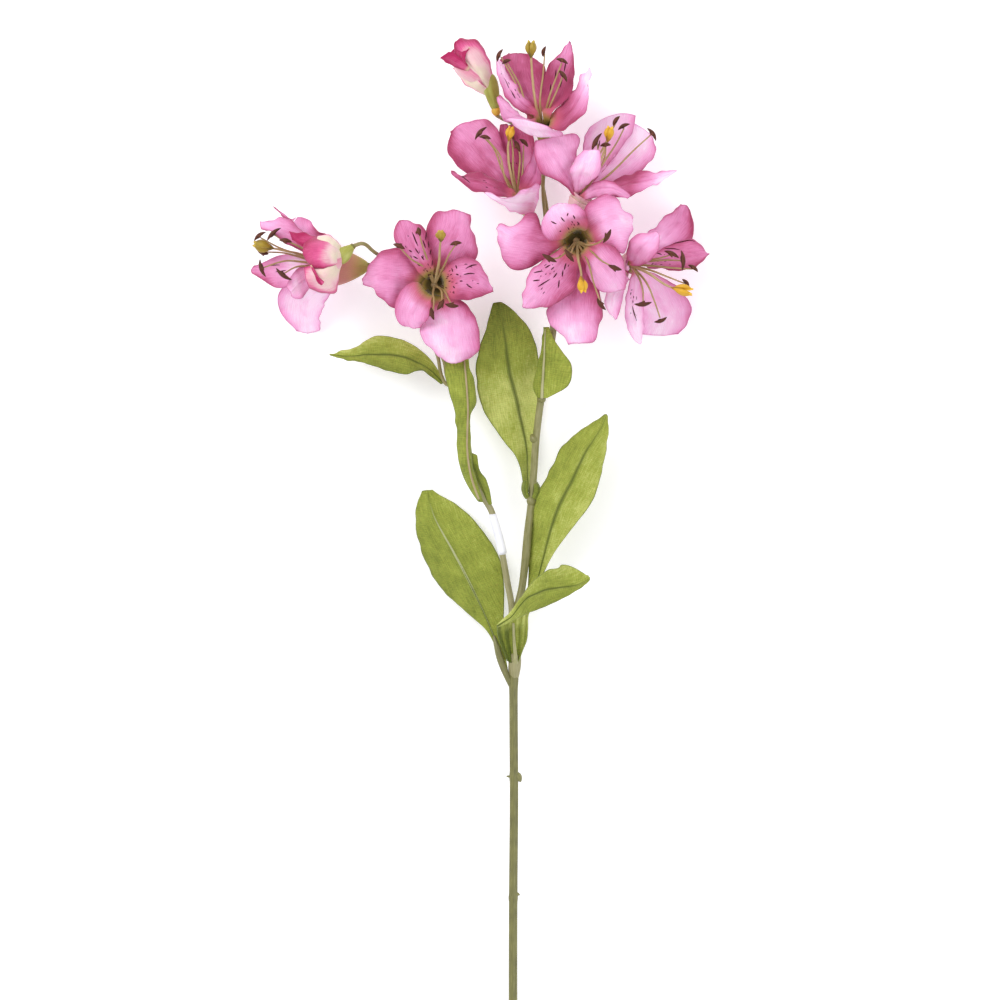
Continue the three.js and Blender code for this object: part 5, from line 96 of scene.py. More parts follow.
    "g3": [[[75.7,140.56,34.44],[75.5,139.52,34.73],[75.31,138.47,35.02]],[[76.23,141.88,36.89],[75.83,140.32,37.84],[75.6,138.47,37.84]],[[74.9,141.54,41.0],[78.99,140.89,42.0],[81.87,137.83,44.0]],[[74.72,144.02,43.05],[79.66,142.58,45.07],[83.78,138.34,47.42]],[[74.61,146.47,45.55],[80.3,144.23,48.83],[85.65,138.8,51.59]],[[74.95,148.93,47.34],[81.18,145.84,51.4],[87.44,139.61,54.4]],[[75.63,151.3,49.23],[82.32,147.31,53.68],[88.93,140.92,56.68]],[[76.99,153.32,51.26],[83.6,148.64,56.11],[90.11,142.48,59.11]],[[79.06,154.71,52.59],[84.99,149.97,57.45],[91.24,144.19,60.3]],[[81.36,155.69,54.21],[86.49,151.19,58.66],[92.26,146.0,61.11]],[[83.75,156.46,55.73],[88.0,152.4,59.8],[92.96,147.95,61.87]],[[86.24,156.97,56.72],[89.49,153.73,60.0],[93.28,150.07,61.76]],[[88.77,157.2,57.98],[90.96,155.11,60.0],[93.42,152.22,61.34]],[[91.3,157.43,59.0],[92.43,156.49,60.0],[93.56,154.37,61.0]]],
}
# pink depth along each petal: claw, middle, tip, and side to side; partly the cloth's brushed colour, partly painted
# light and shade as it falls across each petal
TONES = {
    "b1": [0.77,0.67,0.57,0.0],
    "b3": [0.65,0.65,0.45,0.0],
    "b5": [0.8,0.3,0.2,0.5],
    "b2": [0.86,0.66,0.66,0.1],
    "b6": [1.0,0.7,0.6,0.2],
    "b4": [0.7,0.5,0.4,0.1],
    "d1": [0.8,0.8,0.3,-0.1],
    "d3": [0.87,0.47,0.17,-0.1],
    "d5": [0.7,0.8,0.2,0.3],
    "d2": [1,0.67,0.17,0.3],
    "d6": [0.92,0.62,0.42,0.2],
    "d4": [1.0,0.5,0.3,-0.2],
    "a1": [0.94,0.74,0.34,0.3],
    "a3": [0.6,1.0,0.3,0.0],
    "a6": [0.3,0,0.1,-0.1],
    "a2": [0.6,0.55,0.65,0.0],
    "a4": [0.28,0.08,0.58,0.1],
    "a5": [0.3,0.5,0.2,0.0],
    "c1": [1.0,0.8,0.9,0.0],
    "c3": [1.0,0.9,0.0,-0.2],
    "c4": [0.7,0.4,0.4,0.3],
    "c2": [1.0,1.0,0.6,0.1],
    "c5": [1.0,0.6,0.2,-0.1],
    "c6": [0.3,0.15,0.1,0.0],
    "e1": [0.8,0.7,0.6,-0.3],
    "e3": [0.2,0.05,0.0,0.1],
    "e6": [1.0,0.5,0.9,-0.3],
    "e2": [1.0,0.9,0.9,-0.2],
    "e4": [1.0,0.6,0.5,0.1],
    "e5": [1.0,0.9,0.9,0.0],
    "f1": [0.67,0.47,0.37,-0.2],
    "f3": [0.5,0.3,0.1,0.4],
    "f5": [0.4,0.5,0.5,-0.2],
    "f2": [0.5,0.3,0.12,0.1],
    "f4": [0.4,0.25,0.15,0.0],
    "f7": [0.4,1.0,0.1,-0.4],
    "g1": [0.67,0.27,0.67,0.3],
    "g4": [0.16,0.26,0.16,0.2],
    "g6": [0.3,0.0,0.2,0.4],
    "g2": [0.5,0.7,0.7,0.2],
    "g5": [0.3,0.2,0.0,0.0],
    "g3": [0.55,0.5,0.32,0.0],
}
RUFFLE = {}
THROAT = {"b": 18.5, "d": 17.5, "a": 15.0, "c": 19.0, "e": 15.0, "f": 9.0, "g": 7.0}
# dye streaks on the inner petals: u0, t0, u1, t1, half width mm
STREAKS = {
    "b2": [[0.896,-0.587,0.759,-0.2,0.42],[0.836,0.188,0.662,0.275,0.42],[0.652,-0.4,0.619,-0.275,0.42],[0.572,-0.362,0.522,-0.112,0.42],[0.652,0.05,0.572,0.15,0.42],[0.482,-0.4,0.435,-0.312,0.42],[0.542,0.225,0.485,0.325,0.42],[0.709,0.688,0.612,0.688,0.42],[0.776,1.0,0.696,0.85,0.42],[0.672,1.0,0.599,0.875,0.42],[0.579,1.0,0.515,0.888,0.42],[0.441,1.0,0.365,0.838,0.42]],
    "b6": [[0.615,-0.375,0.726,-0.8,0.42],[0.595,-0.1,0.722,-0.262,0.42],[0.548,0.15,0.589,0.175,0.42],[0.645,0.35,0.712,0.475,0.42],[0.462,0.35,0.495,0.45,0.42],[0.505,-0.712,0.512,-0.487,0.42],[0.455,-0.675,0.458,-0.438,0.42],[0.495,-0.25,0.532,-0.15,0.42]],
    "d6": [[0.726,-0.463,0.679,-0.162,0.42],[0.742,-0.037,0.615,0.163,0.42],[0.86,0.463,0.699,0.4,0.42],[0.659,-0.7,0.592,-0.337,0.42],[0.555,-0.387,0.498,-0.312,0.42],[0.535,-0.075,0.492,-0.062,0.42],[0.592,0.225,0.525,0.225,0.42],[0.642,0.6,0.575,0.438,0.42],[0.535,0.475,0.468,0.375,0.42],[0.462,0.413,0.391,0.338,0.42]],
    "d2": [[0.753,-0.613,0.692,-0.45,0.42],[0.753,-0.188,0.662,-0.15,0.42],[0.776,0.2,0.736,0.062,0.42],[0.726,0.325,0.642,0.3,0.42],[0.559,0.4,0.492,0.425,0.42],[0.579,-0.562,0.559,-0.525,0.42]],
    "e2": [[0.86,-0.012,0.756,0.35,0.42],[0.749,0.088,0.662,0.338,0.42]],
    "g2": [[0.582,-0.963,0.816,-0.9,0.42],[0.478,-0.912,0.659,-0.475,0.42],[0.385,-0.9,0.452,-0.5,0.42]],
    "e5": [[0.649,-0.237,0.602,-0.412,0.42],[0.559,-0.225,0.482,-0.2,0.42]],
    "g5": [[0.525,-0.112,0.706,0.163,0.42]],
    "c2": [[0.656,-0.337,0.559,-0.188,0.42],[0.602,0.213,0.505,0.288,0.42],[0.512,-0.375,0.435,-0.262,0.42],[0.766,0.238,0.662,0.25,0.42]],
    "c5": [[0.783,0.012,0.672,-0.1,0.42],[0.642,0.0,0.545,-0.3,0.42]],
    "a4": [[0.793,-0.162,0.676,-0.112,0.42],[0.719,0.275,0.605,0.225,0.42]],
    "f2": [[0.699,-0.212,0.569,-0.075,0.42],[0.739,0.188,0.615,0.275,0.42]],
}
WHORLS = {
    "flower_a_outer_whorl": ["a1","a3","a6"],
    "flower_a_inner_whorl": ["a2","a4","a5"],
    "flower_b_outer_whorl": ["b1","b3","b5"],
    "flower_b_inner_whorl": ["b2","b6","b4"],
    "flower_c_outer_whorl": ["c1","c3","c4"],
    "flower_c_inner_whorl": ["c2","c5","c6"],
    "flower_d_outer_whorl": ["d1","d3","d5"],
    "flower_d_inner_whorl": ["d2","d6","d4"],
    "flower_e_outer_whorl": ["e1","e3","e6"],
    "flower_e_inner_whorl": ["e2","e4","e5"],
    "flower_f_outer_whorl": ["f1","f3","f5"],
    "flower_f_inner_whorl": ["f2","f4","f7"],
    "flower_g_outer_whorl": ["g1","g4","g6"],
    "flower_g_inner_whorl": ["g2","g5","g3"],
}
STAMENS = {
    "b": [
        {"k": "a", "path": [[-37.71,129.05,43],[-43.99,136.07,54],[-51.98,140.74,64],[-58.25,146.79,70]], "a": [-62.34,149.16,69.4], "b": [-55.32,146.17,70.6]},
        {"k": "a", "path": [[-38.3,129.64,43],[-42.19,139.47,56],[-45.51,149.38,66],[-47.16,156.04,71]], "a": [-47.76,159.0,70.4], "b": [-46.57,153.67,71.6]},
        {"k": "p", "path": [[-37.12,129.05,43],[-35.72,139.35,58],[-34.98,148.08,68],[-34.31,153.52,74]], "a": [-34.32,151.23,73.4], "b": [-34.3,156.96,74.6]},
        {"k": "a", "path": [[-36.53,129.05,43],[-32.82,137.12,56],[-29.17,144.12,66],[-25.63,148.54,70]], "a": [-29.13,148.58,69.4], "b": [-22.13,149.66,70.6]},
        {"k": "a", "path": [[-36.53,127.28,43],[-34.6,123.16,54],[-33.89,118.02,63],[-34.4,114.27,68]], "a": [-32.66,117.21,67.4], "b": [-36.72,110.74,68.6]},
        {"k": "a", "path": [[-38.3,126.69,43],[-39.3,121.41,54],[-38.58,115.73,62],[-39.06,109.6,68]], "a": [-40.25,112.6,66.4], "b": [-38.48,104.96,67.6]},
        {"k": "a", "path": [[-35.94,127.87,43],[-32.23,121.89,56],[-29.78,116.8,64],[-28.57,113.69,68]], "a": [-32.06,114.25,68.4], "b": [-23.89,113.02,69.6]},
    ],
    "d": [
        {"k": "a", "path": [[46.49,153.01,46],[51.52,149.3,58],[57.13,149.83,68],[62.22,153.52,74]], "a": [59.91,149.48,73.4], "b": [64.53,157.55,74.6]},
        {"k": "a", "path": [[44.14,152.42,46],[38.64,145.2,58],[33.81,141.09,68],[29.07,140.72,74]], "a": [24.42,143.02,74.4], "b": [33.12,138.3,75.6]},
        {"k": "a", "path": [[44.14,151.24,46],[42.74,147.55,58],[41.39,144.0,68],[40.67,141.76,76]], "a": [37.76,145.81,76.4], "b": [42.96,138.18,77.6]},
        {"k": "p", "path": [[45.9,151.24,46],[45.63,141.57,60],[47.18,132.81,70],[47.64,127.82,76]], "a": [47.05,128.96,76.4], "b": [48.19,120.18,77.6]},
        {"k": "a", "path": [[47.08,151.83,46],[51.48,139.23,60],[54.76,125.82,70],[57.54,116.25,75]], "a": [56.4,117.44,74.4], "b": [61.6,110.41,75.6]},
        {"k": "a", "path": [[47.67,152.42,46],[53.84,145.14,59],[59.44,139.28,69],[65.71,135.49,74]], "a": [62.82,136.69,73.4], "b": [70.92,133.71,74.6]},
    ],
    "a": [
        {"k": "a", "path": [[-100.39,140.54,38],[-116.23,143.96,40],[-129.58,148.43,44],[-140.06,153.01,46]], "a": [-144.75,152.4,46.4], "b": [-137.62,157.61,47.6]},
        {"k": "a", "path": [[-100.3,141.6,40],[-115.44,147.25,44],[-125.83,151.7,48],[-132.19,155.1,50]], "a": [-136.86,152.14,50.4], "b": [-128.57,159.69,51.6]},
        {"k": "a", "path": [[-100.22,139.71,42],[-112.8,145.7,50],[-118.42,148.91,55],[-123.01,151.71,57]], "a": [-129.48,152.33,56.4], "b": [-121.8,151.08,57.6]},
        {"k": "p", "path": [[-101.02,139.42,37],[-116.33,144.67,38],[-126.26,146.91,40],[-135.59,148.55,42]], "a": [-134.38,148.53,42.4], "b": [-145.51,151.4,43.6]},
        {"k": "a", "path": [[-100.47,138.88,36],[-116.53,143.14,34],[-127.71,146.04,35],[-138.24,146.51,37]], "a": [-143.53,147.66,37.4], "b": [-136.37,145.23,38.6]},
        {"k": "a", "path": [[-100.3,138.06,40],[-116.03,140.18,44],[-126.37,140.47,49],[-137.36,137.36,52]], "a": [-140.8,141.38,53.4], "b": [-137.21,130.76,54.6]},
        {"k": "a", "path": [[-100.3,136.88,40],[-113.04,137.77,45],[-119.85,136.89,50],[-125.62,134.42,52]], "a": [-131.3,135.99,55.4], "b": [-121.86,128.89,56.6]},
    ],
    "c": [
        {"k": "a", "path": [[21.2,221.46,44],[14.1,232.65,50],[8.21,246.33,54],[1.76,257.84,56]], "a": [-1.76,256.62,56.4], "b": [1.76,264.11,57.6]},
        {"k": "a", "path": [[21.79,221.46,44],[15.87,230.4,49],[11.73,242.91,53],[5.28,255.02,55]], "a": [1.17,255.45,56.4], "b": [6.44,257.66,57.6]},
        {"k": "p", "path": [[22.97,222.64,44],[20.56,235.0,50],[18.77,251.02,54],[18.17,262.53,56]], "a": [18.16,260.03,57.4], "b": [18.73,269.26,58.6]},
        {"k": "a", "path": [[23.56,223.23,44],[23.5,235.0,50],[25.23,249.37,53],[26.39,259.23,54]], "a": [25.2,259.66,55.4], "b": [26.95,265.98,56.6]},
        {"k": "a", "path": [[24.74,223.23,44],[28.8,236.28,49],[32.87,247.71,52],[35.79,254.65,53]], "a": [32.84,258.6,54.4], "b": [39.85,255.54,55.6]},
        {"k": "a", "path": [[25.34,222.74,43],[30.0,232.95,47],[34.08,242.05,50],[37.0,247.82,51]], "a": [34.04,252.37,52.4], "b": [39.3,245.2,53.6]},
    ],
    "e": [
        {"k": "a", "path": [[8.26,180.46,41],[1.77,193.36,42],[-3.53,206.74,44],[-10.01,213.13,45]], "a": [-14.71,211.82,46.4], "b": [-7.65,219.36,47.6]},
        {"k": "a", "path": [[8.25,179.8,42],[2.94,189.58,45],[0.0,202.19,49],[-4.11,210.33,50]], "a": [-12.34,213.23,50.4], "b": [-5.28,211.94,51.6]},
        {"k": "a", "path": [[10.03,181.64,41],[7.66,194.45,43],[7.65,204.8,46],[7.64,210.5,48]], "a": [3.53,218.7,48.4], "b": [8.23,211.54,49.6]},
        {"k": "p", "path": [[9.44,181.05,41],[5.89,194.37,44],[4.7,205.8,48],[5.29,213.76,51]], "a": [5.28,211.87,52.4], "b": [7.04,219.39,53.6]},
        {"k": "a", "path": [[10.62,181.72,40],[11.2,193.36,42],[11.78,201.44,44],[12.36,207.15,46]], "a": [8.24,211.82,46.4], "b": [11.76,204.66,47.6]},
        {"k": "a", "path": [[11.21,181.21,39],[12.97,189.9,41],[13.56,199.25,42],[14.14,206.24,43]], "a": [11.19,212.59,44.4], "b": [16.48,207.78,45.6]},
    ],
    "f": [
        {"k": "a", "path": [[50.8,187.86,37],[57.87,201.95,38],[63.72,213.58,40],[68.41,221.75,41]], "a": [66.6,220.44,42.4], "b": [70.69,226.21,43.6]},
        {"k": "p", "path": [[51.37,187.19,38],[59.54,200.43,42],[62.41,209.59,45],[64.12,214.12,47]], "a": [63.49,211.64,48.4], "b": [65.22,219.76,49.6]},
        {"k": "a", "path": [[52.01,187.35,36],[61.46,199.76,36],[68.5,210.22,38],[73.22,217.89,38]], "a": [69.64,218.36,39.4], "b": [76.68,221.78,40.6]},
        {"k": "a", "path": [[52.58,186.09,37],[66.11,193.6,39],[79.03,206.41,41],[87.84,214.58,42]], "a": [86.64,219.26,42.4], "b": [91.9,211.49,43.6]},
        {"k": "a", "path": [[50.7,187.46,42],[55.23,196.22,50],[57.43,202.76,56],[57.38,207.27,58]], "a": [53.83,204.22,59.4], "b": [59.65,214.64,60.6]},
        {"k": "a", "path": [[51.92,186.44,40],[58.85,195.38,46],[61.69,202.1,50],[62.22,206.62,52]], "a": [58.66,207.67,53.4], "b": [65.08,208.15,54.6]},
    ],
    "g": [
        {"k": "a", "path": [[79.19,141.25,36],[87.25,141.48,42],[94.08,142.3,48],[100.38,143.81,52]], "a": [96.21,146.08,53.4], "b": [104.96,141.9,54.6]},
        {"k": "a", "path": [[79.19,140.66,36],[89.6,140.89,42],[98.87,141.24,46],[106.92,140.41,50]], "a": [106.27,146.79,51.4], "b": [106.81,134.39,52.6]},
        {"k": "a", "path": [[79.23,140.13,35],[90.86,138.06,40],[102.49,136.65,44],[111.81,135.35,46]], "a": [110.57,138.22,47.4], "b": [116.39,134.03,48.6]},
        {"k": "a", "path": [[79.23,139.54,35],[88.46,135.64,41],[98.91,131.29,45],[107.06,127.65,47]], "a": [107.04,129.98,47.4], "b": [111.1,124.62,48.6]},
        {"k": "p", "path": [[79.19,139.48,36],[87.17,133.7,44],[96.35,126.9,50],[102.72,123.86,52]], "a": [101.49,124.37,53.4], "b": [113.17,121.37,54.6]},
        {"k": "a", "path": [[78.6,138.29,36],[82.46,129.58,44],[84.01,122.2,50],[83.91,116.76,53]], "a": [78.58,114.93,54.4], "b": [89.09,116.05,55.6]},
        {"k": "a", "path": [[79.19,138.29,36],[86.03,128.46,43],[90.55,117.6,48],[93.41,109.28,50]], "a": [90.46,104.56,50.4], "b": [98.05,107.44,51.6]},
    ],
}
LEAVES = {
    "leaf_1": [[[1.19,-100.04,18.0],[2.98,-102.38,19.0],[4.76,-101.83,18.0]],[[-1.93,-92.42,18.38],[0.3,-94.95,19.38],[3.29,-93.54,18.38]],[[-3.68,-84.37,18.83],[-1.93,-87.36,19.83],[1.43,-85.36,18.83]],[[-7.93,-77.44,18.0],[-4.29,-79.85,19.5],[1.8,-76.98,18.5]],[[-13.99,-71.94,15.3],[-7.2,-72.56,18.15],[2.21,-68.63,17.15]],[[-20.28,-66.67,13.0],[-10.4,-65.38,17.0],[2.5,-60.25,16.0]],[[-26.46,-61.23,10.7],[-13.76,-58.26,15.47],[2.47,-51.89,14.08]],[[-32.58,-55.72,8.0],[-17.22,-51.2,13.67],[1.62,-43.55,11.83]],[[-37.73,-49.28,6.5],[-20.77,-44.14,12.5],[-0.15,-35.34,10.67]],[[-41.97,-42.2,5.15],[-24.4,-37.13,11.15],[-3.74,-27.75,9.77]],[[-45.43,-34.69,4.0],[-28.2,-30.2,10.0],[-8.58,-20.85,9.0]],[[-48.07,-26.85,3.62],[-32.17,-23.35,8.85],[-13.8,-14.23,7.85]],[[-49.99,-18.8,3.17],[-36.05,-16.44,7.5],[-19.47,-7.97,6.5]],[[-50.64,-10.56,3.08],[-39.47,-9.29,6.5],[-26.02,-2.67,5.67]],[[-49.61,-2.35,3.31],[-41.93,-1.75,5.15],[-33.39,1.48,4.77]],[[-46.73,5.39,3.5],[-43.73,5.99,4.0],[-40.73,5.69,4.0]]],
    "leaf_2": [[[14.3,-61.36,17.0],[16.09,-60.77,17.0],[18.46,-60.15,18.0]],[[16.42,-53.01,17.38],[20.11,-53.68,18.92],[21.62,-52.77,20.3]],[[17.01,-44.41,17.83],[22.84,-46.01,21.17],[24.85,-45.44,23.0]],[[17.26,-35.79,18.17],[24.85,-38.12,22.83],[28.36,-38.27,24.83]],[[17.79,-27.19,18.62],[26.94,-30.27,25.08],[32.2,-31.29,27.08]],[[18.45,-18.6,19.0],[28.99,-22.42,27.0],[36.68,-24.72,29.0]],[[19.44,-10.04,20.92],[31.15,-14.62,28.15],[41.54,-18.44,30.15]],[[20.8,-1.55,23.17],[33.7,-6.95,29.5],[46.38,-12.15,31.5]],[[23.37,6.63,23.83],[37.06,0.39,29.83],[51.36,-5.97,31.5]],[[27.8,13.99,23.38],[40.83,7.55,29.38],[55.47,0.82,30.15]],[[32.02,21.46,23.0],[44.32,14.85,29.0],[58.16,8.3,29.0]],[[35.19,29.46,22.23],[47.81,22.17,27.47],[60.15,16.01,27.08]],[[40.8,35.91,21.33],[51.55,29.39,25.67],[61.93,23.8,24.83]],[[47.81,40.93,20.67],[55.93,36.24,24.17],[63.29,31.67,23.33]],[[54.81,45.97,19.77],[60.28,43.14,21.92],[64.31,39.61,21.53]],[[61.91,50.89,19.0],[63.66,50.57,20.0],[64.26,47.6,20.0]]],
    "leaf_3": [[[5.94,-95.67,23.0],[8.31,-94.96,26.0],[11.29,-95.04,24.0]],[[2.86,-90.19,22.54],[8.31,-89.78,26.92],[13.12,-90.74,24.0]],[[0.53,-84.36,22.05],[8.3,-84.61,27.9],[14.86,-86.39,24.0]],[[-1.55,-78.38,22.77],[8.3,-79.43,29.15],[16.4,-81.96,24.77]],[[-0.26,-72.65,23.79],[8.04,-74.25,30.69],[16.69,-77.28,25.79]],[[4.24,-68.17,26.77],[9.35,-69.28,32.54],[16.5,-72.54,27.84]],[[8.62,-63.54,31.5],[11.98,-64.82,35.17],[17.37,-67.9,31.0]],[[12.71,-58.7,35.58],[15.38,-60.96,37.41],[21.14,-65.31,33.17]],[[16.0,-53.25,41.42],[19.45,-57.82,40.59],[25.61,-64.04,35.83]],[[19.35,-47.92,45.0],[23.92,-55.35,42.67],[30.03,-62.62,37.5]],[[23.74,-43.48,48.16],[28.64,-53.44,44.77],[34.39,-61.01,39.08]],[[28.98,-40.11,50.21],[33.59,-52.23,46.21],[38.64,-59.15,40.31]],[[34.73,-37.79,51.23],[38.47,-50.81,47.23],[42.66,-56.84,41.85]],[[40.79,-38.57,51.81],[43.32,-49.26,47.95],[46.43,-54.14,43.14]],[[46.39,-41.41,49.84],[48.14,-47.61,47.46],[49.75,-50.91,44.62]],[[51.74,-44.69,48.0],[52.94,-45.88,47.0],[52.38,-47.08,46.0]]],
    "leaf_4": [[[14.88,3.57,19.0],[16.68,4.77,17.0],[17.29,4.17,15.0]],[[13.48,11.63,19.0],[16.34,12.43,15.85],[17.93,12.3,13.47]],[[11.94,19.65,19.0],[16.06,20.1,14.5],[18.63,20.43,11.67]],[[8.74,27.07,19.17],[16.0,27.77,13.83],[19.47,28.55,10.67]],[[3.53,33.37,19.62],[14.97,35.38,13.38],[20.28,36.68,9.77]],[[-1.31,39.94,20.0],[13.42,42.9,13.0],[21.0,44.82,9.0]],[[-6.02,46.59,21.53],[11.72,50.37,13.77],[21.67,52.93,9.77]],[[-9.86,53.74,23.33],[10.0,57.83,14.67],[22.3,61.04,10.67]],[[-12.39,61.46,24.5],[8.18,65.25,15.83],[22.96,69.14,11.67]],[[-13.92,69.42,25.85],[6.31,72.62,18.08],[23.26,77.22,13.47]],[[-14.28,77.52,27.0],[4.71,80.04,20.0],[22.77,85.29,15.0]],[[-13.15,85.56,27.38],[3.7,87.57,21.53],[21.13,93.19,16.92]],[[-11.25,93.46,27.83],[2.97,95.11,23.33],[18.15,100.65,19.17]],[[-8.56,101.15,27.83],[1.89,102.63,24.33],[13.36,107.12,20.83]],[[-6.25,108.98,27.38],[0.39,110.08,25.23],[7.71,112.84,23.08]],[[-4.15,116.87,27.0],[-1.19,117.51,26.0],[1.19,117.56,25.0]]],
    "leaf_5": [[[22.54,60.5,27.5],[24.9,60.47,28.5],[27.87,60.47,28.5]],[[21.0,62.98,27.35],[25.0,63.27,28.81],[31.08,62.02,29.11]],[[19.84,65.64,27.15],[25.11,66.07,29.19],[34.24,63.66,29.89]],[[19.55,68.53,27.0],[25.27,68.87,29.5],[37.4,65.29,30.5]],[[20.11,71.37,27.31],[25.47,71.66,29.65],[40.19,67.47,31.11]],[[20.96,74.15,27.69],[25.68,74.46,29.85],[41.92,70.54,31.89]],[[21.99,76.85,28.0],[25.87,77.25,30.0],[42.56,74.03,32.5]],[[23.25,79.46,28.46],[26.05,80.05,30.15],[42.61,77.59,32.65]],[[24.09,82.22,29.04],[26.23,82.85,30.35],[41.79,81.05,32.85]],[[24.46,85.09,29.5],[26.38,85.64,30.5],[39.89,84.06,33.0]],[[24.66,87.98,29.81],[26.49,88.44,30.65],[37.66,86.87,32.69]],[[24.82,90.87,30.19],[26.58,91.24,30.85],[35.59,89.79,32.31]],[[25.01,93.77,30.5],[26.67,94.04,31.0],[33.55,92.73,32.0]],[[25.17,96.67,30.5],[26.76,96.85,31.0],[31.72,95.81,31.69]],[[25.32,99.58,30.5],[26.85,99.65,31.0],[30.3,99.11,31.31]],[[25.47,102.48,30.5],[26.95,102.46,31.0],[29.02,102.46,31.0]]],
    "leaf_6": [[[-33.24,71.22,26.0],[-33.83,69.44,26.0],[-35.03,68.88,25.0]],[[-36.0,75.82,25.62],[-37.13,72.92,26.77],[-38.58,71.44,27.3]],[[-38.9,80.34,25.17],[-40.54,76.29,27.67],[-42.12,73.97,30.0]],[[-42.24,84.55,24.67],[-44.45,79.09,28.0],[-45.55,76.68,31.33]],[[-46.2,88.2,23.77],[-48.72,81.32,28.0],[-49.84,76.28,32.23]],[[-50.51,91.43,23.0],[-53.12,83.29,28.0],[-54.0,74.78,33.0]],[[-55.17,94.14,22.23],[-57.67,84.96,27.23],[-58.43,74.71,32.23]],[[-60.27,95.86,21.33],[-62.39,86.08,26.33],[-62.82,75.52,31.33]],[[-65.56,96.91,20.5],[-67.22,86.61,25.33],[-67.15,76.65,30.17]],[[-70.9,97.8,19.15],[-72.1,86.7,23.53],[-71.42,78.18,27.92]],[[-76.22,97.25,18.0],[-76.97,86.46,22.0],[-75.63,79.82,26.0]],[[-80.64,94.23,16.85],[-81.86,86.22,20.08],[-79.97,81.23,23.32]],[[-85.29,91.55,15.5],[-86.76,85.94,17.83],[-84.42,82.34,20.16]],[[-90.37,89.71,14.5],[-91.67,85.82,16.17],[-88.88,83.29,17.84]],[[-95.58,88.24,13.15],[-96.59,86.24,13.92],[-93.39,84.22,14.68]],[[-100.89,87.16,12.0],[-101.49,86.86,12.0],[-97.91,85.07,12.0]]],
    "leaf_7": [[[-13.01,-0.59,35.0],[-11.81,-1.18,37.0],[-10.05,-1.18,35.0]],[[-15.77,3.22,34.62],[-13.83,3.94,37.38],[-11.63,4.38,34.62]],[[-18.59,7.73,34.17],[-15.63,9.05,37.83],[-13.23,9.73,34.17]],[[-21.29,13.01,34.17],[-17.12,14.17,38.17],[-14.79,14.79,34.0]],[[-23.2,18.38,34.62],[-18.18,19.15,38.62],[-16.08,19.37,34.0]],[[-24.57,24.5,35.0],[-18.97,24.83,39.0],[-16.85,24.89,34.0]],[[-25.42,31.33,35.38],[-19.48,31.28,39.38],[-17.15,31.34,34.38]],[[-25.63,38.07,35.83],[-19.45,37.89,39.83],[-17.59,37.23,34.83]],[[-25.81,44.56,36.17],[-19.21,44.88,40.0],[-17.91,43.36,35.17]],[[-26.29,50.81,36.62],[-18.94,51.92,40.0],[-17.73,49.65,35.62]],[[-28.01,57.24,37.0],[-19.15,57.65,40.0],[-15.21,55.2,36.0]],[[-29.8,62.9,37.0],[-19.39,62.31,39.62],[-13.9,60.6,36.38]],[[-31.31,67.94,37.0],[-19.65,66.69,39.17],[-14.47,66.17,36.83]],[[-32.28,73.59,36.67],[-20.29,74.06,38.5],[-16.37,72.72,36.67]],[[-32.44,80.56,35.77],[-21.06,81.56,37.15],[-18.34,79.9,35.77]],[[-31.93,88.69,35.0],[-21.87,88.65,36.0],[-20.1,87.51,35.0]]],
    "leaf_8": [[[-8.31,-2.97,25.0],[-7.12,-2.97,27.0],[-4.75,-2.37,27.0]],[[-9.28,-1.27,25.23],[-7.56,-1.26,27.23],[-4.96,-1.01,27.7]],[[-10.25,0.4,25.54],[-7.99,0.44,27.54],[-5.16,0.32,28.62]],[[-11.2,2.14,25.83],[-8.46,2.18,27.83],[-5.4,1.74,29.5]],[[-12.09,4.06,26.14],[-9.06,4.04,28.1],[-5.72,3.41,30.1]],[[-12.92,6.2,26.92],[-9.79,6.02,28.61],[-6.04,5.35,30.61]],[[-13.71,8.45,27.85],[-10.61,8.08,29.23],[-6.44,7.47,31.23]],[[-14.46,10.74,28.69],[-11.45,10.19,29.79],[-7.01,9.61,31.79]],[[-15.18,12.95,29.21],[-12.26,12.33,30.21],[-7.91,11.68,32.1]],[[-15.89,15.11,29.77],[-13.12,14.53,30.77],[-9.25,13.7,32.38]],[[-16.54,17.29,30.39],[-13.95,16.76,31.39],[-10.71,15.74,32.69]],[[-17.07,19.55,30.9],[-14.65,18.98,31.9],[-11.91,17.81,32.95]],[[-17.41,21.95,31.17],[-15.15,21.19,32.17],[-12.59,19.96,33.0]],[[-17.57,24.48,31.46],[-15.47,23.4,32.46],[-12.92,22.17,33.0]],[[-17.65,27.05,31.77],[-15.71,25.61,32.77],[-13.09,24.4,33.0]],[[-17.76,29.6,32.0],[-15.98,27.81,33.0],[-13.31,26.63,33.0]]],
}
# green depth along each leaf: foot, middle, tip, and side to side; partly the cloth's own colour, partly painted light
# and shade as it falls across each leaf
LEAF_TONE = {"leaf_1": [0.5, 0.58, 0.5, -0.2], "leaf_2": [0.3, 0.4, 0.45, -0.25], "leaf_3": [0.5, 0.6, 0.5, 0.6], "leaf_4": [0.4, 0.12, 0.92, -0.1], "leaf_5": [0.5, 0.6, 0.65, -0.2], "leaf_6": [0.6, 0.5, 0.5, 0.5], "leaf_7": [0.6, 0.6, 0.6, 0.1], "leaf_8": [0.6, 0.6, 0.6, 0.1]}
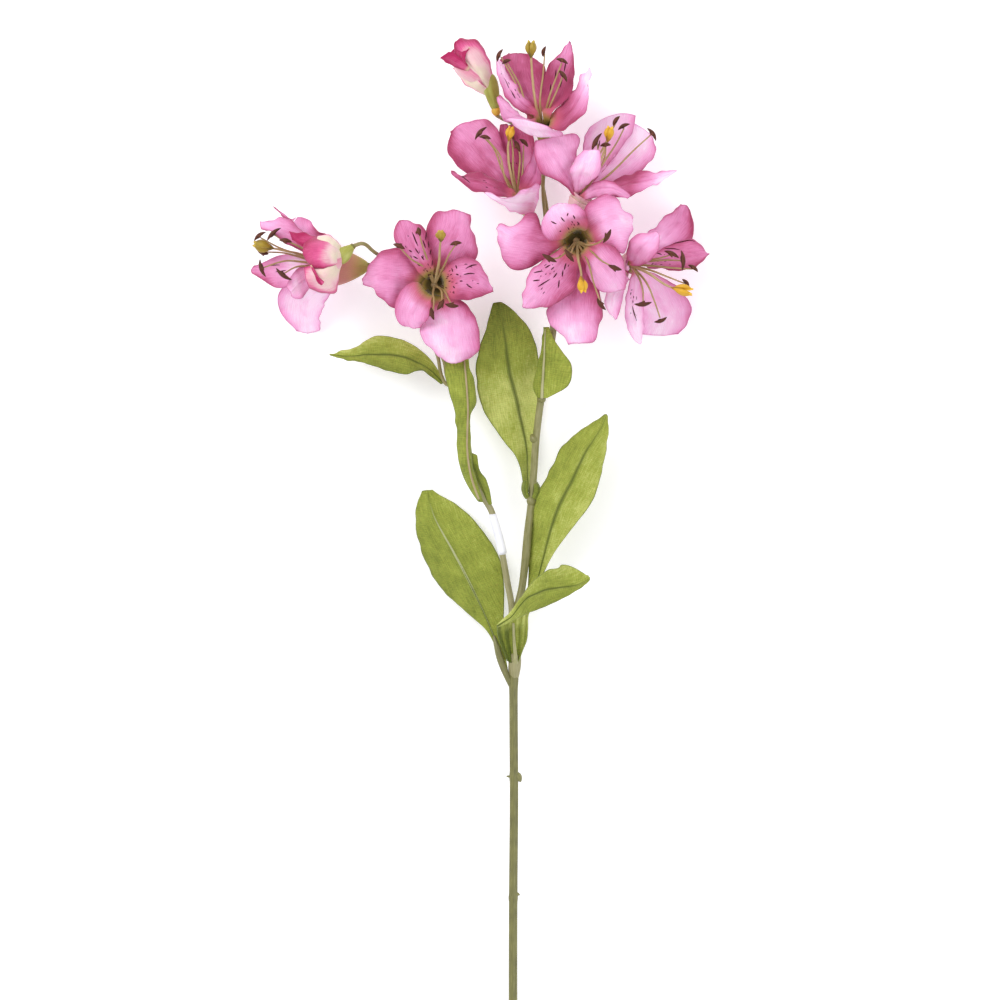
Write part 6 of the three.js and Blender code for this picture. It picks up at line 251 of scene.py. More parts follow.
STEMS = {
    "main_stem": {"r": 2.55, "p": [[8.09,-409.36,2.55],[8.08,-359.25,5],[7.78,-299.05,7.6],[7.89,-238.98,10.2],[8.35,-179.03,13],[8.11,-131.15,15.4],[7.98,-100.09,17]]},
    "left_branch": {"r": 1.85, "p": [[6.91,-101.86,17.2],[6.79,-89.34,17.5],[6.79,-77.42,18],[6.79,-62.5,19],[4.16,-47.59,20.5],[1.49,-32.7,22],[-1.78,-17.82,23.5],[-5.34,-5.94,25],[-10.68,2.97,26.5],[-15.42,14.23,28],[-18.67,29.64,29],[-19.86,47.42,29],[-22.53,61.66,28.5],[-26.68,70.57,28]]},
    "right_branch": {"r": 2.1, "p": [[9.29,-101.86,17.2],[9.65,-89.34,17.5],[9.77,-80.39,18],[9.82,-66.68,18.5],[12.8,-53.56,19.5],[15.11,-35.69,20.5],[16.65,-17.84,21.5],[18.72,0.0,22.5],[20.2,17.82,23.5],[21.38,35.64,24],[23.46,53.45,24.5],[25.24,64.14,24.5],[28.21,77.2,24.5],[30.29,92.05,24.5],[31.77,103.91,24.8],[31.47,121.72,25],[29.09,141.31,25]]},
}
STALKS = {
    "a": [[-27.28,67.62,27.5],[-32.04,68.82,27],[-35.02,74.78,26],[-37.11,85.5,25],[-45.14,103.95,24],[-62.29,123.4,27],[-70.98,136.04,34]],
    "b": [[-26.71,73.0,26],[-28.54,89.18,22],[-31.55,107.14,19],[-35.71,121.43,19]],
    "bud_1": [[-28.43,68.7,31],[-31.4,72.88,30],[-33.22,82.46,27],[-41.05,98.17,20],[-58.26,118.9,22],[-67.32,140.54,38],[-74.61,146.29,50],[-80.18,150.12,59],[-86.45,148.07,63.6]],
    "d": [[29.67,143.63,26],[35.64,148.5,24],[41.62,152.19,22]],
    "g": [[31.5,142.62,23],[44.62,141.61,20],[53.46,139.0,24],[59.3,138.76,28]],
    "f": [[30.24,144.1,28],[35.59,154.24,27],[40.31,163.6,29]],
    "e": [[27.93,144.4,23],[25.58,154.7,20],[21.41,162.96,21],[18.42,166.98,23]],
    "c": [[28.46,144.69,28],[27.4,163.83,17],[25.66,184.99,13],[26.79,202.38,19],[27.3,208.91,26]],
    "bud_2": [[29.73,144.46,22],[29.27,164.24,11],[24.55,192.8,5],[17.36,214.86,6],[7.76,224.47,12],[1.78,226.5,22],[-1.77,227.47,33.6]],
}
KNOBS = {"main_stem":[[[8.95,-161.7,13.3],[12.53,-168.29,12.9],2.3],[[6.57,-234.16,10.6],[11.95,-235.98,10.3],1.4],[[3.58,-164.69,13.2],[7.16,-165.29,13.2],0.7]],"left_branch":[[[-24.31,65.22,28.4],[-28.46,73.53,28],2.7]],"right_branch":[[[18.41,39.2,24.5],[21.98,33.26,24],2.5],[[17.83,3.57,22.8],[19.02,-4.76,22.3],2.7],[[29.09,134.78,25],[29.09,144.85,25.4],3.3],[[24.11,57.01,24.5],[25.11,62.91,26],2.7]]}
BRANCH_SWELL = {"left_branch": [(0.985, 0.02, 0.6)], "right_branch": [(0.30, 0.05, 0.3), (0.10, 0.08, 0.3)]}
BAND = [[1.49,-31.8,22.1],[-1.6,-19.01,23.4],[-4.75,-8.91,24.7]]
LEAF3_SKIRT = [[[4.16,-95.71,22.0],[8.33,-96.94,21.0],[11.59,-95.12,22.0]],[[3.22,-93.32,22.0],[8.33,-93.95,20.55],[12.52,-92.42,22.0]],[[2.27,-90.87,22.0],[8.33,-91.01,20.07],[13.47,-89.72,22.0]],[[1.3,-88.18,22.34],[8.33,-88.22,20.34],[14.59,-87.05,22.34]],[[0.34,-85.41,22.85],[8.33,-85.53,20.85],[15.72,-84.35,22.85]],[[-0.48,-82.98,23.72],[8.31,-82.82,21.72],[16.33,-81.35,23.96]],[[-1.18,-80.82,25.28],[8.28,-80.1,23.28],[16.5,-78.07,26.04]],[[-1.64,-78.6,26.89],[8.36,-77.22,25.34],[16.67,-74.34,28.19]],[[-1.87,-76.16,29.95],[8.52,-74.13,29.93],[16.73,-69.93,32.27]],[[-1.69,-74.32,32.13],[9.02,-70.97,33.27],[17.36,-66.19,35.13]],[[-0.92,-73.42,33.11],[10.06,-67.7,35.21],[18.91,-63.68,36.11]],[[0.0,-72.75,34.0],[11.22,-64.39,37.0],[20.68,-61.44,37.0]]]
LEAF3_BLADE = [[[-1.77,-73.88,36.0],[-1.48,-74.47,36.0],[-1.18,-75.09,35.0]],[[0.24,-71.81,37.18],[1.11,-72.7,37.78],[1.47,-74.11,36.18]],[[2.39,-69.69,38.38],[3.62,-70.97,39.25],[4.42,-72.85,37.13]],[[4.8,-67.51,40.31],[6.0,-69.39,40.54],[7.91,-71.06,37.77]],[[7.17,-64.73,41.86],[8.36,-66.81,41.58],[11.21,-69.38,38.0]],[[9.54,-61.33,43.76],[10.74,-63.35,42.84],[14.26,-67.85,38.0]],[[12.32,-57.31,45.41],[13.35,-60.07,43.47],[16.73,-66.72,38.0]],[[15.26,-53.19,47.07],[16.17,-57.22,44.0],[19.15,-65.75,38.0]],[[18.17,-49.63,48.31],[19.23,-55.38,44.0],[22.25,-64.74,38.0]],[[20.99,-46.54,49.18],[22.33,-54.02,44.0],[25.24,-63.65,38.18]],[[23.69,-43.95,49.82],[25.43,-53.01,44.0],[27.94,-62.44,38.82]],[[26.4,-42.1,50.35],[28.28,-52.31,44.0],[30.68,-61.11,39.35]],[[29.12,-40.9,50.96],[30.97,-51.87,44.0],[33.4,-59.71,39.96]],[[31.95,-40.36,51.0],[33.7,-51.5,44.0],[35.79,-58.49,40.53]],[[34.42,-39.72,50.92],[36.42,-51.19,44.0],[38.21,-57.27,41.08]],[[35.71,-37.95,50.29],[39.02,-50.93,44.0],[40.85,-55.97,41.71]],[[38.99,-38.12,49.54],[42.23,-50.3,44.23],[43.95,-54.28,42.46]],[[44.57,-40.54,48.25],[46.09,-49.23,44.87],[47.46,-52.16,43.75]],[[48.56,-42.65,47.59],[49.6,-47.69,45.82],[50.14,-49.72,44.82]],[[51.77,-44.71,47.0],[52.94,-45.88,47.0],[52.38,-47.08,46.0]]]
LEAF3_PETIOLE = [[7.93,-72.82,32],[8.18,-79.45,28.5],[8.55,-86.06,26],[9.09,-92.09,23.5],[9.16,-96.96,20.5]]
LEAF1_PETIOLE = [[-3.57,-80.94,19.5],[-2.08,-86.85,20.5],[-0.3,-93.4,20.3],[2.08,-99.99,19.4],[4.76,-106.59,18.2],[6.85,-112.02,16.6]]
FORK_NODE = [[9.05,-92.28,18.6],[8.81,-97.05,18.4],[8.46,-101.85,17.6],[8.22,-105.46,16.8]]
CUP = {"a": (3.5, 7.6), "b": (7.0, 10.4), "c": (3.5, 6.8), "d": (7.0, 10.2), "e": (4.0, 6.0), "f": (3.5, 8.0), "g": (3.5, 8.2)}
FLECKED = {"b2": (26, 0.16, 0.86, 0.7), "b6": (28, 0.18, 0.82, 0.7), "d2": (12, 0.30, 0.72, 0.5), "d6": (20, 0.25, 0.80, 0.55), "g2": (16, 0.25, 0.70, 0.5), "g5": (10, 0.25, 0.70, 0.6), "e2": (8, 0.40, 0.85, 0.5), "e5": (10, 0.25, 0.60, 0.7), "e4": (8, 0.2, 0.5, 0.6), "c5": (5, 0.45, 0.85, 0.5)}
LEAF4_CURLS = [[[[13.68,11.3,20.0],[15.46,11.3,22.0],[16.94,11.3,22.0]],[[13.01,9.09,20.62],[15.04,9.22,23.54],[16.74,9.37,23.85]],[[12.79,6.8,21.17],[14.83,7.12,24.58],[16.62,7.44,25.08]],[[13.1,4.51,21.83],[14.96,5.02,24.92],[16.67,5.52,25.42]],[[14.02,2.41,22.0],[15.6,3.03,24.43],[16.91,3.61,24.93]],[[15.46,0.59,22.0],[16.64,1.19,23.5],[17.52,1.78,24.0]]],[[[19.61,11.89,23.0],[21.1,11.3,22.0],[22.02,10.71,20.0]],[[20.0,9.86,24.54],[22.08,9.15,23.85],[23.37,8.59,21.23]],[[20.19,7.81,25.58],[22.71,6.89,25.08],[23.84,6.13,22.17]],[[20.04,5.75,25.92],[22.67,4.55,25.42],[23.5,3.64,22.83]],[[19.64,3.74,25.62],[21.6,2.48,24.93],[22.27,1.45,22.81]],[[19.0,1.78,25.0],[20.2,0.59,24.0],[20.8,-0.59,22.5]]]]
STIGMA = {"a": (2.5, 0.07, 2.3), "b": (2.3, 0.12, 1.9), "c": (1.9, 0.16, 2.0), "d": (1.9, 0.10, 2.0), "e": (1.7, 0.10, 1.8), "f": (1.8, 0.12, 1.9), "g": (1.6, 0.14, 1.6)}
BUDS = {"bud_1":{"base":[-92.86,141.91,64],"tip":[-114.95,138.87,66],"foot":[-86.44,147.76,63.8],"r":16.5,"core":12.5},"bud_2":{"base":[-5.91,245.75,37],"tip":[-30.63,266.23,44],"foot":[-1.77,227.73,34],"r":10.5,"core":8.0}}
BUD_PETALS = {"bud_1":[[[[[-92.27,146.0,64.0],[-92.19,142.37,66.0],[-92.19,138.87,66.0]],[[-94.36,147.94,64.87],[-94.35,143.37,70.35],[-94.11,137.85,69.91]],[[-96.55,149.75,65.83],[-96.52,144.28,75.16],[-96.02,136.82,74.24]],[[-99.04,151.19,66.31],[-98.94,145.0,77.23],[-98.03,135.95,75.92]],[[-101.71,152.26,66.81],[-101.44,145.39,79.25],[-100.05,135.11,77.43]],[[-104.53,152.96,67.0],[-104.05,145.6,79.81],[-102.19,134.6,77.81]],[[-107.41,153.35,67.0],[-106.72,145.56,79.31],[-104.42,134.55,77.31]],[[-110.23,152.83,67.25],[-109.35,145.17,78.66],[-106.65,134.81,76.66]],[[-112.31,150.8,68.7],[-111.87,144.25,76.74],[-108.9,135.43,74.74]],[[-114.17,148.54,70.0],[-114.22,142.99,75.0],[-111.11,136.13,73.0]]],[0.03,0.12,0.72,1.0,-0.35]],[[[[-92.78,141.21,66.0],[-92.86,137.24,64.0],[-94.1,133.27,62.0]],[[-94.75,139.58,69.04],[-94.63,135.36,68.35],[-94.27,130.19,61.13]],[[-96.79,138.09,72.41],[-96.38,133.46,73.16],[-94.59,127.13,60.17]],[[-99.1,137.11,73.61],[-98.36,131.87,74.92],[-95.38,124.11,60.0]],[[-101.5,136.37,74.62],[-100.47,130.51,76.43],[-96.71,121.3,60.0]],[[-103.99,136.0,74.81],[-102.74,129.4,76.81],[-99.5,120.26,60.38]],[[-106.52,136.38,74.31],[-105.17,128.67,76.31],[-102.53,120.79,61.39]],[[-109.05,136.64,73.83],[-107.71,128.49,75.83],[-105.48,121.65,62.34]],[[-111.58,136.2,72.87],[-110.26,128.25,74.87],[-108.22,122.86,64.26]],[[-114.07,135.61,72.0],[-112.81,127.93,74.0],[-110.86,124.29,66.0]]],[0.03,0.03,0.18,0.6,0.25]],[[[[-101.62,151.26,64.0],[-101.53,148.21,66.0],[-102.7,144.71,66.0]],[[-103.87,152.19,64.87],[-103.81,149.05,67.3],[-104.82,145.25,66.87]],[[-106.12,153.12,65.83],[-106.09,149.9,68.75],[-106.93,145.79,67.83]],[[-108.42,153.99,66.31],[-108.42,150.74,69.31],[-109.07,146.33,68.31]],[[-110.79,154.69,66.81],[-110.82,151.4,69.81],[-111.24,146.76,68.81]],[[-113.2,155.22,67.19],[-113.28,151.87,70.0],[-113.42,147.21,69.0]],[[-115.64,155.54,67.69],[-115.77,152.19,70.0],[-115.52,147.96,69.0]],[[-118.12,155.58,68.08],[-118.24,152.61,70.0],[-117.48,149.05,69.0]],[[-120.56,155.93,68.57],[-120.35,153.97,70.0],[-119.37,150.25,69.0]],[[-122.96,156.47,69.0],[-122.33,155.53,70.0],[-121.21,151.51,69.0]]],[0.5,0.8,0.9,0.95,0.0]],[[[[-92.43,143.91,60.0],[-92.51,141.69,58.0],[-93.09,138.18,58.0]],[[-93.51,145.54,59.39],[-94.54,141.8,56.16],[-93.83,135.72,57.39]],[[-94.6,147.17,58.61],[-96.58,141.94,53.84],[-94.53,133.25,56.61]],[[-95.91,148.62,58.0],[-98.62,142.05,52.0],[-95.33,130.8,56.0]],[[-97.48,149.7,58.0],[-100.6,142.09,51.39],[-96.36,128.42,56.0]],[[-99.18,150.58,58.0],[-102.59,142.14,50.61],[-97.7,126.19,56.0]],[[-100.94,151.31,58.0],[-104.58,142.18,50.0],[-99.34,124.19,56.0]],[[-102.73,151.84,58.61],[-106.51,142.14,50.61],[-101.47,122.75,56.61]],[[-104.59,152.01,59.39],[-108.43,142.09,51.39],[-104.01,122.68,57.39]],[[-106.47,152.1,60.0],[-110.36,142.05,52.0],[-106.56,122.95,58.0]]],[0.1,0.2,0.6,0.9,0.0]],[[[[-92.9,148.4,63.0],[-92.82,146.52,65.0],[-92.78,144.12,66.0]],[[-93.99,149.74,63.61],[-94.08,147.56,66.54],[-94.15,144.93,67.84]],[[-95.06,151.09,64.39],[-95.32,148.59,68.46],[-95.5,145.71,70.16]],[[-96.22,152.37,65.0],[-96.62,149.57,70.0],[-96.89,146.49,72.0]],[[-97.63,153.41,65.31],[-98.11,150.43,70.31],[-98.36,147.32,72.31]],[[-99.23,154.12,65.69],[-99.7,151.08,70.69],[-99.85,148.11,72.69]],[[-100.93,154.54,66.0],[-101.36,151.55,71.0],[-101.4,148.79,73.0]],[[-102.7,154.65,66.0],[-103.08,151.87,70.69],[-103.07,149.23,72.69]],[[-104.45,154.36,66.0],[-104.84,151.97,70.31],[-104.79,149.42,72.31]],[[-106.2,154.04,66.0],[-106.6,152.03,70.0],[-106.51,149.57,72.0]]],[0.0,0.0,0.0,0.1,0.0]],[[[[-110.11,136.26,75.8],[-109.8,136.41,76.2],[-109.44,136.51,76.4]],[[-109.55,134.85,76.29],[-109.13,135.07,76.75],[-108.64,135.33,77.01]],[[-108.99,133.43,76.91],[-108.47,133.73,77.45],[-107.82,134.14,77.79]],[[-108.4,132.04,77.4],[-107.78,132.41,78.0],[-107.02,132.96,78.4]],[[-107.75,130.68,77.77],[-107.07,131.12,78.4],[-106.23,131.78,78.83]],[[-107.06,129.34,78.23],[-106.33,129.84,78.9],[-105.45,130.59,79.37]],[[-106.27,128.06,78.6],[-105.52,128.6,79.3],[-104.66,129.42,79.8]],[[-105.36,126.93,78.29],[-104.65,127.48,78.96],[-103.85,128.32,79.49]],[[-104.36,125.88,77.91],[-103.7,126.43,78.54],[-103.0,127.27,79.11]],[[-103.35,124.83,77.6],[-102.74,125.38,78.2],[-102.13,126.22,78.8]]],[1.0,1.0,1.0,0.7,-0.4]]],"bud_2":[[[[[-3.54,245.16,37.0],[-5.31,243.08,40.0],[-8.26,243.08,40.0]],[[-4.09,249.09,37.87],[-7.17,246.14,42.61],[-10.13,245.46,41.3]],[[-4.8,252.98,38.83],[-9.04,249.14,45.49],[-12.0,247.82,42.75]],[[-5.81,256.83,39.61],[-11.02,252.21,47.23],[-13.89,250.22,43.61]],[[-7.03,260.58,40.62],[-13.1,255.17,49.25],[-15.77,252.61,44.62]],[[-8.44,264.31,41.19],[-15.32,258.15,50.19],[-17.75,254.99,45.0]],[[-10.53,267.71,41.69],[-17.7,261.05,50.69],[-20.14,257.01,45.0]],[[-13.52,270.37,42.17],[-20.17,263.92,50.83],[-22.69,258.78,45.17]],[[-17.18,271.88,43.13],[-22.7,266.87,49.87],[-24.69,261.07,46.13]],[[-21.2,272.12,44.0],[-25.27,269.78,49.0],[-26.47,263.54,47.0]]],[0.0,0.04,0.34,1.0,-0.25]],[[[[-17.62,253.8,50.0],[-18.22,253.03,49.0],[-18.82,252.36,47.0]],[[-18.66,255.23,50.22],[-19.92,254.09,49.43],[-20.72,252.74,47.0]],[[-19.68,256.67,50.46],[-21.63,255.14,49.92],[-22.62,253.16,47.0]],[[-20.79,258.05,50.65],[-23.37,256.19,50.0],[-24.49,253.66,47.0]],[[-22.11,259.21,50.91],[-25.14,257.2,50.0],[-26.3,254.34,47.0]],[[-23.64,260.13,50.91],[-26.92,258.2,49.81],[-27.99,255.3,46.81]],[[-25.14,261.13,50.65],[-28.7,259.26,49.31],[-29.61,256.43,46.31]],[[-26.52,262.29,50.42],[-30.63,259.95,48.92],[-31.18,257.61,46.0]],[[-28.2,262.95,49.93],[-32.66,260.25,48.43],[-32.66,258.85,46.0]],[[-29.97,263.26,49.5],[-34.69,260.48,48.0],[-34.13,260.12,46.0]]],[0.7,0.85,0.95,1.0,0.0]],[[[[-5.9,242.0,39.0],[-7.09,240.33,38.0],[-8.87,239.35,36.0]],[[-7.82,243.32,40.54],[-9.24,241.56,38.92],[-11.44,240.53,36.31]],[[-9.73,244.59,42.46],[-11.39,242.75,40.08],[-14.0,241.71,36.69]],[[-11.56,246.0,44.0],[-13.47,244.09,41.0],[-16.44,243.13,37.0]],[[-13.24,247.69,44.31],[-15.41,245.67,41.31],[-18.74,244.8,37.0]],[[-14.82,249.48,44.69],[-17.26,247.34,41.69],[-20.9,246.64,37.0]],[[-16.4,251.27,45.0],[-19.1,249.04,42.0],[-22.94,248.62,37.0]],[[-18.11,253.01,44.69],[-20.98,250.72,42.0],[-24.8,250.73,37.31]],[[-19.94,254.63,44.31],[-22.87,252.4,42.0],[-26.57,252.91,37.69]],[[-21.79,256.21,44.0],[-24.76,254.07,42.0],[-28.34,255.1,38.0]]],[0.0,0.0,0.0,0.1,0.0]],[[[[-22.38,272.12,44.0],[-20.01,269.53,46.0],[-17.62,265.55,50.0]],[[-23.49,271.39,44.61],[-20.94,268.56,46.92],[-18.37,264.44,50.61]],[[-24.61,270.66,45.39],[-21.88,267.57,48.08],[-19.13,263.31,51.39]],[[-25.63,269.82,46.0],[-22.73,266.52,49.0],[-19.8,262.15,52.0]],[[-26.37,268.73,46.31],[-23.37,265.39,49.31],[-20.26,260.94,52.15]],[[-26.81,267.48,46.69],[-23.82,264.14,49.69],[-20.52,259.66,52.35]],[[-27.03,266.17,47.0],[-24.06,262.86,50.0],[-20.55,258.36,52.5]],[[-27.02,264.88,47.0],[-24.05,261.62,49.69],[-20.3,257.15,52.04]],[[-26.75,263.62,47.0],[-23.79,260.41,49.31],[-19.84,256.01,51.46]],[[-26.47,262.36,47.0],[-23.51,259.2,49.0],[-19.38,254.87,51.0]]],[0.95,1.0,1.0,0.9,0.1]],[[[[-4.14,246.06,34.0],[-6.51,243.9,32.0],[-8.28,241.33,34.0]],[[-4.79,249.32,34.0],[-8.68,246.72,30.7],[-10.87,243.04,34.0]],[[-5.65,252.52,34.0],[-10.88,249.55,29.25],[-13.45,244.75,34.0]],[[-7.15,255.48,34.0],[-13.23,252.14,28.69],[-16.01,246.5,34.0]],[[-9.0,258.23,34.0],[-15.78,254.52,28.19],[-18.57,248.25,34.0]],[[-11.13,260.75,34.19],[-18.38,256.79,28.19],[-21.05,250.08,34.19]],[[-13.6,262.9,34.69],[-20.85,259.15,28.69],[-23.29,252.16,34.69]],[[-16.33,264.73,35.17],[-23.27,261.55,29.34],[-25.24,254.51,35.17]],[[-19.33,266.02,36.13],[-25.78,263.68,31.26],[-27.34,256.68,36.13]],[[-22.45,267.02,37.0],[-28.4,265.7,33.0],[-29.54,258.75,37.0]]],[0.1,0.2,0.7,0.9,0.0]]]}

MM = 0.001
rng = np.random.default_rng(7)


# ------------------------------------------------------------------ maths
def unit(v):
    v = np.asarray(v, float)
    n = np.linalg.norm(v, axis=-1, keepdims=True)
    return v / np.where(n < 1e-9, 1.0, n)


def hermite(keys, ks, u):
    """Smooth curve through keys (n, d) at parameters ks, sampled at u."""
    keys = np.asarray(keys, float)
    ks = np.asarray(ks, float)
    n = len(keys)
    tan = np.zeros_like(keys)
    for i in range(n):
        a, b = max(i - 1, 0), min(i + 1, n - 1)
        tan[i] = (keys[b] - keys[a]) / (ks[b] - ks[a])
    i = np.clip(np.searchsorted(ks, u, side="right") - 1, 0, n - 2)
    h = ks[i + 1] - ks[i]
    t = ((u - ks[i]) / h)[:, None]
    h = h[:, None]
    return (
        (2 * t**3 - 3 * t**2 + 1) * keys[i]
        + (t**3 - 2 * t**2 + t) * h * tan[i]
        + (-2 * t**3 + 3 * t**2) * keys[i + 1]
        + (t**3 - t**2) * h * tan[i + 1]
    )


def curve(points, n):
    p = np.asarray(points, float)
    d = np.r_[0, np.cumsum(np.linalg.norm(np.diff(p, axis=0), axis=1))]
    d /= d[-1]
    return hermite(p, d, np.linspace(0, 1, n))


class Blade:
    """A petal or leaf surface from rows [left, midrib, right]."""

    def __init__(self, rows, seed=0, crease=0.35, ruffle=0.7, lumps=0.35):
        self.rows = np.asarray(rows, float)
        m = self.rows[:, 1]
        d = np.r_[0, np.cumsum(np.linalg.norm(np.diff(m, axis=0), axis=1))]
        self.length = d[-1]
        self.ks = d / d[-1]
        r = np.random.default_rng(seed)
        self.ph = r.uniform(0, 6.28, 12)
        self.crease, self.ruffle, self.lumps = crease, ruffle, lumps

    def base(self, u, t):
        u = np.asarray(u, float)
        t = np.asarray(t, float)
        L = hermite(self.rows[:, 0], self.ks, u)
        M = hermite(self.rows[:, 1], self.ks, u)
        R = hermite(self.rows[:, 2], self.ks, u)
        t = t[:, None]
        return L * t * (t - 1) / 2 + M * (1 - t * t) + R * t * (t + 1) / 2

    def normal(self, u, t):
        e = 0.004
        u0, u1 = np.clip(u - e, 0, 1), np.clip(u + e, 0, 1)
        t0, t1 = np.clip(t - e, -1, 1), np.clip(t + e, -1, 1)
        a = self.base(u1, t) - self.base(u0, t)
        b = self.base(u, t1) - self.base(u, t0)
        return unit(np.cross(b, a))

    def at(self, u, t, lift=0.0):
        u = np.asarray(u, float)
        t = np.asarray(t, float)
        p = self.base(u, t)
        n = self.normal(u, t)
        s = u * self.length
        ph = self.ph
        grow = np.clip((u - 0.22) / 0.3, 0, 1)
        d = -self.crease * np.exp(-((t / 0.10) ** 2)) * grow
        edge = np.abs(t) ** 3 * grow
        side = np.where(t < 0, 0.0, 2.1)
        d = d + self.ruffle * edge * (
            np.sin(s * 0.42 + ph[0] + side) + 0.6 * np.sin(s * 0.83 + ph[1] + side)
        )
        d = d + self.lumps * grow * (
            np.sin(s * 0.23 + ph[2]) * np.sin(t * 2.4 + ph[3])
            + 0.5 * np.sin(s * 0.5 + ph[4] + t * 3.0)
        )
        return p + n * (d + lift)[:, None] if np.ndim(d + lift) else p + n * (d + lift)


# ------------------------------------------------------------------ mesh building
class Build:
    """Collects vertices, faces, uv, shade and material index for one piece."""

    def __init__(self, name, node, slot, mats):
        self.name, self.node, self.slot, self.mats = name, node, slot, mats
        self.v, self.f, self.uv, self.sh, self.mi = [], [], [], [], []

    def add(self, v, f, uv=None, sh=None, mat=0):
        k = sum(len(a) for a in self.v)
        v = np.asarray(v, float)
        self.v.append(v)
        self.uv.append(np.zeros((len(v), 2)) if uv is None else np.asarray(uv, float))
        self.sh.append(
            np.tile([0.5, 0.5, 0.5, 0.0], (len(v), 1)) if sh is None else np.asarray(sh, float)
        )
        for q in f:
            self.f.append([int(i) + k for i in q])
            self.mi.append(mat)

    def grid(self, p, uv, sh, mat=0, closed=False, flip=False):
        """p: (rows, cols, 3)"""
        r, c = p.shape[:2]
        f = []
        cc = c if closed else c - 1
        for j in range(r - 1):
            for i in range(cc):
                a, b = j * c + i, j * c + (i + 1) % c
                d, e = (j + 1) * c + (i + 1) % c, (j + 1) * c + i
                f.append((a, e, d, b) if flip else (a, b, d, e))
        self.add(p.reshape(-1, 3), f, uv.reshape(-1, 2), sh.reshape(-1, 4), mat)

    def sheet(self, p, n, thick, uv, sh, mat=0):
        """closed thin body: p (r,c,3) middle surface, n normals"""
        r, c = p.shape[:2]
        top = (p + n * thick / 2).reshape(-1, 3)
        bot = (p - n * thick / 2).reshape(-1, 3)
        N = r * c
        f = []
        for j in range(r - 1):
            for i in range(c - 1):
                a, b, d, e = j * c + i, j * c + i + 1, (j + 1) * c + i + 1, (j + 1) * c + i
                f.append((a, b, d, e))
                f.append((N + a, N + e, N + d, N + b))
        ring = [(0, i) for i in range(c)] + [(j, c - 1) for j in range(1, r)]
        ring += [(r - 1, i) for i in range(c - 2, -1, -1)] + [(j, 0) for j in range(r - 2, 0, -1)]
        ids = [j * c + i for j, i in ring]
        for k in range(len(ids)):
            a, b = ids[k], ids[(k + 1) % len(ids)]
            f.append((b, a, N + a, N + b))
        uv2 = np.concatenate([uv.reshape(-1, 2)] * 2)
        sh2 = np.concatenate([sh.reshape(-1, 4)] * 2)
        self.add(np.concatenate([top, bot]), f, uv2, sh2, mat)

    def tube(self, pts, radius, sides=10, n=None, mat=0, sh=None, ridges=0.0, twist=0.0, tone=0.5):
        p = curve(pts, n or max(8, 5 * len(pts)))
        m = len(p)
        t = unit(np.gradient(p, axis=0))
        ref = np.array([0.0, 0.0, 1.0])
        if abs(t[0] @ ref) > 0.9:
            ref = np.array([1.0, 0.0, 0.0])
        x = unit(ref - t[0] * (ref @ t[0]))
        s = np.r_[0, np.cumsum(np.linalg.norm(np.diff(p, axis=0), axis=1))]
        rad = radius(s / s[-1]) if callable(radius) else np.full(m, float(radius))
        rings = []
        for i in range(m):
            x = unit(x - t[i] * (x @ t[i]))
            y = np.cross(t[i], x)
            a = np.arange(sides) / sides * 2 * math.pi + twist * s[i]
            rr = rad[i] * (1 + ridges * np.cos(a * 5))
            rings.append(p[i] + np.outer(rr * np.cos(a), x) + np.outer(rr * np.sin(a), y))
        P = np.array(rings)
        # rounded ends
        e0 = p[0] - t[0] * rad[0] * 0.35 + (P[0] - p[0]) * 0.6
        e1 = p[-1] + t[-1] * rad[-1] * 0.35 + (P[-1] - p[-1]) * 0.6
        P = np.concatenate([e0[None], P, e1[None]])
        s = np.r_[s[0], s, s[-1]]
        uv = np.zeros(P.shape[:2] + (2,))
        uv[..., 0] = s[:, None] * 0.01
        uv[..., 1] = (np.arange(sides) / sides)[None, :] * rad.mean() * 0.0628
        S = np.zeros(P.shape[:2] + (4,))
        S[..., 0] = tone
        S[..., 1] = (s / s[-1])[:, None]
        S[..., 2] = (np.arange(sides) / sides)[None, :]
        k = sum(len(a) for a in self.v)
        self.grid(P, uv, S, mat, closed=True)
        self.f.append([k + i for i in range(sides)][::-1])
        self.mi.append(mat)
        q = k + (len(P) - 1) * sides
        self.f.append([q + i for i in range(sides)])
        self.mi.append(mat)

    def lathe(self, prof, point, axis, sides=24, mat=0, lobes=0, lobe=0.0, tone=0.5, throat=0.0, smooth=3):
        prof = np.asarray(prof, float)
        k = np.linspace(0, 1, len(prof))
        prof = hermite(prof, k, np.linspace(0, 1, (len(prof) - 1) * smooth + 1))
        prof[:, 0] = np.maximum(prof[:, 0], 0.02)
        a = unit(axis)
        ref = np.array([0.0, 0.0, 1.0]) if abs(a[2]) < 0.9 else np.array([1.0, 0.0, 0.0])
        x = unit(ref - a * (ref @ a))
        y = np.cross(a, x)
        ang = np.arange(sides) / sides * 2 * math.pi
        P = []
        for r, h in prof:
            rr = r * (1 + lobe * np.cos(ang * lobes)) if lobes else np.full(sides, r)
            P.append(np.asarray(point) + a * h + np.outer(rr * np.cos(ang), x) + np.outer(rr * np.sin(ang), y))
        P = np.array(P)
        uv = np.zeros(P.shape[:2] + (2,))
        uv[..., 0] = prof[:, 1][:, None] * 0.01
        uv[..., 1] = (ang * prof[:, 0].mean() * 0.01)[None, :]
        S = np.zeros(P.shape[:2] + (4,))
        ks = np.linspace(0, 1, len(prof))
        S[..., 0] = np.interp(ks, np.linspace(0, 1, len(tone)), tone)[:, None] if np.ndim(tone) else tone
        S[..., 1] = ks[:, None]
        S[..., 2] = (ang / 6.2832)[None, :]
        S[..., 3] = np.interp(ks, np.linspace(0, 1, len(throat)), throat)[:, None] if np.ndim(throat) else throat
        k0 = sum(len(q) for q in self.v)
        self.grid(P, uv, S, mat, closed=True)
        self.f.append([k0 + i for i in range(sides)][::-1])
        self.mi.append(mat)
        q = k0 + (len(P) - 1) * sides
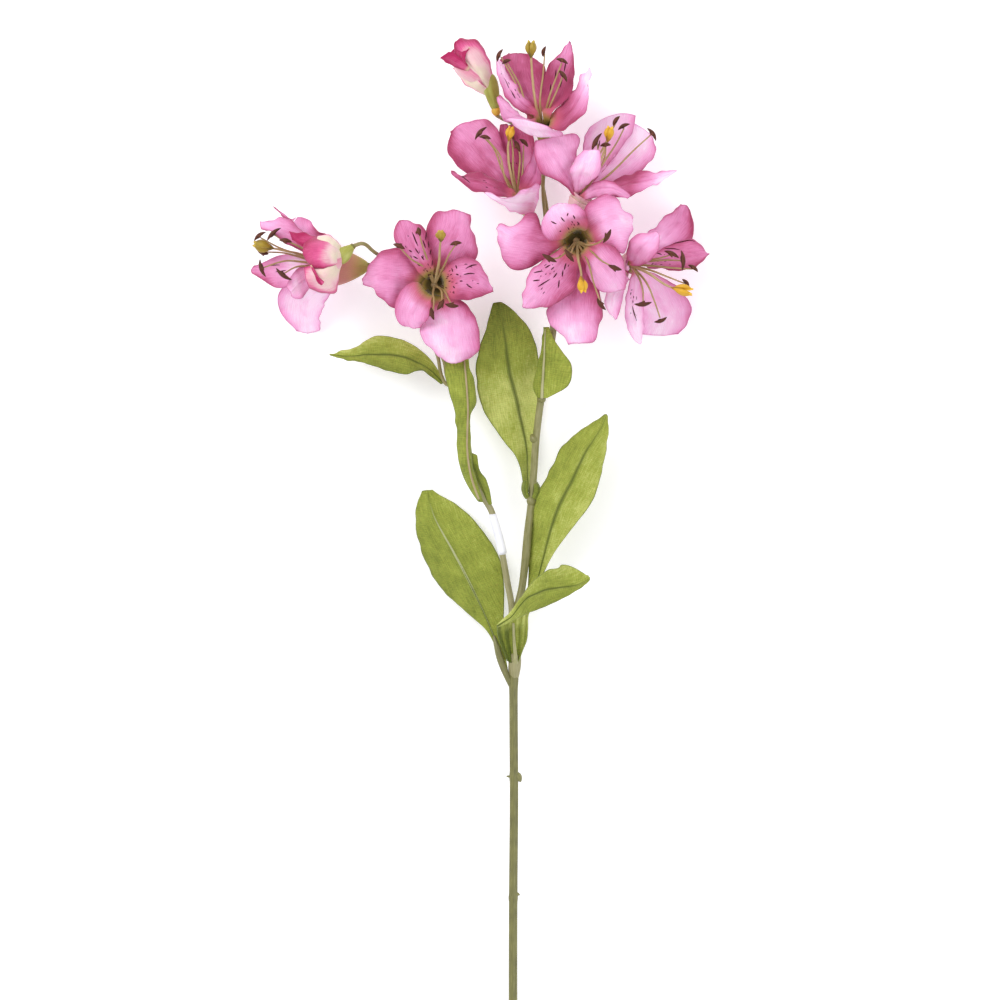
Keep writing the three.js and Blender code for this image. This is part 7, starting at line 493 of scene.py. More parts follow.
        self.f.append([q + i for i in range(sides)])
        self.mi.append(mat)

    def blob(self, a, b, radius, bend=0.0, bulge=0.5, sides=10, n=11, mat=0, up=(0, 0, 1), tone=0.5, flat=1.0):
        """a curved spindle from a to b, fattest at bulge"""
        a, b = np.asarray(a, float), np.asarray(b, float)
        d = b - a
        L = np.linalg.norm(d)
        t = d / L
        up = unit(np.asarray(up, float) - t * (np.asarray(up, float) @ t))
        side = np.cross(t, up)
        u = np.linspace(0, 1, n)
        c = a + np.outer(u, d) + np.outer(bend * L * 4 * u * (1 - u), up)
        w = np.sin(math.pi * u ** (math.log(0.5) / math.log(bulge))) ** 0.7
        rad = radius * np.maximum(w, 0.06)
        ang = np.arange(sides) / sides * 2 * math.pi
        P = np.array([c[i] + np.outer(rad[i] * np.cos(ang) * flat, up) + np.outer(rad[i] * np.sin(ang), side) for i in range(n)])
        uv = np.zeros(P.shape[:2] + (2,))
        uv[..., 0] = (u * L * 0.01)[:, None]
        uv[..., 1] = (ang * radius * 0.01)[None, :]
        S = np.zeros(P.shape[:2] + (4,))
        S[..., 0] = tone
        S[..., 1] = u[:, None]
        S[..., 2] = (ang / 6.2832)[None, :]
        k0 = sum(len(q) for q in self.v)
        self.grid(P, uv, S, mat, closed=True)
        self.f.append([k0 + i for i in range(sides)][::-1])
        self.mi.append(mat)
        q = k0 + (n - 1) * sides
        self.f.append([q + i for i in range(sides)])
        self.mi.append(mat)

    def done(self):
        v = (np.concatenate(self.v) + np.array(SHIFT)) * MM
        me = bpy.data.meshes.new(self.name)
        me.from_pydata(v.tolist(), [], self.f)
        me.update()
        bm = bmesh.new()
        bm.from_mesh(me)
        bmesh.ops.recalc_face_normals(bm, faces=bm.faces)
        bm.to_mesh(me)
        bm.free()
        me.polygons.foreach_set("use_smooth", [True] * len(me.polygons))
        me.polygons.foreach_set("material_index", self.mi)
        uv = np.concatenate(self.uv)
        sh = np.concatenate(self.sh)
        layer = me.uv_layers.new(name="UVMap")
        idx = np.zeros(len(me.loops), dtype=np.int32)
        me.loops.foreach_get("vertex_index", idx)
        layer.data.foreach_set("uv", uv[idx].astype(np.float32).ravel())
        at = me.color_attributes.new(name="shade", type="FLOAT_COLOR", domain="POINT")
        at.data.foreach_set("color", sh.astype(np.float32).ravel())
        for m in self.mats:
            me.materials.append(m)
        o = bpy.data.objects.new(self.name, me)
        bpy.context.scene.collection.objects.link(o)
        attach(o, "root")
        if self.node:
            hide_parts(self.node)
        return o


# ------------------------------------------------------------------ materials
def srgb(h):
    c = [int(h[i : i + 2], 16) / 255 for i in (1, 3, 5)]
    return [x / 12.92 if x <= 0.04045 else ((x + 0.055) / 1.055) ** 2.4 for x in c] + [1.0]


class Mat:
    def __init__(self, name, rough=0.8, sheen=0.0, spec=0.5, sub=0.0, sheen_tint=None):
        self.m = bpy.data.materials.new(name)
        self.m.use_nodes = True
        self.t = self.m.node_tree
        self.n = self.t.nodes
        self.n.clear()
        self.out = self.n.new("ShaderNodeOutputMaterial")
        self.b = self.n.new("ShaderNodeBsdfPrincipled")
        self.t.links.new(self.b.outputs[0], self.out.inputs[0])
        self.b.inputs["Roughness"].default_value = rough
        self.b.inputs["Sheen Weight"].default_value = sheen
        self.b.inputs["Sheen Roughness"].default_value = 0.5
        self.b.inputs["Specular IOR Level"].default_value = spec
        if sub:
            self.b.inputs["Subsurface Weight"].default_value = sub
            self.b.inputs["Subsurface Radius"].default_value = (0.6, 0.25, 0.35)
            self.b.inputs["Subsurface Scale"].default_value = 0.002
        self.at = self.n.new("ShaderNodeAttribute")
        self.at.attribute_name = "shade"
        self.sep = self.n.new("ShaderNodeSeparateColor")
        self.t.links.new(self.at.outputs["Color"], self.sep.inputs[0])
        self.uv = self.n.new("ShaderNodeUVMap")
        self.uv.uv_map = "UVMap"

    def link(self, a, b):
        self.t.links.new(a, b)

    def math(self, op, a, b=None, c=None, clamp=False):
        n = self.n.new("ShaderNodeMath")
        n.operation = op
        n.use_clamp = clamp
        for i, x in enumerate((a, b, c)):
            if x is None:
                continue
            if isinstance(x, (int, float)):
                n.inputs[i].default_value = x
            else:
                self.link(x, n.inputs[i])
        return n.outputs[0]

    def ramp(self, fac, stops, interp="EASE"):
        n = self.n.new("ShaderNodeValToRGB")
        n.color_ramp.interpolation = interp
        e = n.color_ramp.elements
        while len(e) < len(stops):
            e.new(0.5)
        for i, (p, c) in enumerate(stops):
            e[i].position = p
            e[i].color = srgb(c) if isinstance(c, str) else (c, c, c, 1)
        self.link(fac, n.inputs[0])
        return n.outputs[0]

    def mix(self, fac, a, b, mode="MIX"):
        n = self.n.new("ShaderNodeMix")
        n.data_type = "RGBA"
        n.blend_type = mode
        if isinstance(fac, (int, float)):
            n.inputs[0].default_value = fac
        else:
            self.link(fac, n.inputs[0])
        for i, x in ((6, a), (7, b)):
            if isinstance(x, str):
                n.inputs[i].default_value = srgb(x)
            elif isinstance(x, (list, tuple)):
                n.inputs[i].default_value = x
            else:
                self.link(x, n.inputs[i])
        return n.outputs[2]

    def scaled(self, sx, sy, vec=None):
        n = self.n.new("ShaderNodeMapping")
        n.inputs["Scale"].default_value = (sx, sy, 1)
        self.link(vec or self.uv.outputs[0], n.inputs[0])
        return n.outputs[0]

    def noise(self, vec, scale, detail=3, rough=0.5, dist=0.0):
        n = self.n.new("ShaderNodeTexNoise")
        n.inputs["Scale"].default_value = scale
        n.inputs["Detail"].default_value = detail
        n.inputs["Roughness"].default_value = rough
        n.inputs["Distortion"].default_value = dist
        self.link(vec, n.inputs["Vector"])
        return n.outputs["Fac"]

    def wave(self, vec, scale, direction="X", dist=0.6):
        n = self.n.new("ShaderNodeTexWave")
        n.bands_direction = direction
        n.inputs["Scale"].default_value = scale
        n.inputs["Distortion"].default_value = dist
        n.inputs["Detail"].default_value = 1
        n.inputs["Detail Scale"].default_value = 2
        self.link(vec, n.inputs["Vector"])
        return n.outputs["Fac"]

    def weave(self, thread_mm=0.42):
        """plain weave in the uv's own millimetres (uv = mm / 100)"""
        s = 100.0 / thread_mm / 20.0 * 3.14159
        a = self.wave(self.uv.outputs[0], s, "X", 0.9)
        b = self.wave(self.uv.outputs[0], s, "Y", 0.9)
        return self.math("MULTIPLY_ADD", a, 0.5, self.math("MULTIPLY", b, 0.5))

    def bump(self, height, strength, dist):
        n = self.n.new("ShaderNodeBump")
        n.inputs["Strength"].default_value = strength
        n.inputs["Distance"].default_value = dist
        self.link(height, n.inputs["Height"])
        self.link(n.outputs[0], self.b.inputs["Normal"])

    def colour(self, c):
        self.link(c, self.b.inputs["Base Color"])


def multiply(m, c, fac):
    """colour times a grey factor"""
    n = m.n.new("ShaderNodeMix")
    n.data_type = "RGBA"
    n.blend_type = "MULTIPLY"
    n.inputs[0].default_value = 1.0
    m.link(c, n.inputs[6])
    comb = m.n.new("ShaderNodeCombineColor")
    for i in range(3):
        m.link(fac, comb.inputs[i])
    m.link(comb.outputs[0], n.inputs[7])
    return n.outputs[2]


def fabric_petal(name, stops, base, throat, rim_dye_and_shade=0.42):
    m = Mat(name, rough=0.78, sheen=0.2, spec=0.25, sub=0.10)
    tone = m.sep.outputs[0]
    along = m.sep.outputs[1]
    edge = m.sep.outputs[2]
    thr = m.at.outputs["Alpha"]
    streak = m.noise(m.scaled(2.2, 34.0), 7.0, 4, 0.65)
    blotch = m.noise(m.scaled(1.0, 1.6), 8.0, 3, 0.5)
    weave = m.weave(0.46)
    fine = m.noise(m.scaled(3.0, 70.0), 9.0, 3, 0.7)
    fleck = m.noise(m.scaled(9.0, 9.0), 34.0, 2, 0.6)
    t = m.math("ADD", tone, m.math("MULTIPLY", m.math("SUBTRACT", streak, 0.5), 0.50))
    t = m.math("ADD", t, m.math("MULTIPLY", m.math("SUBTRACT", blotch, 0.5), 0.45))
    # deeper pink towards the cut edges: partly dye pooling there, partly painted shade where the edges curl away from
    # the light
    rim_dye_and_shade_mask = m.math("POWER", edge, 3.0)
    t = m.math("ADD", t, m.math("MULTIPLY_ADD", rim_dye_and_shade_mask, rim_dye_and_shade, -0.04), clamp=True)
    c = m.ramp(t, stops, "LINEAR")
    # brushed colour at the claw, an olive halo, then the dark throat; the darkest throat colour is partly painted shade
    # for the hollow of the flower
    wob = m.math("ADD", thr, m.math("MULTIPLY", m.math("SUBTRACT", streak, 0.5), 0.20))
    c = m.mix(m.ramp(wob, [(0.04, 0.0), (0.48, 0.9)], "EASE"), c, base)
    c = m.mix(m.ramp(wob, [(0.36, 0.0), (0.70, 0.95)], "EASE"), c, throat[0])
    c = m.mix(m.ramp(wob, [(0.56, 0.0), (0.84, 1.0)], "EASE"), c, throat[1])
    c = m.mix(m.math("MULTIPLY", m.ramp(edge, [(0.95, 0.0), (1.0, 1.0)], "LINEAR"), 0.3), c, stops[-1][1])
    lift = m.math("MULTIPLY_ADD", weave, 0.07, m.math("MULTIPLY_ADD", fleck, 0.20, 0.87))
    lift = m.math("ADD", lift, m.math("MULTIPLY", m.math("SUBTRACT", fine, 0.5), 0.34))
    m.colour(multiply(m, c, lift))
    h = m.math("ADD", m.math("MULTIPLY", weave, 0.5), m.math("MULTIPLY", fine, 0.9))
    m.bump(h, 0.4, 0.0003)
    return m.m


def fabric_leaf(name, rib="#4a5516", ribwide=0.115, ribmix=0.9):
    m = Mat(name, rough=0.75, sheen=0.12, spec=0.3, sub=0.06)
    tone, along, edge = m.sep.outputs[0], m.sep.outputs[1], m.sep.outputs[2]
    fibre = m.noise(m.scaled(2.0, 16.0), 8.0, 4, 0.65)
    cross = m.noise(m.scaled(26.0, 3.0), 9.0, 3, 0.6)
    blotch = m.noise(m.scaled(1.0, 1.4), 7.0, 3, 0.5)
    fleck = m.noise(m.scaled(12.0, 12.0), 24.0, 2, 0.7)
    weave = m.weave(0.55)
    thread = m.noise(m.scaled(10.0, 58.0), 9.0, 3, 0.75)
    t = m.math("ADD", tone, m.math("MULTIPLY", m.math("SUBTRACT", fibre, 0.5), 0.8))
    t = m.math("ADD", t, m.math("MULTIPLY", m.math("SUBTRACT", cross, 0.5), 0.6))
    t = m.math("ADD", t, m.math("MULTIPLY", m.math("SUBTRACT", blotch, 0.5), 0.60), clamp=True)
    c = m.ramp(t, [(0.0, "#c4ca72"), (0.42, "#949e3c"), (1.0, "#535f14")], "LINEAR")
    # the broad soft shadow of the midrib and the rib itself
    soft = m.math("SUBTRACT", 1.0, m.math("DIVIDE", edge, 0.30), clamp=True)
    c = m.mix(m.math("MULTIPLY", m.math("POWER", soft, 2.0), 0.45), c, "#5f6c20")
    ribw = m.math("MULTIPLY_ADD", along, -ribwide * 0.55, ribwide)
    ribf = m.math("SUBTRACT", 1.0, m.math("DIVIDE", edge, ribw), clamp=True)
    ribf = m.math("MULTIPLY", ribf, m.ramp(along, [(0.0, 1.0), (0.75, 0.8), (0.93, 0.0)], "LINEAR"))
    c = m.mix(m.math("MULTIPLY", m.math("POWER", ribf, 0.6), ribmix), c, rib)
    c = m.mix(m.math("MULTIPLY", m.ramp(edge, [(0.955, 0.0), (1.0, 1.0)], "LINEAR"), 0.6), c, "#59672b")
    lift = m.math("MULTIPLY_ADD", weave, 0.20, m.math("MULTIPLY_ADD", fleck, 0.56, 0.62))
    lift = m.math("ADD", lift, m.math("MULTIPLY", m.math("SUBTRACT", thread, 0.5), 0.75))
    m.colour(multiply(m, c, lift))
    h = m.math("ADD", m.math("MULTIPLY", weave, 0.7), m.math("MULTIPLY", fibre, 0.7))
    m.bump(h, 0.45, 0.0003)
    return m.m


def plastic(name, stops, rough=0.45, along=8.0, bump=0.25, spec=0.5):
    m = Mat(name, rough=rough, spec=spec)
    f = m.noise(m.scaled(1.2, along), 9.0, 4, 0.6)
    g = m.noise(m.scaled(1.0, 1.0), 14.0, 3, 0.5)
    t = m.math("ADD", m.math("MULTIPLY", m.math("SUBTRACT", f, 0.5), 1.0), m.sep.outputs[0])
    t = m.math("ADD", t, m.math("MULTIPLY", m.math("SUBTRACT", g, 0.5), 0.5), clamp=True)
    c = m.ramp(t, stops, "LINEAR")
    m.colour(c)
    r = m.math("MULTIPLY_ADD", g, 0.2, rough - 0.1)
    m.link(r, m.b.inputs["Roughness"])
    m.bump(m.math("ADD", f, m.math("MULTIPLY", g, 0.4)), bump, 0.0003)
    return m.m


PINKS = [(0.0, "#fadcf1"), (0.3, "#f1aed8"), (0.6, "#d884b2"), (0.8, "#bf5f89"), (1.0, "#a23e63")]
MAT_PETAL = fabric_petal("petal_fabric", PINKS, "#c9607a", ("#968a34", "#54460f"))
MAT_BELL = fabric_petal("bell_fabric", [(0.0, "#a9a450"), (0.45, "#b48d5c"), (1.0, "#b87470")], "#8f8a3e", ("#7d7a30", "#2e2a0c"), 0.0)
MAT_CUP = fabric_petal("cup_fabric", [(0.0, "#bfc072"), (0.4, "#e3cdbe"), (1.0, "#e2a2b8")], "#b0746a", ("#8a7a2c", "#6f5f1a"), 0.0)
# the dish's darkest throat colour is painted shade for the hollow round the stamens
MAT_DISH = fabric_petal("throat_fabric", [(0.0, "#bfc072"), (0.4, "#e3cdbe"), (1.0, "#e2a2b8")], "#b0746a", ("#8a7b2a", "#453a10"), 0.0)
MAT_BUD = fabric_petal(
    "bud_fabric",
    [(0.0, "#e9d8c2"), (0.28, "#eec2c8"), (0.6, "#d95c90"), (1.0, "#a81f56")],
    "#d9c9a0",
    ("#c9c690", "#a8ac60"),
)
MAT_LEAF = fabric_leaf("leaf_fabric")
MAT_LEAF_PALE_RIB = fabric_leaf("leaf_fabric_pale_rib", "#c3c3a0", 0.055, 0.8)
MAT_RIB = plastic("rib_wire", [(0.0, "#c0b18c"), (0.5, "#9a8766"), (1.0, "#6f6044")], 0.6, 6.0, 0.3, 0.3)
MAT_PETIOLE = plastic("petiole_plastic", [(0.0, "#b4b084"), (0.5, "#8d8c58"), (1.0, "#5f5c36")], 0.5, 12.0, 0.5)
MAT_STEM = plastic("stem_plastic", [(0.0, "#9f9971"), (0.5, "#797743"), (1.0, "#514f2c")], 0.42, 10.0)
MAT_STALK = plastic("stalk_plastic", [(0.0, "#b0a882"), (0.5, "#8f8650"), (1.0, "#6b6238")], 0.45, 8.0)
MAT_CALYX = plastic("calyx_plastic", [(0.0, "#b9bd6a"), (0.5, "#9a9a40"), (1.0, "#6f6a2c")], 0.5, 6.0)
MAT_RECEPTACLE = plastic("receptacle_plastic", [(0.0, "#e8c458"), (0.5, "#c99a2e"), (1.0, "#8f7420")], 0.5, 5.0)
MAT_FIL = plastic("filament_plastic", [(0.0, "#d2bb8c"), (0.5, "#9f8154"), (1.0, "#725938")], 0.5, 5.0)
MAT_ANTHER = plastic("anther_plastic", [(0.0, "#7c452c"), (0.5, "#4c2617"), (1.0, "#2b120a")], 0.6, 3.0, 0.5, 0.3)
MAT_STIGMA = plastic("stigma_plastic", [(0.0, "#f0c030"), (0.5, "#cf9a18"), (1.0, "#84540e")], 0.5, 3.0, 0.4)
MAT_STIGMA_OLIVE = plastic("stigma_olive", [(0.0, "#bfa430"), (0.5, "#937819"), (1.0, "#564b10")], 0.5, 3.0, 0.4)
MAT_STREAK = plastic("streak_dye", [(0.0, "#7d3a4a"), (0.5, "#4e1c28"), (1.0, "#341018")], 0.8, 3.0, 0.1, 0.2)
MAT_BAND = plastic("band_paper", [(0.0, "#f6f6fa"), (0.5, "#ebebf2"), (1.0, "#d6d5e0")], 0.6, 2.0, 0.1)

# ------------------------------------------------------------------ petals
PETAL_THICK = 0.34


def petal(b, name, flower):
    rows = PETALS[name]
    tones = TONES[name]
    seed = sum(ord(ch) * (i + 3) for i, ch in enumerate(name))
    s = Blade(rows, seed=seed, crease=0.45, ruffle=RUFFLE.get(name, 0.75), lumps=0.4)
    nu, nt = 46, 27
    u = np.linspace(0, 1, nu)
    t = np.linspace(-1, 1, nt)
    U, T = np.meshgrid(u, t, indexing="ij")
    P = s.at(U.ravel(), T.ravel()).reshape(nu, nt, 3)
    N = s.normal(U.ravel(), T.ravel()).reshape(nu, nt, 3)
    L = s.length
    hw = np.linalg.norm(P[:, -1] - P[:, 0], axis=1) / 2
    uv = np.stack([U * L * 0.01, T * hw[:, None] * 0.01], -1)
    sh = np.zeros((nu, nt, 4))
    tone = np.interp(U, [0.0, 0.2, 0.5, 0.85, 1.0], [tones[0], tones[0], tones[1], tones[2], tones[2]])
    tone = tone + tones[3] * T * 0.5 + 0.10 * np.exp(-((T / 0.12) ** 2)) * (U < 0.8)
    sh[..., 0] = np.clip(tone, 0, 1)
    sh[..., 1] = U
    sh[..., 2] = np.maximum(np.abs(T), (U > 0.985) * 1.0)
    hub = np.array(FLOWERS[flower]["p"])
    ax = np.array(FLOWERS[flower]["a"])
    d = P - (hub + ax * 5)
    if flower in "bd":
        d = d - 0.55 * (d @ ax)[..., None] * ax
    d = np.linalg.norm(d, axis=-1)
    R = THROAT.get(flower, 15.0)
    sh[..., 3] = np.clip(1.0 - (d - 2.0) / R, 0, 1)
    b.sheet(P, N, PETAL_THICK, uv, sh, 0)
    # brushed streaks, thin flecks of dye on the inner face
    marks = list(STREAKS.get(name, []))
    if name in FLECKED:
        r = np.random.default_rng(seed)
        count, ua, ub, wide = FLECKED[name]
        for _ in range(count):
            uu = r.uniform(ua, ub)
            tt = r.uniform(-wide, wide)
            ln = r.uniform(0.6, 2.2) / L
            marks.append((uu, tt, uu + ln, tt * (1 + 0.6 * ln), r.uniform(0.17, 0.30)))
    for u0, t0, u1, t1, w in marks:
        m = 9
        k = np.linspace(0, 1, m)
        uu, tt = u0 + (u1 - u0) * k, t0 + (t1 - t0) * k
        mid = s.at(uu, tt)
        n = s.normal(uu, tt)
        inward = np.sign(((hub + ax * 30 - mid) * n).sum(1).mean())
        d = unit(np.gradient(mid, axis=0))
        side = unit(np.cross(n, d))
        wd = w * np.sin(np.pi * np.clip(k * 0.96 + 0.02, 0, 1)) ** 0.6
        lift = n * inward * (PETAL_THICK / 2 + 0.06)
        a = mid + side * wd[:, None] + lift
        c = mid - side * wd[:, None] + lift
        q = mid + n * inward * (PETAL_THICK / 2 + 0.12)
        V = np.concatenate([a, q, c])
        f = []
        for i in range(m - 1):
            f.append((i, i + 1, m + i + 1, m + i))
            f.append((m + i, m + i + 1, 2 * m + i + 1, 2 * m + i))
        b.add(V, f, np.zeros((3 * m, 2)), np.tile([0.5, 0.5, 0.5, 0.0], (3 * m, 1)), 1)


for f, F in FLOWERS.items():
    for ring, spec in (("outer", (4.2, 0.3, 2.3)), ("inner", (3.5, 2.7, 4.6))):
        node = f"flower_{f}_{ring}_whorl"
        b = Build(f"v_{node}", node, "petal_fabric", [MAT_PETAL, MAT_STREAK])
        r, h0, h1 = spec
        b.lathe([[0.1, h0], [r * 0.8, h0], [r, (h0 + h1) / 2], [r * 0.8, h1], [0.1, h1]], F["p"], F["a"], 20, 0, tone=0.35, throat={"f": 0.1, "g": 0.1, "c": 0.55, "e": 0.55}.get(f, 0.8))
        for p in WHORLS[node]:
            petal(b, p, f)
        b.done()

# ------------------------------------------------------------------ calyxes
for f, F in FLOWERS.items():
    n = F["calyx"]
    b = Build(f"v_flower_{f}_calyx", f"flower_{f}_calyx", "calyx_plastic", [MAT_CALYX, MAT_BELL if f == "a" else MAT_DISH if f in "bd" else MAT_CUP])
    if f == "a":
        # the long one seen from the side: a joint, then a bell of cloth round the tube
        b.lathe([[0.3, -n - 0.4], [1.9, -n - 0.3], [2.3, -n + 1.0], [2.6, -n + 2.2], [0.3, -n + 2.4]], F["p"], F["a"], 30, 0, tone=0.9)
        b.lathe([[2.3, -n + 1.4], [3.4, -n * 0.88], [5.3, -n * 0.73], [7.0, -n * 0.57], [8.6, -n * 0.4], [10.1, -n * 0.2], [11.0, -n * 0.02], [10.3, -n * 0.02], [6.4, -n * 0.5], [2.0, -n * 0.75]], F["p"], F["a"], 48, 1, lobes=6, lobe=0.03, tone=[0.0, 0.03, 0.15, 0.4, 0.7, 0.95, 1.0, 0.9, 0.8, 0.8])
    else:
        k = 1.5 if f == "f" else 1.0
        b.lathe([[0.3, -n - 0.2], [1.7, -n], [2.3 * k, -n * 0.86], [3.1 * k, -n * 0.6], [3.8 * k, -n * 0.3], [4.15 * k, -0.6], [3.6 * k, 0.1], [0.3, 0.15]], F["p"], F["a"], 30, 1 if f in "efg" else 0, lobes=6, lobe=0.05, tone=0.2 if f == "e" else 0.75 if f in "fg" else 0.5)
    # the cup that the petals are gathered in, olive and darker inside; in the open dishes of b and d the darkest part
    # is painted shade for the hollow
    h, w = CUP[f]
    dark = {"f": 0.15, "g": 0.1, "e": 0.6, "c": 0.7}.get(f, 1.0)
    prof = np.array([[3.9, -1.2], [w * 0.58, -0.4], [w * 0.76, h * 0.3], [w * 0.92, h * 0.68], [w, h], [w - 0.4, h], [w * 0.85, h * 0.66], [w * 0.68, h * 0.36], [w * 0.52, 0.2], [3.8, -0.2]])
    if f in "bd":
        # wide open flowers: the claws close a shallow dish round the stamens
        prof[5:] = [[w - 0.4, h], [w * 0.84, h * 0.95], [w * 0.64, h * 0.87], [w * 0.44, h * 0.80], [2.2, h * 0.74]]
    b.lathe(prof, F["p"], F["a"], 48, 1, lobes=6, lobe=0.03, tone=[0.0, 0.2, 0.5, 0.8, 1.0, 1.0, 0.5, 0.5, 0.5, 0.5], throat=[k * dark for k in (0, 0, 0, 0, 0.05, 0.15, 0.42, 0.6, 0.78, 0.92)])
    b.done()

# ------------------------------------------------------------------ stamens
for f, F in FLOWERS.items():
    b = Build(f"v_flower_{f}_stamens", f"flower_{f}_stamens", "stamen_plastic", [MAT_FIL, MAT_ANTHER, MAT_STIGMA_OLIVE if f in "abc" else MAT_STIGMA])
    p, a = np.array(F["p"]), np.array(F["a"])
    b.lathe([[0.2, 5.0], [1.9, 5.0], [2.2, 6.0], [1.6, 7.0], [0.2, 7.3]], p, a, 18, 0, tone=0.8)
    core = p + a * 6.4
    for i, s in enumerate(STAMENS[f]):
        path = [np.array(q) for q in s["path"]]
        out = path[1] - core
        out = unit(out - a * (out @ a))
        foot = core + out * 1.1
        A, B = np.array(s["a"]), np.array(s["b"])
        if s["k"] == "a":
            mid = (A + B) / 2
            pts = [foot, *path[1:-1], path[-1] * 0.35 + mid * 0.65]
            b.tube(pts, lambda x: 0.78 - 0.38 * x, 8, 26, 0, tone=0.45)
            t = unit(B - A)
            view = unit(mid - path[-2])
            up = unit(view - t * (view @ t))
            L = np.linalg.norm(B - A)
            # versatile anther: a bent spindle, thicker in the middle, with two ragged ends
            b.blob(A, B, 1.38, 0.11, 0.5, 10, 15, 1, up=up, tone=0.5, flat=0.85)
            b.blob(mid - t * L * 0.28 + up * 0.3, mid + t * L * 0.22 + up * 0.5, 1.55, 0.06, 0.45, 9, 9, 1, up=up, tone=0.7, flat=0.75)
            side = np.cross(t, up)
            k = 1 if (i + ord(f)) % 2 else -1
            b.blob(mid - t * L * 0.12 - side * 0.3 * k, mid + t * L * 0.14 + side * 2.3 * k + up * 0.4, 0.95, 0.1, 0.4, 8, 9, 1, up=up, tone=0.4)
        else:
            pts = [foot, *path[1:-1], A * 0.6 + path[-1] * 0.4]
            b.tube(pts, lambda x: 0.95 - 0.35 * x, 8, 26, 0, tone=0.3)
            t = unit(B - A)
            ref = np.array([0.0, 0.0, 1.0]) if abs(t[2]) < 0.8 else np.array([1.0, 0.0, 0.0])
            x = unit(ref - t * (ref @ t))
            y = np.cross(t, x)
            L = np.linalg.norm(B - A)
            lobe_r, splay, knob = STIGMA[f]
            for k in range(3):
                an = k * 2.094 + 0.4
                d = x * math.cos(an) + y * math.sin(an)
                b.blob(A - t * 0.4, A + t * L * 0.95 + d * L * splay, lobe_r, 0.12, 0.58, 12, 13, 2, up=d, tone=0.45)
                b.blob(A + t * L * 0.55 + d * L * splay * 0.5, A + t * L + d * (L * splay + 0.8), lobe_r * 0.55, 0.0, 0.5, 9, 9, 2, up=d, tone=0.1)
            b.blob(A - t * 1.4, A + t * L * 0.6, knob, 0, 0.55, 12, 11, 2, tone=0.85)
    b.done()

# ------------------------------------------------------------------ leaves
def leaf_blade(b, rows, seed, lt, nu=70, nt=31, crease=-0.6, ruffle=0.35, lumps=0.5, rib=(0.0, 0.86), ribr=(0.7, 0.25), mat=0, ribmat=0, ribtone=0.9, pleats=0.0):
    s = Blade(rows, seed=seed, crease=crease, ruffle=ruffle, lumps=lumps)
    u, t = np.linspace(0, 1, nu), np.linspace(-1, 1, nt)
    U, T = np.meshgrid(u, t, indexing="ij")
    P = s.at(U.ravel(), T.ravel()).reshape(nu, nt, 3)
    N = s.normal(U.ravel(), T.ravel()).reshape(nu, nt, 3)
    hw = np.linalg.norm(P[:, -1] - P[:, 0], axis=1) / 2
    uv = np.stack([U * s.length * 0.01, T * hw[:, None] * 0.01], -1)
    sh = np.zeros((nu, nt, 4))
    sh[..., 0] = np.clip(np.interp(U, [0, 0.5, 1], lt[:3]) + lt[3] * T * 0.5, 0, 1)
    if pleats:
        P = P + N * (0.55 * np.cos(T * pleats))[..., None]
        # the pleats also get painted light and shade across their folds, in step with the ridges
        sh[..., 0] = np.clip(sh[..., 0] + 0.22 * np.cos(T * pleats), 0, 1)
    sh[..., 1] = U
    sh[..., 2] = np.maximum(np.abs(T), (U > 0.992) * 1.0)
    if pleats:
        sh[..., 2] = np.maximum(sh[..., 2], 0.31)
    b.sheet(P, N, 0.45, uv, sh, mat)
    if rib:
        w = np.linspace(rib[0], rib[1], 40)
        line = s.at(w, np.zeros(40))
        nn = s.normal(w, np.zeros(40))
        up = np.sign(nn[:, 2].mean()) * (1 if ribmat else -1)
        b.tube(line + nn * up * 0.25, lambda x: ribr[0] + (ribr[1] - ribr[0]) * x, 8, 60, ribmat, tone=ribtone)
    return s


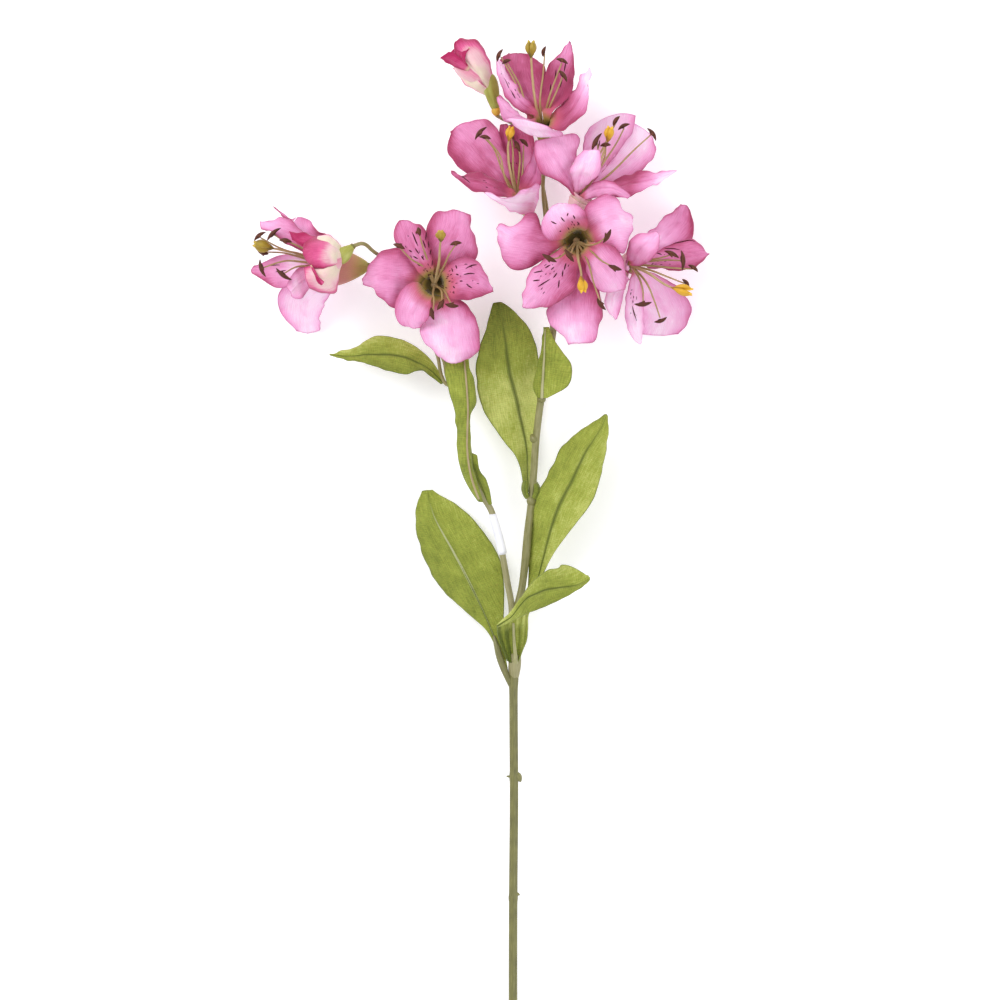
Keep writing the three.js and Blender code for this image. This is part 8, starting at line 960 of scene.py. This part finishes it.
for name, rows in LEAVES.items():
    seed = int(name.split("_")[1]) * 17
    lt = LEAF_TONE[name]
    if name == "leaf_3":
        # a pleated skirt round the fork, and the blade folded over it to the right
        b = Build(f"v_{name}", name, "leaf_fabric", [MAT_LEAF, MAT_PETIOLE])
        leaf_blade(b, LEAF3_SKIRT, 5, [0.85, 0.55, 0.25, -0.5], 40, 61, crease=0.0, ruffle=0.15, lumps=0.3, rib=None, pleats=14.0)
        leaf_blade(b, LEAF3_BLADE, 9, [0.25, 0.5, 0.45, 0.35], 70, 31, crease=-0.5, ruffle=0.3, lumps=0.4)
        b.tube(LEAF3_PETIOLE, lambda x: 0.75 + 1.0 * x**3, 12, 40, 1, tone=0.3, ridges=0.06)
    elif name == "leaf_1":
        b = Build(f"v_{name}", name, "leaf_fabric", [MAT_LEAF_PALE_RIB, MAT_PETIOLE])
        leaf_blade(b, rows, seed, lt, ribr=(0.9, 0.3))
        b.tube(LEAF1_PETIOLE, lambda x: 0.8 + 1.15 * np.sin(np.clip(x, 0, 1) * 3.0) ** 0.8, 14, 50, 1, tone=0.8, ridges=0.08)
    elif name == "leaf_5":
        b = Build(f"v_{name}", name, "leaf_fabric", [MAT_LEAF, MAT_PETIOLE])
        leaf_blade(b, rows, seed, lt, ruffle=0.3, rib=(0.0, 0.97), ribr=(1.0, 0.25), ribmat=1, ribtone=0.15)
    elif name in ("leaf_7", "leaf_8"):
        b = Build(f"v_{name}", name, "leaf_fabric", [MAT_LEAF, MAT_RIB])
        leaf_blade(b, rows, seed, lt, ruffle=0.25, rib=(0.02, 1.0) if name == "leaf_7" else None, ribr=(0.62, 0.5), ribmat=1, ribtone=0.35)
    else:
        b = Build(f"v_{name}", name, "leaf_fabric", [MAT_LEAF])
        leaf_blade(b, rows, seed, lt)
        if name == "leaf_4":
            # the foot of the leaf wraps the branch and curls up on both sides
            for side in LEAF4_CURLS:
                leaf_blade(b, side, 3, [0.75, 0.9, 0.7, 0.3], 20, 9, crease=0.0, ruffle=0.1, lumps=0.1, rib=None)
    b.done()

# ------------------------------------------------------------------ stems
def grown(base, knots):
    def r(x):
        v = np.full_like(x, base, dtype=float)
        for c, w, h in knots:
            v = v + h * np.exp(-(((x - c) / w) ** 2))
        return v
    return r


S = STEMS["main_stem"]
b = Build("v_main_stem", "main_stem", "stem_plastic", [MAT_STEM])
b.tube(S["p"], grown(S["r"], [(0.79, 0.006, 0.35), (0.555, 0.005, 0.3), (0.985, 0.02, 0.55)]), 30, 220, 0, ridges=0.035, tone=0.62)
for a, c, r in KNOBS["main_stem"]:
    b.blob(a, c, r, 0.05, 0.5, 12, 11, 0)
# swollen node below the fork, with the ragged sheath ends round it
b.tube(FORK_NODE, lambda x: 3.35 + 0.55 * np.sin(x * 3.1) - 0.5 * x, 28, 40, 0, ridges=0.06, tone=0.15)
b.done()
for br in ("left_branch", "right_branch"):
    S = STEMS[br]
    b = Build(f"v_{br}", br, "stem_plastic", [MAT_STEM])
    b.tube(S["p"], grown(S["r"], BRANCH_SWELL[br]), 22, 150, 0, ridges=0.05, tone=0.08 if br == "left_branch" else 0.38)
    for a, c, r in KNOBS[br]:
        b.blob(a, c, r, 0.05, 0.5, 12, 11, 0)
    b.done()

b = Build("v_label_band", "label_band", "band_paper", [MAT_BAND])
b.tube(BAND, 2.5, 28, 24, 0)
# the lapped end of the wrap, a second layer over a third of the way round
q = curve(BAND, 16)
d = unit(np.gradient(q, axis=0))
x = unit(np.array([0.0, 0.0, 1.0]) - d * d[:, 2:3])
y = np.cross(d, x)
an = np.linspace(-0.55, 1.5, 12)
P = q[:, None] + 2.66 * (np.cos(an)[None, :, None] * x[:, None] + np.sin(an)[None, :, None] * y[:, None])
N = unit(P - q[:, None])
uv = np.stack(np.meshgrid(np.linspace(0, 0.24, 16), np.linspace(0, 0.05, 12), indexing="ij"), -1)
sh = np.zeros((16, 12, 4))
sh[..., 0] = 0.35
b.sheet(P, N, 0.16, uv, sh, 0)
b.done()

for k, pts in STALKS.items():
    node = f"{k}_stalk" if k.startswith("bud") else f"flower_{k}_stalk"
    b = Build(f"v_{node}", node, "stem_plastic", [MAT_STALK])
    b.tube(pts, lambda x: 1.08 + 0.12 * x**6, 12, 60, 0, ridges=0.04)
    b.done()

# ------------------------------------------------------------------ buds
for bud, D in BUDS.items():
    base, tip = np.array(D["base"]), np.array(D["tip"])
    ax = unit(tip - base)
    foot = np.array(D["foot"])
    cax = unit(base - foot)
    n = float(np.linalg.norm(base - foot))
    b = Build(f"v_{bud}_calyx", f"{bud}_calyx", "calyx_plastic", [MAT_CALYX, MAT_RECEPTACLE])
    r0 = D["r"] * 0.24 + 0.8
    if bud == "bud_1":
        b.lathe([[0.3, -n - 0.6], [1.7, -n - 0.5], [2.2, -n + 0.6], [3.6, -n * 0.62], [4.6, -n * 0.25], [4.4, 1.0], [3.2, 2.4], [0.3, 2.6]], base, cax, 28, 0, lobes=6, lobe=0.05, tone=0.4)
        b.lathe([[0.3, -n - 1.6], [1.5, -n - 1.5], [1.9, -n - 0.6], [1.6, -n + 0.4], [0.3, -n + 0.5]], base, cax, 20, 0, tone=1.0)
    else:
        b.lathe([[0.3, -n + 3.6], [1.9, -n + 3.8], [2.9, -n * 0.72], [4.0, -n * 0.45], [4.9, -n * 0.12], [4.6, 2.4], [3.2, 5.2], [0.3, 5.6]], base, cax, 28, 0, lobes=6, lobe=0.06, tone=0.45)
        b.lathe([[0.3, -n - 0.4], [1.5, -n - 0.2], [2.5, -n + 1.4], [2.7, -n + 3.0], [1.9, -n + 5.0], [0.3, -n + 5.2]], base, cax, 24, 1, tone=0.4)
    b.done()
    b = Build(f"v_{bud}_petals", f"{bud}_petals", "bud_fabric", [MAT_BUD])
    L = np.linalg.norm(tip - base)
    r = D["core"]
    b.lathe([[0.3, 0], [r * 0.35, 0.0], [r * 0.75, L * 0.18], [r * 0.95, L * 0.42], [r * 0.85, L * 0.66], [r * 0.45, L * 0.8], [0.3, L * 0.84]], base, ax, 36, 0, lobes=3, lobe=0.06, tone=0.12)
    for i, (rows, tn) in enumerate(BUD_PETALS[bud]):
        s = Blade(rows, seed=i + 5, crease=0.25, ruffle=0.5, lumps=0.3)
        nu, nt = 36, 25
        u, t = np.linspace(0, 1, nu), np.linspace(-1, 1, nt)
        U, T = np.meshgrid(u, t, indexing="ij")
        P = s.at(U.ravel(), T.ravel()).reshape(nu, nt, 3)
        N = s.normal(U.ravel(), T.ravel()).reshape(nu, nt, 3)
        hw = np.linalg.norm(P[:, -1] - P[:, 0], axis=1) / 2
        uv = np.stack([U * s.length * 0.01, T * hw[:, None] * 0.01], -1)
        sh = np.zeros((nu, nt, 4))
        sh[..., 0] = np.clip(np.interp(U, [0, 0.35, 0.7, 1], tn[:4]) + tn[4] * T * 0.5 + 0.3 * np.clip(np.abs(T) - 0.85, 0, 1) / 0.15, 0, 1)
        sh[..., 1] = U
        sh[..., 2] = np.maximum(np.abs(T), (U > 0.985) * 1.0)
        sh[..., 3] = np.clip(0.45 - U * 2.5, 0, 1)
        b.sheet(P, N, PETAL_THICK, uv, sh, 0)
    b.done()

# ------------------------------------------------------------------ stage
me = bpy.data.meshes.new("floor")
me.from_pydata([(-6, -6, -0.0002), (6, -6, -0.0002), (6, 6, -0.0002), (-6, 6, -0.0002)], [], [(0, 1, 2, 3)])
floor = bpy.data.objects.new("floor", me)
bpy.context.scene.collection.objects.link(floor)
fm = bpy.data.materials.new("floor")
fm.use_nodes = True
bs = fm.node_tree.nodes["Principled BSDF"]
bs.inputs["Base Color"].default_value = (0.965, 0.96, 0.98, 1)
bs.inputs["Roughness"].default_value = 0.9
bs.inputs["Specular IOR Level"].default_value = 0.1
bs.inputs["Emission Color"].default_value = (0.98, 0.98, 1.0, 1)
bs.inputs["Emission Strength"].default_value = 0.22
me.materials.append(fm)

world = bpy.context.scene.world or bpy.data.worlds.new("world")
bpy.context.scene.world = world
world.use_nodes = True
bg = world.node_tree.nodes.get("Background") or world.node_tree.nodes.new("ShaderNodeBackground")
bg.inputs[0].default_value = (0.98, 0.98, 1.0, 1)
bg.inputs[1].default_value = 0.82


def area(name, loc, target, size, power):
    l = bpy.data.lights.new(name, "AREA")
    l.shape = "SQUARE"
    l.size = size
    l.energy = power
    o = bpy.data.objects.new(name, l)
    o.location = loc
    o.rotation_euler = (Vector(target) - Vector(loc)).to_track_quat("-Z", "Y").to_euler()
    bpy.context.scene.collection.objects.link(o)


area("key", (-1.4, 1.2, 2.0), (0, 0.1, 0), 1.5, 34)
area("fill", (1.6, -0.5, 1.8), (0, 0.1, 0), 1.8, 14)

cam = bpy.data.cameras.new("camera")
cam.lens = 144
cam.sensor_width = 36
cam.clip_end = 50
co = bpy.data.objects.new("camera", cam)
co.location = (SHIFT[0] * MM, SHIFT[1] * MM, 2.4 + SHIFT[2] * MM)
co.rotation_euler = (0, 0, 0)
bpy.context.scene.collection.objects.link(co)
bpy.context.scene.camera = co
bpy.context.scene.view_settings.view_transform = "Standard"
bpy.context.scene.view_settings.look = "None"
